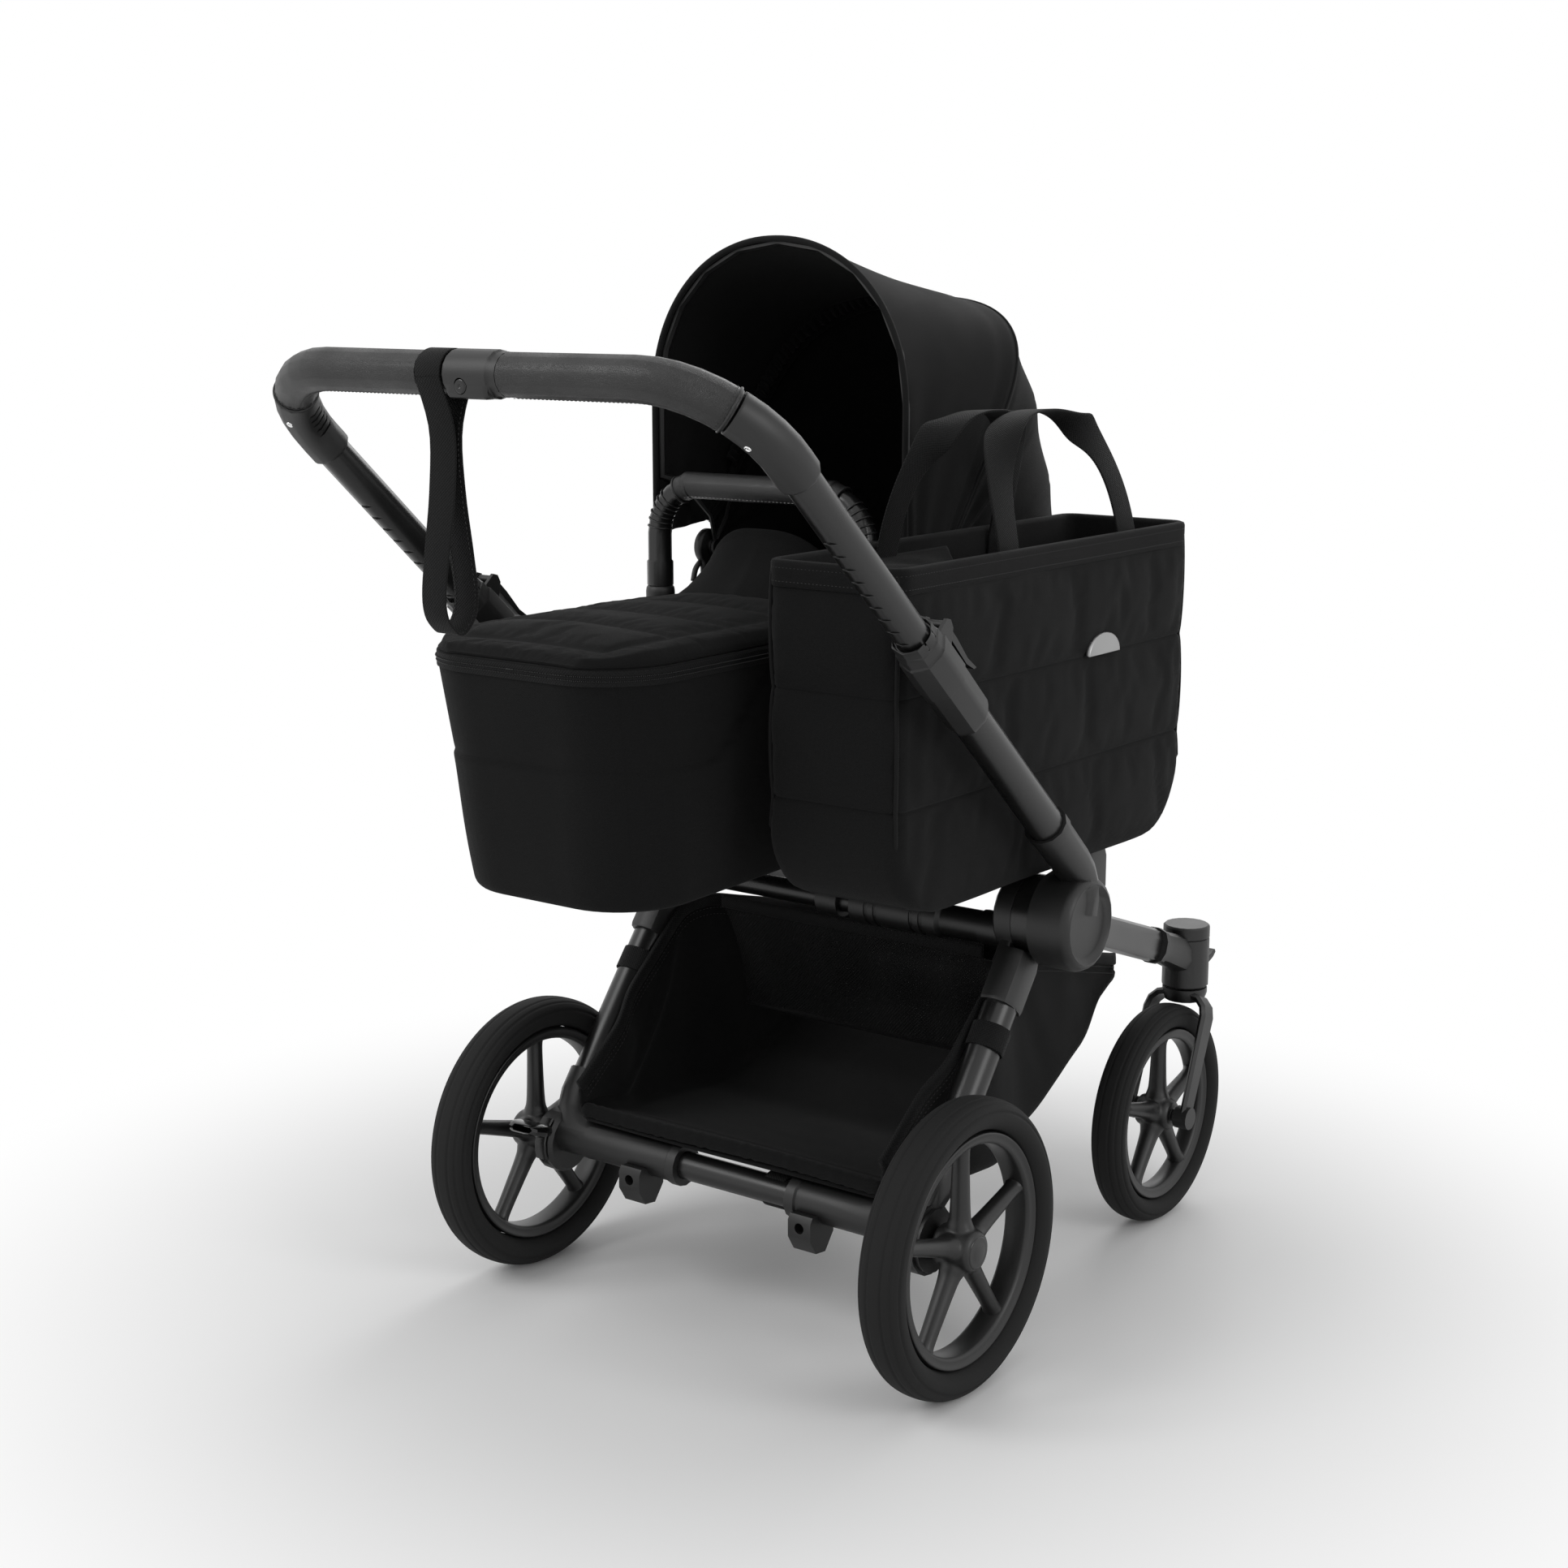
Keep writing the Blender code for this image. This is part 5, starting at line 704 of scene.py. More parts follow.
def evaluated_mesh(obj):
    """What an object's modifiers make, as a new mesh."""
    bpy.context.view_layer.update()
    graph = bpy.context.evaluated_depsgraph_get()
    return bpy.data.meshes.new_from_object(obj.evaluated_get(graph))


def plain(obj):
    """Keeps what a piece's modifiers make as its own mesh."""
    mesh = evaluated_mesh(obj)
    obj.modifiers.clear()
    obj.data = mesh
    return obj


def run_tree(name, tree, body, path=None, **inputs):
    """Runs a Geometry Nodes tree on a path, or on an empty mesh, and keeps what it makes as a piece."""
    mesh = bpy.data.meshes.new(name + "_carrier")
    if path:
        steps = [(i, i + 1) for i in range(len(path) - 1)]
        mesh.from_pydata([(x, y + AXLE_Y, z) for x, y, z in path], steps, [])
    carrier = new_object(name + "_carrier", mesh)
    modifier = carrier.modifiers.new("tree", "NODES")
    modifier.node_group = tree
    for key, value in inputs.items():
        set_input(modifier, key.replace("_", " "), value)
    made = evaluated_mesh(carrier)
    made.name = name
    bpy.data.objects.remove(carrier)
    obj = new_object(name, made)
    if not path:
        face_out(obj)
    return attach(obj, body)


print("mesh helpers ready")

# %% [markdown]
# A foam-filled tyre is one rounded section turned about the axle, with two grooves on each
# side of the tread's middle and a line on each sidewall. That is a rule, so a Geometry
# Nodes tree makes it: a grid is bent into a ring by its own coordinates.

# %% Tyres
def make_tyre_tree():
    """Bends a grid into a tyre: x goes round the axle and y goes round the rubber's section."""
    names = ("Outer Radius", "Seat Radius", "Half Width", "Groove Depth", "Centre X", "Centre Y", "Centre Z")
    inputs = [(name, "Float") for name in names]
    inputs += [("Around", "Int"), ("Across", "Int"), ("Rubber", "Material")]
    tree, given, result = new_geometry_tree("turned_tyre", inputs)
    grid = add(
        tree, "GeometryNodeMeshGrid", Size_X=1.0, Size_Y=1.0,
        Vertices_X=given["Around"], Vertices_Y=given["Across"],
    )
    position = add(tree, "GeometryNodeInputPosition").outputs[0]
    where = add(tree, "ShaderNodeSeparateXYZ", Vector=position).outputs

    def do(operation, *values):
        return maths(tree, operation, *values)

    turn = do("MULTIPLY", where[0], 2 * pi)
    phase = do("MULTIPLY", where[1], 2 * pi)
    wall = do("SUBTRACT", given["Outer Radius"], given["Seat Radius"])
    cosine, sine = do("COSINE", phase), do("SINE", phase)

    def rounded(value, power):
        size = do("POWER", do("ABSOLUTE", value), power)
        return do("MULTIPLY", size, do("SIGN", value))

    across = do("MULTIPLY", rounded(sine, 0.80), given["Half Width"])
    half_wall = do("MULTIPLY", wall, 0.5)
    rise = do("MULTIPLY", rounded(cosine, 0.92), half_wall)
    core = do("ADD", given["Seat Radius"], half_wall)
    radius = do("ADD", core, rise)
    share = do("DIVIDE", across, given["Half Width"])
    # Three grooves on each side of the tread's middle, the last of them on the sidewall.
    depth = None
    for at, width in ((0.34, 0.035), (0.70, 0.030), (0.965, 0.016)):
        off = do("SUBTRACT", do("ABSOLUTE", share), at)
        ratio = do("DIVIDE", off, width)
        dip = do("EXPONENT", do("MULTIPLY", do("MULTIPLY", ratio, ratio), -1.0))
        depth = dip if depth is None else do("ADD", depth, dip)
    outer_half = map_range(tree, rise, -0.002, 0.002)
    depth = do("MULTIPLY", do("MULTIPLY", depth, given["Groove Depth"]), outer_half)
    shrink = do("SUBTRACT", 1.0, do("DIVIDE", depth, half_wall))
    radius = do("ADD", core, do("MULTIPLY", rise, shrink))
    across = do("MULTIPLY", across, shrink)
    y = do("ADD", do("MULTIPLY", radius, do("COSINE", turn)), given["Centre Y"])
    z = do("ADD", do("MULTIPLY", radius, do("SINE", turn)), given["Centre Z"])
    x = do("ADD", across, given["Centre X"])
    place = add(tree, "ShaderNodeCombineXYZ", X=x, Y=y, Z=z).outputs[0]
    bent = add(tree, "GeometryNodeSetPosition", Geometry=grid.outputs[0], Position=place)
    closed = add(tree, "GeometryNodeMergeByDistance", Geometry=bent.outputs[0], Distance=0.00005)
    smooth = add(tree, "GeometryNodeSetShadeSmooth", Geometry=closed.outputs[0])
    real = add(tree, "GeometryNodeRealizeInstances", Geometry=smooth.outputs[0])
    painted = add(tree, "GeometryNodeSetMaterial", Geometry=real.outputs[0], Material=given["Rubber"])
    tree.links.new(painted.outputs[0], result)
    return tree


tyre_tree = make_tyre_tree()
TYRE_SIZES = {"rear": (0.150, 0.118, 0.024), "front": (0.1274, 0.100, 0.020)}
for end, (outer, seat, half) in TYRE_SIZES.items():
    for side in SIDES:
        centre = middle(f"{end}_tyre_{side}")
        tyre = run_tree(
            f"{end}_soft_tyre_{side}", tyre_tree, f"{end}_wheel_{side}",
            Outer_Radius=outer, Seat_Radius=seat, Half_Width=half, Groove_Depth=0.0011,
            Centre_X=centre.x, Centre_Y=centre.y, Centre_Z=centre.z,
            Around=145, Across=97, Rubber=tyre_rubber,
        )
        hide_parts(f"{end}_tyre_{side}")
print("tyre:", len(tyre.data.polygons), "faces")

# %% [markdown]
# The rim is cast in one: a channelled ring, five round spokes and a hub. The ring is turned
# crisp. The spokes and hub are joined as overlapping solids, remeshed into one skin and
# smoothed a little, which gives the soft fillets that a casting has where parts meet.

# %% Rims
SPOKES = 5


def wheel_ring(name, centre, seat, depth, half, body):
    """The rim's outer ring, with a lip on each side and a shallow channel inside."""
    inner = seat - 0.0003 - depth
    outer = seat - 0.0003
    lip = 0.0022
    profile = [
        (outer, -half + 0.001), (outer - 0.001, -half),
        (outer - lip, -half), (outer - lip - 0.0015, -half + 0.0016),
        (inner + 0.004, -half + 0.0022), (inner + 0.0015, -half + 0.003), (inner, -half + 0.006),
        (inner - 0.0006, 0.0),
        (inner, half - 0.006), (inner + 0.0015, half - 0.003), (inner + 0.004, half - 0.0022),
        (outer - lip - 0.0015, half - 0.0016), (outer - lip, half),
        (outer - 0.001, half), (outer, half - 0.001),
        (outer, -half + 0.001),
    ]
    return turned(name, profile, centre, (1, 0, 0), rim_plastic, body, steps=112)


def wheel_star(name, centre, reach, hub_r, hub_half, outside, body):
    """Five spokes on a hub, remeshed into one casting."""
    parts = []
    hub_profile = [
        (0, -hub_half), (hub_r - 0.002, -hub_half), (hub_r, -hub_half + 0.002),
        (hub_r + 0.003, 0), (hub_r, hub_half - 0.004), (hub_r - 0.003, hub_half), (0, hub_half),
    ]
    parts.append(turned(name + "_hub", hub_profile, centre, (outside, 0, 0), rim_plastic, steps=40))
    for i in range(SPOKES):
        angle = 2 * pi * (i + 0.25) / SPOKES
        outward = Vector((0, cos(angle), sin(angle)))
        half_way = (hub_r + reach) / 2
        stops = (hub_r - 0.010, hub_r + 0.002, hub_r + 0.012, half_way, reach - 0.006, reach + 0.002)
        widths = (0.0150, 0.0140, 0.0112, 0.0098, 0.0092, 0.0120)
        path = [Vector(centre) + outward * r for r in stops]
        line = smooth_line(path, 24)
        scales = [point.x for point in smooth_line([(w, 0, 0) for w in widths], 24)]
        rod = round_section(1.0, 20, 0.90)
        parts.append(sweep(f"{name}_spoke{i}", line, rod, rim_plastic, scales=scales))
    star = join(name, parts, body)
    remesh = star.modifiers.new("casting", "REMESH")
    remesh.mode = "VOXEL"
    remesh.voxel_size = 0.0016
    remesh.use_smooth_shade = True
    relax = star.modifiers.new("fillet", "SMOOTH")
    relax.factor = 0.5
    relax.iterations = 6
    return plain(star)


def hub_cap(name, centre, radius, outside, body, material, socket=0.0):
    """A dished cap on the wheel's outer face, with a round socket where it is a bolt."""
    profile = [(0, 0.0022), (radius * 0.55, 0.0018), (radius * 0.86, 0.0006), (radius * 0.94, 0.0008),
               (radius, 0.0), (radius, -0.003), (0, -0.003)]
    if socket:
        profile = [(0, -0.0030), (socket, -0.0030), (socket, 0.0012), (radius * 0.85, 0.0012),
                   (radius, 0.0), (radius, -0.0035), (0, -0.0035)]
    return turned(name, profile, centre, (outside, 0, 0), material, body, steps=48)


RIM_DEPTH = 0.0125
RIM_SIZES = {"rear": (0.118, 0.0165, 0.021, 0.0240), "front": (0.100, 0.0135, 0.018, 0.0235)}
for end, (seat, half, hub_r, hub_half) in RIM_SIZES.items():
    for side in SIDES:
        outside = 1 if side == "right" else -1
        centre = middle(f"{end}_tyre_{side}") - Vector((0, AXLE_Y, 0))
        body = f"{end}_wheel_{side}"
        ring = wheel_ring(f"{end}_rim_ring_{side}", centre, seat, RIM_DEPTH, half, body)
        reach, hub = seat - RIM_DEPTH, hub_half - 0.0024
        star = wheel_star(f"{end}_rim_star_{side}", centre, reach, hub_r, hub, outside, body)
        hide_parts(f"{end}_rim_{side}")
        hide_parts(f"{end}_rim_{side}")
        face = centre + Vector((outside * (hub_half - 0.0026), 0, 0))
        if end == "rear":
            hub_cap(f"rear_hub_cap_{side}", face, 0.0165, outside, body, gloss_plastic)
        else:
            hub_cap(f"front_axle_bolt_{side}", face, 0.0085, outside, body, black_paint, socket=0.0040)
print("rim star:", len(star.data.polygons), "faces; ring:", len(ring.data.polygons), "faces")

# %% [markdown]
# Sewn shells share three tools. An outline walks round a plan of rounded corners with the
# same number of points at every height, so rings match up. A groove is a dip of the surface
# along a seam. And cloth under a little air pressure, held along its seams, swells the way
# padded fabric does: it is run here for twenty frames, capped, and kept as plain points.

# %% Sewing tools
def rounded_outline(corners, bend, runs):
    """Points round a plan. Each corner is (x, y, radius, first angle); runs split the straights."""
    arcs = []
    for x, y, radius, first in corners:
        angles = [radians(first + 90 * i / bend) for i in range(bend + 1)]
        arcs.append([(x + radius * cos(angle), y + radius * sin(angle)) for angle in angles])
    points = []
    for i, arc in enumerate(arcs):
        points += arc
        start, end = Vector(arc[-1]), Vector(arcs[(i + 1) % len(arcs)][0])
        points += [tuple(start.lerp(end, k / runs[i])) for k in range(1, runs[i])]
    return points


def outward(ring):
    """The outward normal in plan at each point of a ring that runs anticlockwise."""
    count = len(ring)
    result = []
    for i in range(count):
        step = Vector(ring[(i + 1) % count][:2]) - Vector(ring[i - 1][:2])
        result.append(Vector((step.y, -step.x)).normalized())
    return result


def dip(distance, width):
    """1 on a seam, falling smoothly to 0 a few widths away from it."""
    return exp(-((distance / width) ** 2))


def ease(value):
    """A smooth step: 0 up to 0, 1 from 1 on."""
    value = min(max(value, 0.0), 1.0)
    return value * value * (3 - 2 * value)


def hump(share):
    """0 at both ends of a run and 1 in its middle."""
    return sin(share * pi)


def ring_at(outline, z, climb=None):
    """A plan outline as points at a height, raised by what climb gives for each point's y."""
    return [Vector((x, y, z + climb(y) if climb else z)) for x, y in outline]


PUFF_FRAMES = 20
CLOTH_STIFFNESS = 12.0


def puff(obj, held, pressure, cap, shrink):
    """Swells a sewn piece with cloth under pressure. held is each point's pin weight from 0 to 1."""
    scene = bpy.context.scene
    count = len(obj.data.vertices)
    rest = np.zeros(count * 3, np.float32)
    obj.data.vertices.foreach_get("co", rest)
    group = obj.vertex_groups.new(name="held")
    for index, weight in enumerate(held):
        group.add([index], float(weight), "REPLACE")
    modifier = obj.modifiers.new("air", "CLOTH")
    cloth = modifier.settings
    cloth.quality = 5
    cloth.mass = 0.2
    cloth.tension_stiffness = CLOTH_STIFFNESS
    cloth.compression_stiffness = CLOTH_STIFFNESS
    cloth.shear_stiffness = CLOTH_STIFFNESS * 0.5
    cloth.bending_stiffness = 0.35
    cloth.air_damping = 3.0
    cloth.use_pressure = True
    cloth.uniform_pressure_force = pressure
    cloth.shrink_min = shrink
    cloth.vertex_group_mass = "held"
    cloth.effector_weights.gravity = 0.0
    modifier.collision_settings.use_collision = False
    modifier.point_cache.frame_start = 1
    modifier.point_cache.frame_end = PUFF_FRAMES
    for number in range(1, PUFF_FRAMES + 1):
        scene.frame_set(number)
    graph = bpy.context.evaluated_depsgraph_get()
    swollen = obj.evaluated_get(graph).data
    after = np.zeros(count * 3, np.float32)
    swollen.vertices.foreach_get("co", after)
    move = (after - rest).reshape(-1, 3)
    length = np.linalg.norm(move, axis=1, keepdims=True)
    move *= np.minimum(1.0, cap / np.maximum(length, 1e-9))
    obj.modifiers.clear()
    obj.vertex_groups.clear()
    obj.data.vertices.foreach_set("co", (rest.reshape(-1, 3) + move).ravel())
    obj.data.update()
    scene.frame_set(1)
    print(f"{obj.name} swelled by up to {1000 * float(np.linalg.norm(move, axis=1).max()):.1f} mm")
    return obj


print("sewing tools ready")

# %% [markdown]
# The carrycot is a fabric box on a frame. Its wall is two panels: the lower one laps over
# the upper along a seam that runs level round the foot and then climbs each side to the rim.
# Its middle is read off the carried node, so the cloth stays where the exact solid is.

# %% Cot: sizes
cot_low, cot_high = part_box("cot_tub")
COT_X = (cot_low.x + cot_high.x) / 2
COT_HALF_W = 0.140
COT_FOOT, COT_HEAD = -0.225, 0.620
COT_FOOT_CORNER, COT_HEAD_CORNER = 0.080, 0.120
COT_RIM_Z, COT_BOTTOM_Z, COT_RISE = 0.722, 0.478, 0.022
COT_WALL = 0.009
POST_X, POST_Y, POST_R = 0.138, 0.170, 0.013
PIVOT_Y, PIVOT_Z = 0.257, 0.780
COT_SEAM_LOW, COT_SEAM_HIGH, COT_SEAM_CLIMB = 0.618, 0.706, 0.088
COT_RUNS = (14, 52, 14, 52)
print("cot centre x", round(COT_X, 4))


# %% Cot: the outline and the seam
def cot_outline(z, inset=0.0):
    """The cot's plan at a height: square-shouldered at the foot, rounder at the head."""
    fall = max(0.0, (COT_RIM_Z - z) / (COT_RIM_Z - COT_BOTTOM_Z))
    half = COT_HALF_W - 0.012 * fall - inset
    foot = COT_FOOT + 0.035 * fall + inset
    head = COT_HEAD - 0.045 * fall - inset
    head_r, foot_r = max(COT_HEAD_CORNER - inset, 0.02), max(COT_FOOT_CORNER - inset, 0.02)
    right, left = COT_X + half, COT_X - half
    corners = (
        (right - head_r, head - head_r, head_r, 0), (left + head_r, head - head_r, head_r, 90),
        (left + foot_r, foot + foot_r, foot_r, 180), (right - foot_r, foot + foot_r, foot_r, 270),
    )
    return rounded_outline(corners, 12, COT_RUNS)


def cot_floor(y):
    """How far the sloping underside has climbed above its foot."""
    return COT_RISE * (y - COT_FOOT) / (COT_HEAD - COT_FOOT)


def cot_seam(y):
    """The height of the seam between the cot's two wall panels."""
    climb = (y + 0.095) / 0.125
    return COT_SEAM_LOW + COT_SEAM_CLIMB * ease(climb) if climb < 1 else COT_SEAM_HIGH


def cot_wall(t, inset=0.0, lap=True):
    """One ring of the wall, t from 0 at the bottom to 1 at the rim."""
    z = COT_BOTTOM_Z + t * (COT_RIM_Z - COT_BOTTOM_Z)
    ring = cot_outline(z, inset)
    points = []
    for (x, y), out in zip(ring, outward(ring)):
        height = z + cot_floor(y) * (1 - ease(t / 0.55))
        push = 0.0
        if lap:
            below = cot_seam(y) - height
            push = 0.0016 * exp(-below / 0.030) if below > 0 else -0.0008 * exp(below / 0.016)
            push -= 0.0013 * dip(below, 0.0022)
            push += 0.0014 * sin(pi * min(t / 0.55, 1.0))
            push += 0.0007 * sin(y * 23 + 5 * t) * hump(t)
            push += 0.0009 * sin(x * 31 - 3 * t + 1) * hump(t)
        points.append(Vector((x + out.x * push, y + out.y * push, height)))
    return points


def make_cot_tub():
    """Wall, rolled bottom edge, rim and lining in one closed shell."""
    rings = []
    for rise, inset in ((0.0004, 0.045), (0.0002, 0.012), (0.0006, 0.003), (0.0030, 0.0006)):
        rings.append(ring_at(cot_outline(COT_BOTTOM_Z, inset), COT_BOTTOM_Z + rise, cot_floor))
    seam_at = (COT_SEAM_LOW - COT_BOTTOM_Z) / (COT_RIM_Z - COT_BOTTOM_Z)
    steps = [round(0.03 + 0.94 * i / 54, 4) for i in range(55)] + [seam_at - 0.01, seam_at + 0.01]
    rings += [cot_wall(t) for t in sorted(set(steps))]
    for drop, inset in ((0.0006, 0.0012), (0.0, 0.0035), (0.0004, COT_WALL - 0.001)):
        rings.append(ring_at(cot_outline(COT_RIM_Z, inset), COT_RIM_Z - drop))
    rings += [cot_wall(1 - 0.02 - 0.88 * i / 12, COT_WALL, lap=False) for i in range(13)]
    floor = COT_BOTTOM_Z + 0.012
    for inset in (COT_WALL + 0.006, COT_WALL + 0.030):
        rings.append(ring_at(cot_outline(floor, inset), floor, cot_floor))
    return skin("cot_fabric_tub", rings, canvas, "cot", around=True, caps=True)


cot_tub = make_cot_tub()
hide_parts("cot_tub")
print("cot tub:", len(cot_tub.data.polygons), "faces")


# %% Cot: mattress
def make_mattress():
    """A thin crowned mattress whose sides are drawn in at a piped waist."""
    base = COT_BOTTOM_Z + 0.0130
    levels = (
        (0.030, 0.000), (0.014, 0.0004), (0.007, 0.003), (0.0035, 0.008), (0.0030, 0.014), (0.0062, 0.0175),
        (0.0062, 0.019), (0.0030, 0.022), (0.0038, 0.029), (0.0085, 0.036), (0.018, 0.041), (0.035, 0.0445),
        (0.060, 0.0462), (0.085, 0.0470),
    )
    rings = []
    for inset, rise in levels:
        rings.append(ring_at(cot_outline(base, COT_WALL + 0.003 + inset), base + rise, cot_floor))
    return skin("mattress_cushion", rings, lining, "cot", around=True, caps=True)


mattress = make_mattress()
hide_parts("mattress")
print("mattress:", len(mattress.data.polygons), "faces")

# %% [markdown]
# The apron is a padded cover that zips to the rim. Sewn channels cross it and one follows
# its edge, so it is drawn as two skins of one grid, held together along the channels, and
# swelled with cloth between them.

# %% Cot: the padded apron
APRON_START, APRON_END = COT_FOOT + 0.004, 0.158
APRON_ROWS, APRON_COLUMNS = 84, 60
CHANNEL_PITCH = 0.088
EDGE_CHANNEL = 0.034


def cot_half_width(y):
    """Half the cot's width at its rim, rounded off towards the foot."""
    from_foot = y - COT_FOOT
    if from_foot >= COT_FOOT_CORNER:
        return COT_HALF_W
    reach = COT_FOOT_CORNER - from_foot
    return COT_HALF_W - COT_FOOT_CORNER + sqrt(max(COT_FOOT_CORNER**2 - reach**2, 0))


def apron_half(y):
    """The apron's half width, narrowed where the handle's posts stand."""
    half = cot_half_width(y) - 0.0030
    beside_post = POST_X - POST_R - 0.010
    return half + (min(half, beside_post) - half) * ease((y - POST_Y + 0.060) / 0.030)


def apron_point(i, j, top):
    """A point of the apron, i along and j across, with how near it is to a seam and its edge's share."""
    v, u = i / (APRON_ROWS - 1), -1 + 2 * j / (APRON_COLUMNS - 1)
    y = APRON_START + (APRON_END - APRON_START) * (v**1.5)
    half = apron_half(y)
    from_side = half * (1 - abs(u))
    from_edge = min(from_side, y - COT_FOOT - 0.002)
    crown = (1 - u * u) ** 0.5 * ease((y - COT_FOOT) / 0.07)
    lift = 0.0055 + 0.0145 * crown
    to_channel = abs((y - COT_FOOT - EDGE_CHANNEL) / CHANNEL_PITCH % 1 - 0.5) * CHANNEL_PITCH
    to_channel = CHANNEL_PITCH / 2 - to_channel
    seam = dip(from_edge - EDGE_CHANNEL, 0.0045)
    if from_edge > EDGE_CHANNEL:
        seam = max(seam, dip(to_channel, 0.0045))
    edge = ease(from_edge / 0.010)
    height = lift * (0.25 + 0.75 * edge) + 0.0028 * (1 - seam) * edge
    if top:
        return Vector((COT_X + half * u, y, COT_RIM_Z + 0.0006 + height)), seam, edge
    z = COT_RIM_Z + 0.0004 + max(0.0, height - 0.0075) * edge
    return Vector((COT_X + (half - 0.0015) * u, y, z)), 1.0, edge


def make_apron():
    rings, held = [], []
    for i in range(APRON_ROWS):
        ring = []
        for j in range(APRON_COLUMNS):
            point, seam, edge = apron_point(i, j, True)
            ring.append(point)
            last_rows = ease((i - APRON_ROWS + 5) / 4)
            held.append(max(ease(seam * 1.4), 1 - edge, last_rows))
        for j in reversed(range(APRON_COLUMNS)):
            point, _, _ = apron_point(i, j, False)
            ring.append(point)
            held.append(1.0)
        rings.append(ring)
    apron = skin("apron_pad", rings, canvas, None, around=True, caps=True)
    puff(apron, held, pressure=3.0, cap=0.0042, shrink=-0.010)
    return apron


apron = make_apron()
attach(apron, "cot")
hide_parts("apron")
print("apron:", len(apron.data.polygons), "faces")


# %% Cot: the wind flap
def make_wind_flap():
    """The end of the apron that stands up against the wind, with a bound edge."""
    columns, rows = 49, 22
    front, back = [], []
    for i in range(rows):
        v = i / (rows - 1)
        ring_front, ring_back = [], []
        for j in range(columns):
            u = -1 + 2 * j / (columns - 1)
            arch = max(0.0, 1 - abs(u) ** 3.0)
            foot_z = COT_RIM_Z + 0.0065 + 0.0125 * (1 - u * u) ** 0.5
            foot = Vector((COT_X + 0.112 * u, 0.118 + 0.030 * abs(u), foot_z))
            peak_z = COT_RIM_Z + 0.016 + 0.078 * arch
            peak = Vector((COT_X + 0.106 * u, 0.176 + 0.034 * abs(u) ** 2, peak_z))
            point = foot.lerp(peak, v)
            point.y += 0.010 * hump(v) * (1 - u * u) - 0.0018 * dip(v - 0.36, 0.03)
            point.z -= 0.0020 * dip(v - 0.36, 0.03)
            hem = 1.0 if v > 0.90 else 0.0
            thick = 0.0032 * sin(pi * min(max(v, 0.06), 0.94)) ** 0.4 + 0.0012 * hem
            fold = 0.0012 * sin(9 * u + 2) * hump(v)
            ring_front.append(point + Vector((0, -thick + fold, thick * 0.5)))
            ring_back.append(point + Vector((0, thick + fold, -thick * 0.5)))
        front.append(ring_front)
        back.append(ring_back)
    rings = [f + b[::-1] for f, b in zip(front, back)]
    return skin("wind_flap", rings, canvas, "cot", around=True, caps=True)


wind_flap = subdivide(make_wind_flap())
print("wind flap:", len(wind_flap.data.polygons), "faces")


# %% Cot: the sockets of the carry handle and the clamps of the canopy
def make_post_socket(side, x):
    """The moulded socket that the carry handle's post plugs into."""
    bore = 0.0109
    profile = [
        (0, 0.590), (0.010, 0.5905), (0.0138, 0.596), (0.0140, 0.700), (0.0150, 0.7035), (0.0150, 0.712),
        (0.0138, 0.7136), (0.0138, 0.7152), (0.0158, 0.7168), (0.0160, 0.7385), (0.0154, 0.7424),
        (0.0140, 0.7446), (bore + 0.0008, 0.7446), (bore, 0.7436), (bore, 0.606), (0, 0.604),
    ]
    return turned(f"post_socket_{side}", profile, (x, POST_Y, 0), (0, 0, 1), black_plastic, "cot", 40)


def make_canopy_clamp(side, x, out):
    """The ringed disc that the canopy's hoops turn on, and the bracket that holds it."""
    profile = [
        (0, -0.0058), (0.0185, -0.0058), (0.0200, -0.0044), (0.0200, 0.0036), (0.0186, 0.0052),
        (0.0160, 0.0056), (0.0155, 0.0046), (0.0140, 0.0046), (0.0135, 0.0056), (0.0095, 0.0060),
        (0.0090, 0.0050), (0.0075, 0.0050), (0.0070, 0.0058), (0, 0.0060),
    ]
    pivot = (x, PIVOT_Y, PIVOT_Z)
    disc = turned(f"clamp_disc_{side}", profile, pivot, (out, 0, 0), black_plastic, steps=48)
    pin_profile = [(0, 0.0), (0.0034, 0.0), (0.0034, 0.0158), (0.0028, 0.0164), (0, 0.0164)]
    pin = turned(f"clamp_pin_{side}", pin_profile, pivot, (-out, 0, 0), black_plastic, steps=24)
    path = [
        (x, PIVOT_Y + 0.002, COT_RIM_Z - 0.028), (x, PIVOT_Y + 0.001, 0.745), (x, PIVOT_Y, PIVOT_Z - 0.006),
    ]
    corners = ((1, -0.8), (1, 0.8), (0.8, 1), (-0.8, 1), (-1, 0.8), (-1, -0.8), (-0.8, -1), (0.8, -1))
    section = [(0.0038 * a, 0.0108 * b) for a, b in corners]
    stem = sweep(f"clamp_stem_{side}", smooth_line(path, 12), section, black_plastic)
    lever_path = [
        (x + out * off, PIVOT_Y - back, PIVOT_Z - drop)
        for off, back, drop in ((0.004, 0.004, 0.014), (0.0048, 0.016, 0.024), (0.0048, 0.021, 0.038))
    ]
    lever_line = smooth_line(lever_path, 14)
    lever = sweep(f"clamp_catch_{side}", lever_line, round_section(0.0032, 12), black_plastic)
    return join(f"canopy_clamp_{side}", [disc, pin, stem, lever], "cot")


for side, sign in (("left", -1), ("right", 1)):
    socket = make_post_socket(side, COT_X + sign * POST_X)
    clamp = make_canopy_clamp(side, COT_X + sign * COT_HALF_W, sign)
    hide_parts("cot_tub")
    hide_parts("cot_tub")
print("sockets and clamps made")

# %% [markdown]
# The canopy is cloth over two hoops that turn on one pivot. Every cross-section is an arch
# with straight legs and a rounded top, so the whole surface is a smooth walk through a few
# such arches, from the front hoop over the second one and down round the head of the cot.
# Two sheets meet on the second hoop.

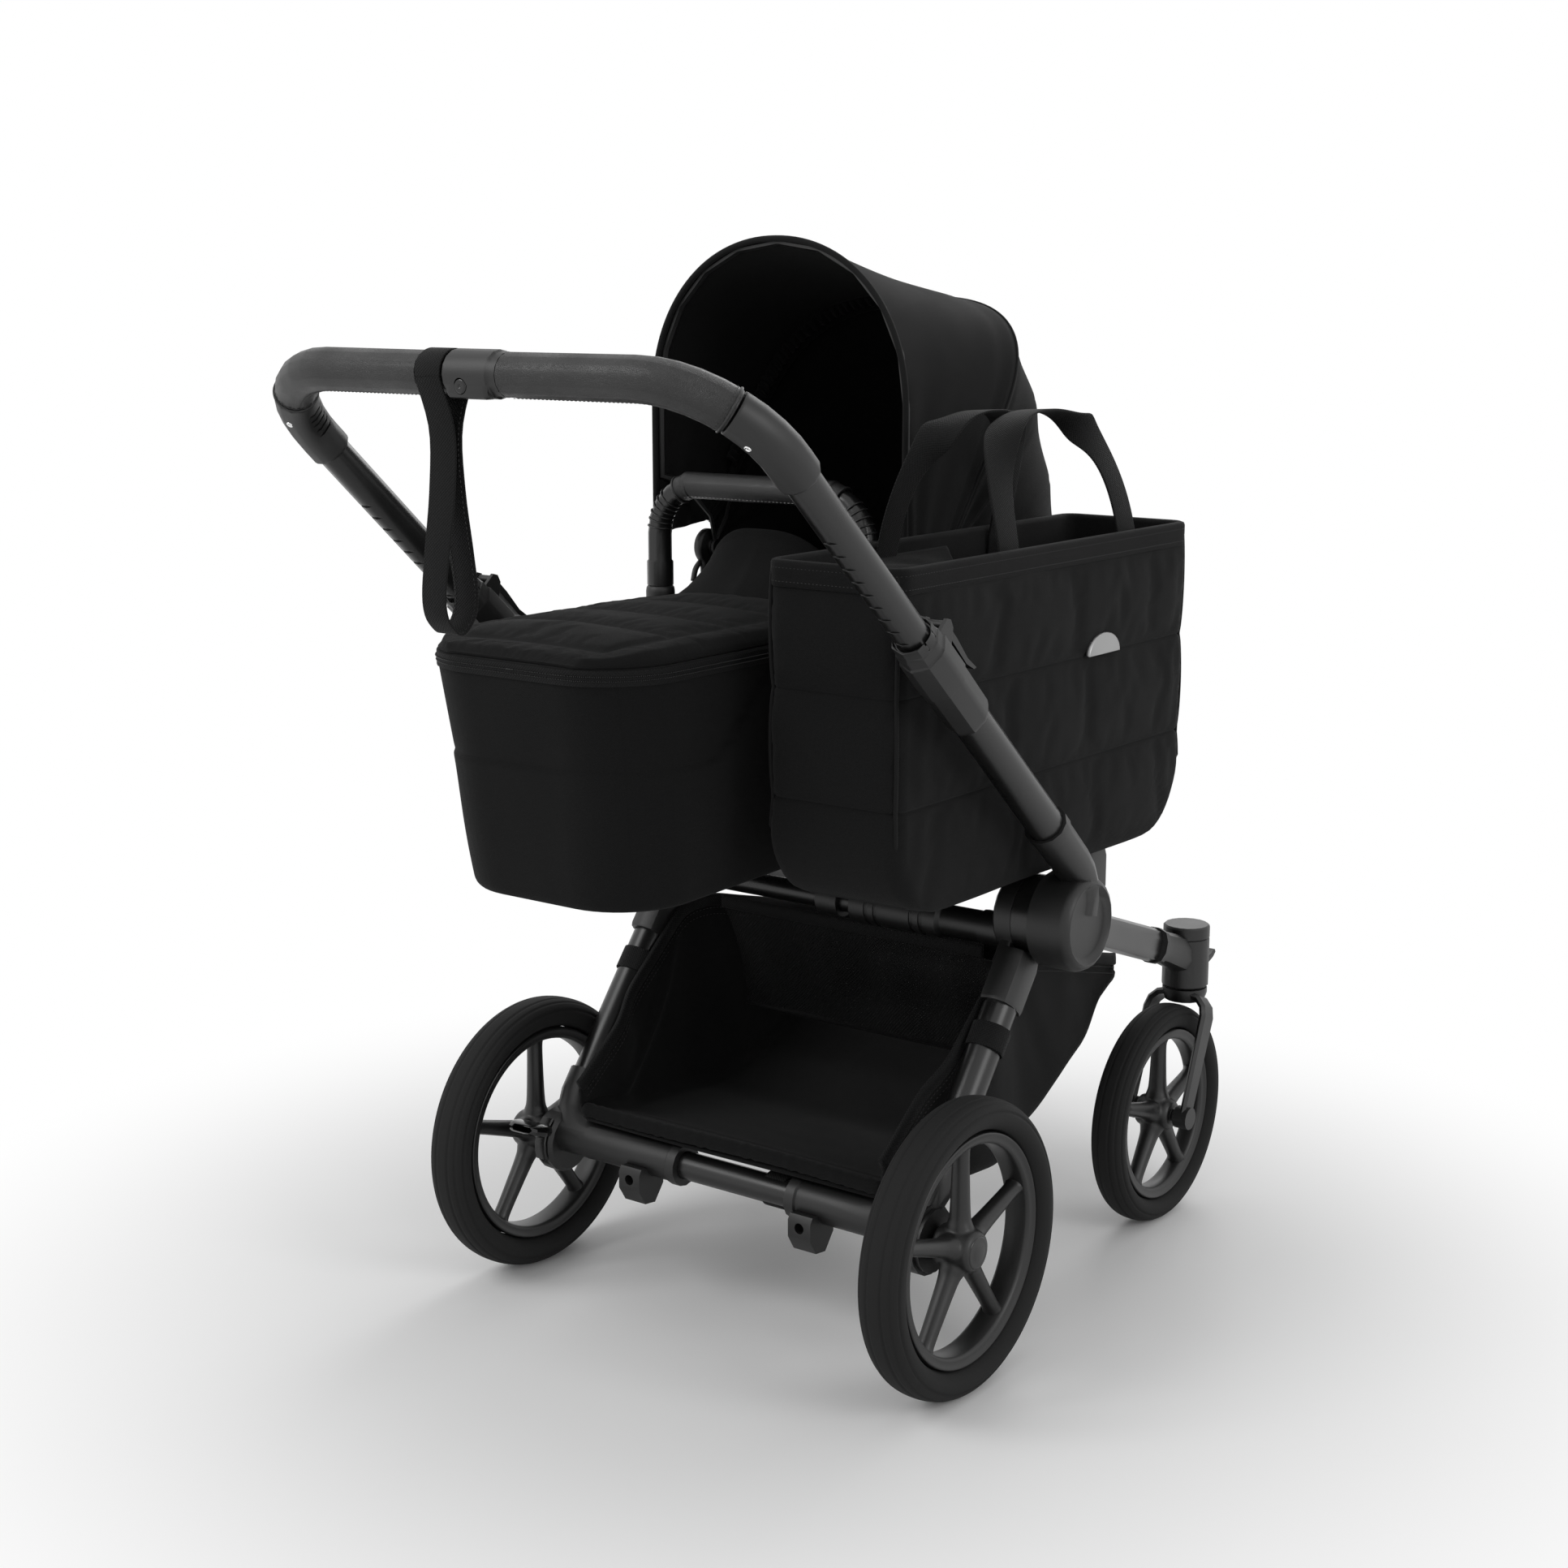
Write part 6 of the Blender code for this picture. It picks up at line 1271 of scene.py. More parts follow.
# %% Canopy: arches
CANOPY_X = COT_X + 0.010
CANOPY_HALF_W = 0.1665
CLOTH_T = 0.0016
HOOP_DEPTH = 0.0053
HOOP_FOOT = 0.034
CANOPY_FOOT = 0.800
FRONT_HOOP_Y = 0.192
CANOPY_TOP = 1.118
SECOND_ANGLE = radians(53.0)
SECOND_REACH = 0.3445
ARCH_POINTS = 97
PIVOT = Vector((0, PIVOT_Y, PIVOT_Z))
SECOND_UP = Vector((0, cos(SECOND_ANGLE), sin(SECOND_ANGLE)))
SECOND_BACK = Vector((0, sin(SECOND_ANGLE), -cos(SECOND_ANGLE)))


def canopy_arch(half, low, high, straight, squareness):
    """An arch from its left foot over the top, evenly spaced. low and high are (y, z)."""
    rough = []
    for i in range(12):
        rough.append((-half, straight * i / 12))
    for i in range(161):
        angle = pi * (1 - i / 160)
        x = half * copysign(abs(cos(angle)) ** (2 / squareness), cos(angle))
        rough.append((x, straight + (1 - straight) * max(sin(angle), 0.0) ** (2 / squareness)))
    for i in reversed(range(12)):
        rough.append((half, straight * i / 12))
    low, high = Vector(low), Vector(high)
    line = [Vector((CANOPY_X + x, *low.lerp(high, share))) for x, share in rough]
    at = lengths_along(line)
    points = []
    k = 0
    for i in range(ARCH_POINTS):
        want = at[-1] * i / (ARCH_POINTS - 1)
        while k < len(line) - 2 and at[k + 1] < want:
            k += 1
        points.append(line[k].lerp(line[k + 1], (want - at[k]) / max(at[k + 1] - at[k], 1e-9)))
    return points


def on_second(reach, shift=0.0):
    """A point (y, z) of the second hoop's plane at a distance from the pivot."""
    point = PIVOT + SECOND_UP * reach + SECOND_BACK * shift
    return point.y, point.z


def walk_sections(stations, count):
    """Evenly many (low, high, straight, squareness) sections on a smooth curve through a few."""
    rows = [np.array([*low, *high, straight, square]) for low, high, straight, square in stations]
    return [((at[0], at[1]), (at[2], at[3]), at[4], at[5]) for at in smooth_walk(rows, count)]


sheet_rows = {}


def canopy_sheet(name, sections, wrinkle):
    """A thin closed sheet through arches. wrinkle(v, u) moves a point off the smooth surface, inwards."""
    count = len(sections)
    outer = [canopy_arch(CANOPY_HALF_W, *section) for section in sections]
    rings = []
    for i, ring in enumerate(outer):
        before, after = outer[max(i - 1, 0)], outer[min(i + 1, count - 1)]
        top, under = [], []
        for j, point in enumerate(ring):
            along = after[j] - before[j]
            across = ring[min(j + 1, ARCH_POINTS - 1)] - ring[max(j - 1, 0)]
            inwards = along.cross(across).normalized()
            centre = Vector((CANOPY_X, PIVOT_Y, PIVOT_Z + 0.05))
            if inwards.dot(centre - point) < 0:
                inwards.negate()
            moved = point + inwards * wrinkle(i / (count - 1), j / (ARCH_POINTS - 1))
            top.append(moved)
            under.append(moved + inwards * CLOTH_T)
        rings.append(top + under[::-1])
        sheet_rows.setdefault(name, []).append(top)
    return skin(name, rings, canvas, None, around=True, caps=True)


hoop_low, hoop_high = (FRONT_HOOP_Y, CANOPY_FOOT), (FRONT_HOOP_Y, CANOPY_TOP)
hoop_arch = canopy_arch(CANOPY_HALF_W, hoop_low, hoop_high, 0.46, 2.1)
print("arch length over the front hoop:", round(length_of(hoop_arch), 3))


# %% Canopy: the two sheets
def front_wrinkle(v, u):
    """The front sheet dips between its hoops, with drag lines down to the pivots."""
    side = abs(2 * u - 1)
    sag = 0.0055 * hump(v) ** 1.3 * (1 - side**6)
    drag = 0.0011 * sin(26 * v + 3 * side) * ease((side - 0.45) / 0.4) * hump(v)
    crease = 0.0016 * dip(v - 0.93, 0.025) + 0.0009 * dip(v - 0.125, 0.012)
    # The cloth rides over the front hoop in a low ridge.
    past_hoop = ease((v - 0.075) / 0.10)
    ridge = -0.0014 * dip(v - 0.030, 0.045)
    return (sag + drag) * past_hoop + crease + ridge


def back_wrinkle(v, u):
    """The back sheet is in gores: it dips between its ribs and has a seam on each."""
    side = abs(2 * u - 1)
    gores = 3.0
    sag = 0.0042 * abs(sin(pi * gores * v)) ** 1.2 * (1 - side**8)
    seam = 0.0014 * sum(dip(v - k / gores, 0.010) for k in (1, 2))
    drag = 0.0010 * sin(30 * v + 2 * side) * ease((side - 0.5) / 0.4)
    return sag + seam + drag + 0.0015 * dip(v - 0.05, 0.02)


second_straight = (0.52 * SECOND_REACH - HOOP_FOOT) / (SECOND_REACH - HOOP_FOOT)


def second_station(shift):
    return on_second(HOOP_FOOT, shift), on_second(SECOND_REACH, shift), second_straight, 2.7


edge_y = FRONT_HOOP_Y - 0.0068
past_y = FRONT_HOOP_Y + 0.0060 + 0.004
second_high = on_second(SECOND_REACH)
between_high = ((edge_y + second_high[0]) / 2, (CANOPY_TOP + second_high[1]) / 2 - 0.001)
front_stations = [
    ((edge_y, CANOPY_FOOT), (edge_y, CANOPY_TOP), 0.46, 2.1),
    ((past_y, 0.801), (past_y, CANOPY_TOP - 0.0004), 0.46, 2.12),
    ((edge_y + 0.048, 0.803), between_high, 0.46, 2.35),
    second_station(-0.0010),
]
back_stations = [second_station(0.0006)]
for degrees, reach, straight, square in (
    (40, 0.340, 0.46, 2.5), (26, 0.336, 0.42, 2.4), (10, 0.338, 0.42, 2.4), (-8.3, 0.3615, 0.46, 2.5),
):
    angle = radians(degrees)
    low = (PIVOT_Y + HOOP_FOOT * cos(angle), PIVOT_Z + HOOP_FOOT * sin(angle))
    high = (PIVOT_Y + reach * cos(angle), PIVOT_Z + reach * sin(angle))
    back_stations.append((low, high, straight, square))

front_sections = walk_sections(front_stations, 40)
back_sections = walk_sections(back_stations, 56)
canopy_front = canopy_sheet("canopy_front_cloth", front_sections, front_wrinkle)
canopy_back = canopy_sheet("canopy_back_cloth", back_sections, back_wrinkle)


def area_of(obj):
    """Half a thin closed sheet's surface: the cloth in it."""
    return sum(face.area for face in obj.data.polygons) / 2


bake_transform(canopy_front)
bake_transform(canopy_back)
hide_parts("canopy_front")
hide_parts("canopy_back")
print("front cloth", round(area_of(canopy_front), 3), "m2, back cloth", round(area_of(canopy_back), 3), "m2")


# %% Canopy: bound edges, piping and the gathered lining
def arch_line(section, depth):
    """An arch moved inwards by a depth, as a path."""
    low, high, straight, square = section
    low, high = Vector(low), Vector(high)
    rising = (high - low).normalized()
    return canopy_arch(CANOPY_HALF_W - depth, low, high - rising * depth, straight, square)


front_edge = arch_line(front_stations[0], 0.0006)
second_edge = arch_line(second_station(0.0), -0.0004)
sleeve_line = arch_line(second_station(-0.002), HOOP_DEPTH + 0.0035)[7:-7]
rim_edge = arch_line(back_stations[-1], 0.0002)
for name, line, section, material, body in (
    ("canopy_front_binding", front_edge, round_section(0.0033, 12), piping, "canopy_front"),
    ("canopy_second_piping", second_edge, round_section(0.0017, 10), piping, "canopy_second"),
    ("canopy_hoop_sleeve", sleeve_line, round_section(0.0062, 14, 0.8), canvas, "canopy_second"),
    ("canopy_rim_binding", rim_edge, round_section(0.0026, 10), piping, "cot"),
):
    sweep(name, line, section, material, body, side=(0, 1, 0))


def make_gathered_strip():
    """The lining behind the second hoop is gathered on elastic: a strip of small tucks."""
    count = 760
    base = arch_line(second_station(-0.010), HOOP_DEPTH + 0.010)
    line = smooth_line(base[8:-8], count)
    rows = 7
    top, under = [], []
    for i, point in enumerate(line):
        centre = Vector((CANOPY_X, point.y, PIVOT_Z + 0.10))
        inwards = (centre - point).normalized()
        tuck = sin(2 * pi * i / 10.8 + 1.3 * sin(i * 0.07))
        ring_top, ring_under = [], []
        for j in range(rows):
            v = j / (rows - 1)
            loose = hump(v)
            depth = 0.0010 + 0.0034 * loose + 0.0026 * tuck * (0.35 + 0.65 * loose)
            offset = inwards * depth - SECOND_BACK * (0.001 + 0.019 * v)
            ring_top.append(point + offset)
            ring_under.append(point + offset - inwards * 0.0010)
        top.append(ring_top)
        under.append(ring_under)
    rings = [upper + lower[::-1] for upper, lower in zip(top, under)]
    return skin("canopy_gathered_lining", rings, canvas, "canopy_second", around=True, caps=True)


gathered = make_gathered_strip()
print("gathered lining", round(area_of(gathered), 4), "m2")

# %% [markdown]
# The bag is quilted: two channels are sewn round it, its rear and front ends are gussets
# whose piped edges run down the corners and round underneath, and its rim is bound. The
# wall is a loft of outlines, held at the channels and piping, and swelled with cloth.

# %% Bag: the quilted wall
BAG_OUTER_X = 0.245
BAG_INNER_X = CANOPY_X + CANOPY_HALF_W + 0.0065
BAG_REAR, BAG_FRONT = -0.065, 0.500
BAG_BOTTOM, BAG_TOP = 0.479, 0.817
BAG_CORNER = 0.080
BAG_WALL = 0.008
QUILT_LINES = (0.588, 0.695)
BAG_RUNS = (8, 64, 8, 64)
BAG_BEND = 6


def bag_outline(above, inset=0.0, swell=0.0):
    """The bag's plan at a height above its bottom; the lower ends round under."""
    under = BAG_CORNER - sqrt(max(BAG_CORNER**2 - max(BAG_CORNER - above, 0.0) ** 2, 0.0))
    fold = 0.007
    tuck = fold - sqrt(max(fold**2 - max(fold - above, 0.0) ** 2, 0.0))
    give_way = inset + tuck - swell
    right, left = BAG_OUTER_X - 0.003 - give_way, BAG_INNER_X + 0.003 + give_way
    rear, front = BAG_REAR + 0.003 + under + give_way, BAG_FRONT - 0.003 - under - give_way
    radius = max(0.018 - inset, 0.006)
    corners = (
        (right - radius, front - radius, radius, 0), (left + radius, front - radius, radius, 90),
        (left + radius, rear + radius, radius, 180), (right - radius, rear + radius, radius, 270),
    )
    return rounded_outline(corners, BAG_BEND, BAG_RUNS)


def bag_levels():
    """Heights above the bottom: close together round the lower corner and at each channel."""
    corner = [BAG_CORNER * (1 - cos(radians(a))) for a in range(6, 91, 7)]
    top = BAG_TOP - BAG_BOTTOM
    levels = corner[:-1] + [BAG_CORNER + (top - 0.004 - BAG_CORNER) * i / 46 for i in range(47)]
    for line in QUILT_LINES:
        levels += [line - BAG_BOTTOM + step for step in (-0.003, -0.0012, 0.0, 0.0012, 0.003)]
    levels = sorted(levels)
    return [level for before, level in zip([-1.0] + levels, levels) if level - before > 0.0006]


def panel_swell(above):
    """How far the quilting stands out between two channels."""
    edges = (0.0,) + tuple(line - BAG_BOTTOM for line in QUILT_LINES) + (BAG_TOP - BAG_BOTTOM,)
    for low, high in zip(edges, edges[1:]):
        if low <= above <= high:
            return 0.0026 * max(sin(pi * (above - low) / (high - low)), 0.0) ** 0.55
    return 0.0


def make_bag():
    rings, held = [], []
    for inset in (0.060, 0.030, 0.010):
        rings.append(ring_at(bag_outline(0.0, inset), BAG_BOTTOM + 0.0005))
        held += [1.0] * len(rings[-1])
    gusset_low, gusset_high = BAG_REAR + 0.020, BAG_FRONT - 0.020
    for above in bag_levels():
        ring = bag_outline(above, 0.0, panel_swell(above))
        z = BAG_BOTTOM + above
        points = []
        for (x, y), out in zip(ring, outward(ring)):
            channel = max(dip(z - line, 0.0042) for line in QUILT_LINES)
            ripple = 0.0006 * sin(41 * y + 9 * z) + 0.0005 * sin(67 * z - 12 * y)
            groove = -0.0012 * max(dip(z - line, 0.0014) for line in QUILT_LINES) + ripple * (1 - channel)
            points.append(Vector((x + out.x * groove, y + out.y * groove, z)))
            corner = max(dip(y - gusset_low, 0.006), dip(y - gusset_high, 0.006)) if abs(out.x) > 0.3 else 0.0
            near_rim = ease((z - BAG_TOP + 0.034) / 0.012)
            held.append(min(1.0, max(channel * 1.3, corner, near_rim, 1 - ease(above / 0.02))))
        rings.append(points)
    inner_top = BAG_TOP - BAG_BOTTOM
    outer_rings = len(rings)
    for drop, inset in ((0.0010, 0.0008), (0.0, 0.0030), (0.0010, BAG_WALL - 0.002)):
        rings.append(ring_at(bag_outline(inner_top, inset), BAG_TOP - drop))
    for k in range(9):
        z = BAG_TOP - 0.006 - (inner_top - 0.050) * k / 8
        rings.append(ring_at(bag_outline(max(z - BAG_BOTTOM, 0.050), BAG_WALL), z))
    rings.append(ring_at(bag_outline(0.022, BAG_WALL + 0.008), BAG_BOTTOM + BAG_WALL))
    held += [1.0] * (len(rings[-1]) * (len(rings) - outer_rings))
    bag = skin("quilted_bag", rings, quilted_canvas, None, around=True, caps=True)
    puff(bag, held, pressure=1.8, cap=0.0032, shrink=-0.006)
    return bag


bag = make_bag()
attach(bag, "bag")
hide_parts("bag")
print("bag:", len(bag.data.polygons), "faces")


# %% Bag: piping, bound rim and lining
def gusset_line(rear, outer):
    """The piped edge of an end gusset, from the rim down the corner and along underneath."""
    x, sideways = (BAG_OUTER_X - 0.0080, 1) if outer else (BAG_INNER_X + 0.0080, -1)
    end, inwards = (BAG_REAR + 0.0080, 1) if rear else (BAG_FRONT - 0.0080, -1)
    path = []
    for i in range(31):
        z = BAG_TOP - 0.004 - (BAG_TOP - BAG_BOTTOM - BAG_CORNER - 0.004) * i / 30
        swell = panel_swell(z - BAG_BOTTOM)
        path.append(Vector((x + sideways * swell, end - inwards * swell, z)))
    for k in range(1, 19):
        angle = radians(90 * k / 18)
        z = BAG_BOTTOM + BAG_CORNER * (1 - sin(angle)) + 0.0025 * sin(angle)
        back = BAG_CORNER * (1 - cos(angle)) - 0.002 * sin(angle)
        path.append(Vector((x, end + inwards * back, z)))
    return path


for end in ("rear", "front"):
    for wall in ("outer", "inner"):
        line = gusset_line(end == "rear", wall == "outer")
        sweep(f"bag_piping_{end}_{wall}", line, round_section(0.0021, 10), piping, "bag")


def make_rim_binding():
    """A folded tape over the bag's rim, 24 mm deep outside, turned over the edge."""
    top = BAG_TOP - BAG_BOTTOM
    rings = []
    for inset, drop in (
        (-0.0004, 0.0240), (-0.0012, 0.0236), (-0.0013, 0.0180), (-0.0009, 0.0150),
        (-0.0013, 0.0120), (-0.0013, 0.0030), (-0.0004, 0.0006), (0.0030, -0.0006),
        (0.0064, 0.0004), (0.0086, 0.0030), (0.0088, 0.0140), (0.0080, 0.0144),
    ):
        ring = bag_outline(top - max(drop, 0.001), inset, panel_swell(top - 0.012))
        rings.append(ring_at(ring, BAG_TOP - drop))
    return skin("bag_rim_binding", rings, quilted_canvas, "bag", around=True)


rim_binding_bag = make_rim_binding()
solid = rim_binding_bag.modifiers.new("tape", "SOLIDIFY")
solid.thickness = 0.0006
solid.offset = 1.0


def make_bag_cover():
    """The soft inner cover: drawn across the rear of the bag, loose and gathered at its open front."""
    columns, rows = 58, 96
    left, right = BAG_INNER_X + 0.0125, BAG_OUTER_X - 0.0125
    rear, front = BAG_REAR + 0.013, BAG_REAR + 0.330
    verts, faces, uvs = [], [], []
    for i in range(rows):
        v = i / (rows - 1)
        loose = ease((v - 0.55) / 0.45)
        for j in range(columns):
            u = j / (columns - 1)
            y = rear + (front - rear) * v - 0.020 * loose * hump(u)
            sag = (0.010 + 0.030 * loose) * hump(u) ** 0.8
            fold = 0.0024 * sin(17 * v + 5 * u) * hump(u)
            fold += 0.0050 * loose * sin(7 * pi * u + 2 * v) * hump(u)
            fold += 0.0016 * sin(31 * u - 11 * v) * hump(u)
            hang = 0.055 * ease((v - 0.90) / 0.10)
            verts.append(Vector((left + (right - left) * u, y, BAG_TOP - 0.0125 - sag + fold - hang)))
    for i in range(rows - 1):
        for j in range(columns - 1):
            a = i * columns + j
            faces.append((a, a + 1, a + columns + 1, a + columns))
            for di, dj in ((0, 0), (0, 1), (1, 1), (1, 0)):
                uvs.append(((j + dj) * (right - left) / columns, (i + di) * (front - rear) / rows))
    cover = piece("bag_inner_cover", verts, faces, uvs, canvas, "bag")
    thick = cover.modifiers.new("cloth", "SOLIDIFY")
    thick.thickness = 0.0012
    return cover


cover = make_bag_cover()


# %% Bag: webbing loops and the plain badge
WEBBING_W, WEBBING_T = 0.036, 0.0025
LOOP_RISE = 0.128


def make_bag_loop(name, foot_x, lean, rear, front, node):
    """A webbing loop sewn inside the rim, turned flat over its top and leaning to meet its twin."""
    count = 90
    foot_z = BAG_TOP - 0.030
    path, wide = [], []
    for i in range(count):
        t = i / (count - 1)
        across = -cos(pi * t)
        rise = hump(t) ** 0.62
        y = (rear + front) / 2 + (front - rear) / 2 * copysign(abs(across) ** 0.85, across)
        path.append(Vector((foot_x + lean * rise**1.5, y, foot_z + (LOOP_RISE + 0.030) * rise)))
        turn = rise**6
        wide.append(Vector((turn + 0.12 * sin(7 * t) * rise, 1 - turn, 0.10 * sin(5 * t) * rise)))
    loop = band(name, path, wide, WEBBING_W, WEBBING_T, webbing, "bag")
    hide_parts(node)
    round(length_of(path), 2)


loop_inset = 0.004 + BAG_WALL + WEBBING_T / 2 + 0.0003
outer_foot, inner_foot = BAG_OUTER_X - loop_inset, BAG_INNER_X + loop_inset
loop_lean = (outer_foot - inner_foot) / 2 - WEBBING_W / 2 - 0.0006
make_bag_loop("webbing_loop_outer", outer_foot, -loop_lean, 0.150, 0.385, "bag_loop_outer")
make_bag_loop("webbing_loop_inner", inner_foot, loop_lean, 0.120, 0.330, "bag_loop_inner")


def make_badge():
    """A plain half-moon of brushed metal on the bag's side, at the upper channel."""
    length, height, thick = 0.064, 0.022, 0.0016
    y_mid, z_low = 0.311, 0.6952
    x = BAG_OUTER_X + 0.0022
    rim, crown, back = [], [], []
    count = 40
    for i in range(count):
        angle = pi * i / (count - 1)
        y, z = y_mid + length / 2 * cos(angle), z_low + height * sin(angle)
        inner_y = y_mid + (length / 2 - 0.002) * cos(angle)
        inner_z = z_low + 0.0008 + (height - 0.002) * sin(angle)
        back.append(Vector((x - 0.006, y, z)))
        rim.append(Vector((x + thick * 0.6, y, z)))
        crown.append(Vector((x + thick, inner_y, inner_z)))
    return skin("bag_plain_badge", [back, rim, crown], dark_metal, "bag", around=True, caps=True)


make_badge()
print("bag piping, binding, cover, loops and badge made")

# %% [markdown]
# The basket is one cloth trough, hemmed over a roll at the back and closed at its nose. Its
# walls are cut from a side view: every upright section takes its width, floor and rim from
# smooth lines through a few measured stations. A gathered net hangs across it.

# %% Basket: the trough
BASKET_REAR, BASKET_FRONT = -0.020, 0.507
BASKET_CLOTH = 0.0034
BASKET_WIDTHS = ((-0.020, 0.2003), (0.060, 0.2003), (0.085, 0.2125), (0.180, 0.2125), (0.250, 0.193),
                 (0.360, 0.1873), (0.507, 0.1643))
BASKET_FLOORS = ((-0.020, 0.1845), (0.022, 0.1845), (0.060, 0.170), (0.207, 0.158), (0.300, 0.184),
                 (0.366, 0.214), (0.420, 0.228), (0.455, 0.262), (0.507, 0.276))
BASKET_RIMS = ((-0.020, 0.214), (-0.012, 0.218), (0.053, 0.268), (0.129, 0.332), (0.180, 0.375),
               (0.215, 0.379), (0.340, 0.348), (0.507, 0.302))


def station_value(stations, y, soft=0.012):
    """The value at y of straight runs between stations, with their corners eased."""
    ys = [station[0] for station in stations]
    values = [station[1] for station in stations]
    return float(np.mean([np.interp(y + soft * k / 3, ys, values) for k in range(-3, 4)]))


def basket_wall_fold(side, y, share):
    """How far a side wall leans in at a share of its height: a sag and slanting folds."""
    sag = 0.0045 * hump(share) * ease((y - 0.02) / 0.06)
    line = 0.050 + 0.115 * share
    fold = 0.0060 * dip(y - line, 0.012) * hump(share) ** 0.6 if side < 0 else 0.0
    line = 0.330 - 0.085 * share
    fold += 0.0035 * dip(y - line, 0.018) * hump(share)
    return sag + fold + 0.0007 * sin(70 * y + 6 * share)


def basket_line(y, inset):
    """One section as (x, z) from the left rim round under the floor to the right rim."""
    half, low, high = (station_value(s, y) for s in (BASKET_WIDTHS, BASKET_FLOORS, BASKET_RIMS))
    half, low = half - inset, low + inset
    radius = 0.016 - inset * 0.5
    wall_steps, floor_steps, bend = 22, 40, 5
    line = []
    for side in (-1, 1):
        wall = []
        for k in range(wall_steps):
            share = 1 - k / wall_steps
            z = low + radius + (high - low - radius) * share
            wall.append((side * (half - basket_wall_fold(side, y, share)), z))
        for k in range(bend + 1):
            angle = radians(90 * k / bend)
            x = side * (half - radius + radius * cos(angle))
            wall.append((x, low + radius - radius * sin(angle)))
        if side < 0:
            line += wall
            flat = half - radius
            for k in range(1, floor_steps):
                x = -flat + 2 * flat * k / floor_steps
                across = sin(pi * k / floor_steps)
                bulge = -0.0035 * across * ease((y - 0.05) / 0.1) * ease((0.45 - y) / 0.1)
                crease = 0.0022 * dip(y - 0.042, 0.0035) + 0.0008 * sin(38 * y + 9 * x) * across
                line.append((x, low + max(bulge + crease, -0.0030)))
        else:
            line += wall[::-1]
    return line


def make_basket():
    rings = []
    ys = [BASKET_REAR + 0.004 + (BASKET_FRONT - 0.004 - BASKET_REAR - 0.004) * i / 88 for i in range(89)]
    for y in sorted(ys + [0.0385, 0.0415, 0.0445]):
        outer, inner = basket_line(y, 0.0), basket_line(y, BASKET_CLOTH)
        ring = [Vector((x, y, z)) for x, z in outer] + [Vector((x, y, z)) for x, z in reversed(inner)]
        rings.append(ring)
    return skin("basket_cloth", rings, canvas, "chassis", around=True, caps=True)


basket_cloth = make_basket()
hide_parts("basket")


def make_nose():
    """The panel that closes the basket's front end."""
    rings = []
    for y in (BASKET_FRONT - 0.0045, BASKET_FRONT - 0.0022, BASKET_FRONT - 0.0006):
        inset = 0.0 if y < BASKET_FRONT - 0.001 else 0.0012
        rings.append([Vector((x, y, z)) for x, z in basket_line(BASKET_FRONT - 0.001, inset)])
    return skin("basket_nose", rings, canvas, "chassis", around=True, caps=True)


nose = make_nose()


def basket_edge(side, inset, drop):
    """The upper edge of a side wall, as a path from the rear hem to the nose."""
    path = []
    for i in range(71):
        y = BASKET_REAR + 0.006 + (BASKET_FRONT - 0.002 - BASKET_REAR - 0.006) * i / 70
        high, half = station_value(BASKET_RIMS, y), station_value(BASKET_WIDTHS, y)
        path.append(Vector((side * (half - inset), y, high - drop)))
    return path


tape = [(0.0026, -0.0125), (0.0029, -0.0060), (0.0027, 0.0), (0.0013, 0.0016)]
tape += [(-across, up) for across, up in reversed(tape)]
for side, name in ((-1, "left"), (1, "right")):
    path = basket_edge(side, BASKET_CLOTH / 2 + 0.0006, 0.0016)
    sweep(f"basket_binding_{name}", path, tape, webbing, "chassis", side=(1, 0, 0))
hem_line = []
for i in range(61):
    x = -0.198 + 0.396 * i / 60
    y = BASKET_REAR + 0.0085 + 0.0012 * sin(21 * x)
    hem_line.append(Vector((x * 0.985, y, 0.1955 + 0.0010 * sin(13 * x + 1))))
hem_widths = [0.0082 + 0.0006 * sin(17 * i / 6) + 0.0004 * sin(2.1 * i) for i in range(61)]
sweep("basket_rear_hem", hem_line, round_section(1.0, 18, 0.92), canvas, "chassis",
      side=(0, 1, 0), scales=hem_widths)
nose_line = [Vector((x, BASKET_FRONT - 0.003, station_value(BASKET_RIMS, BASKET_FRONT) - 0.0012))
             for x in [-0.162 + 0.324 * i / 20 for i in range(21)]]
sweep("basket_nose_binding", nose_line, [(b, a) for a, b in tape], webbing, "chassis", side=(0, 0, 1))
print("basket cloth", round(area_of(basket_cloth), 3), "m2;", len(basket_cloth.data.polygons), "faces")

# %% [markdown]
# The net is a real gathered panel. Its holes are too many and too small to model, so a
# group cuts them out of the material, on a lattice measured in metres of its own cloth.

# %% Basket: the net
net_mesh = new_finish("knitted_net_mesh", "UV", net_group, 0.4, 0.0004, {"Pitch": 0.0040}, {
    "Base_Color": grey(0.010), "Roughness": 0.85, "Specular_IOR_Level": 0.15,
})
NET_FOOT, NET_HEAD = (0.248, 0.2528), (0.200, 0.3928)
NET_HALF = 0.1745


def net_point(u, v):
    gather = 0.0065 * sin(pi * min(v * 1.05, 1.0)) ** 0.7
    wave = cos(4 * pi * (u * 0.97 + 0.05 * v))
    y = NET_FOOT[0] + (NET_HEAD[0] - NET_FOOT[0]) * v + gather * wave
    pull = 1 - 0.03 * hump(v)
    return Vector((NET_HALF * u * pull, y, NET_FOOT[1] + (NET_HEAD[1] - NET_FOOT[1]) * v))


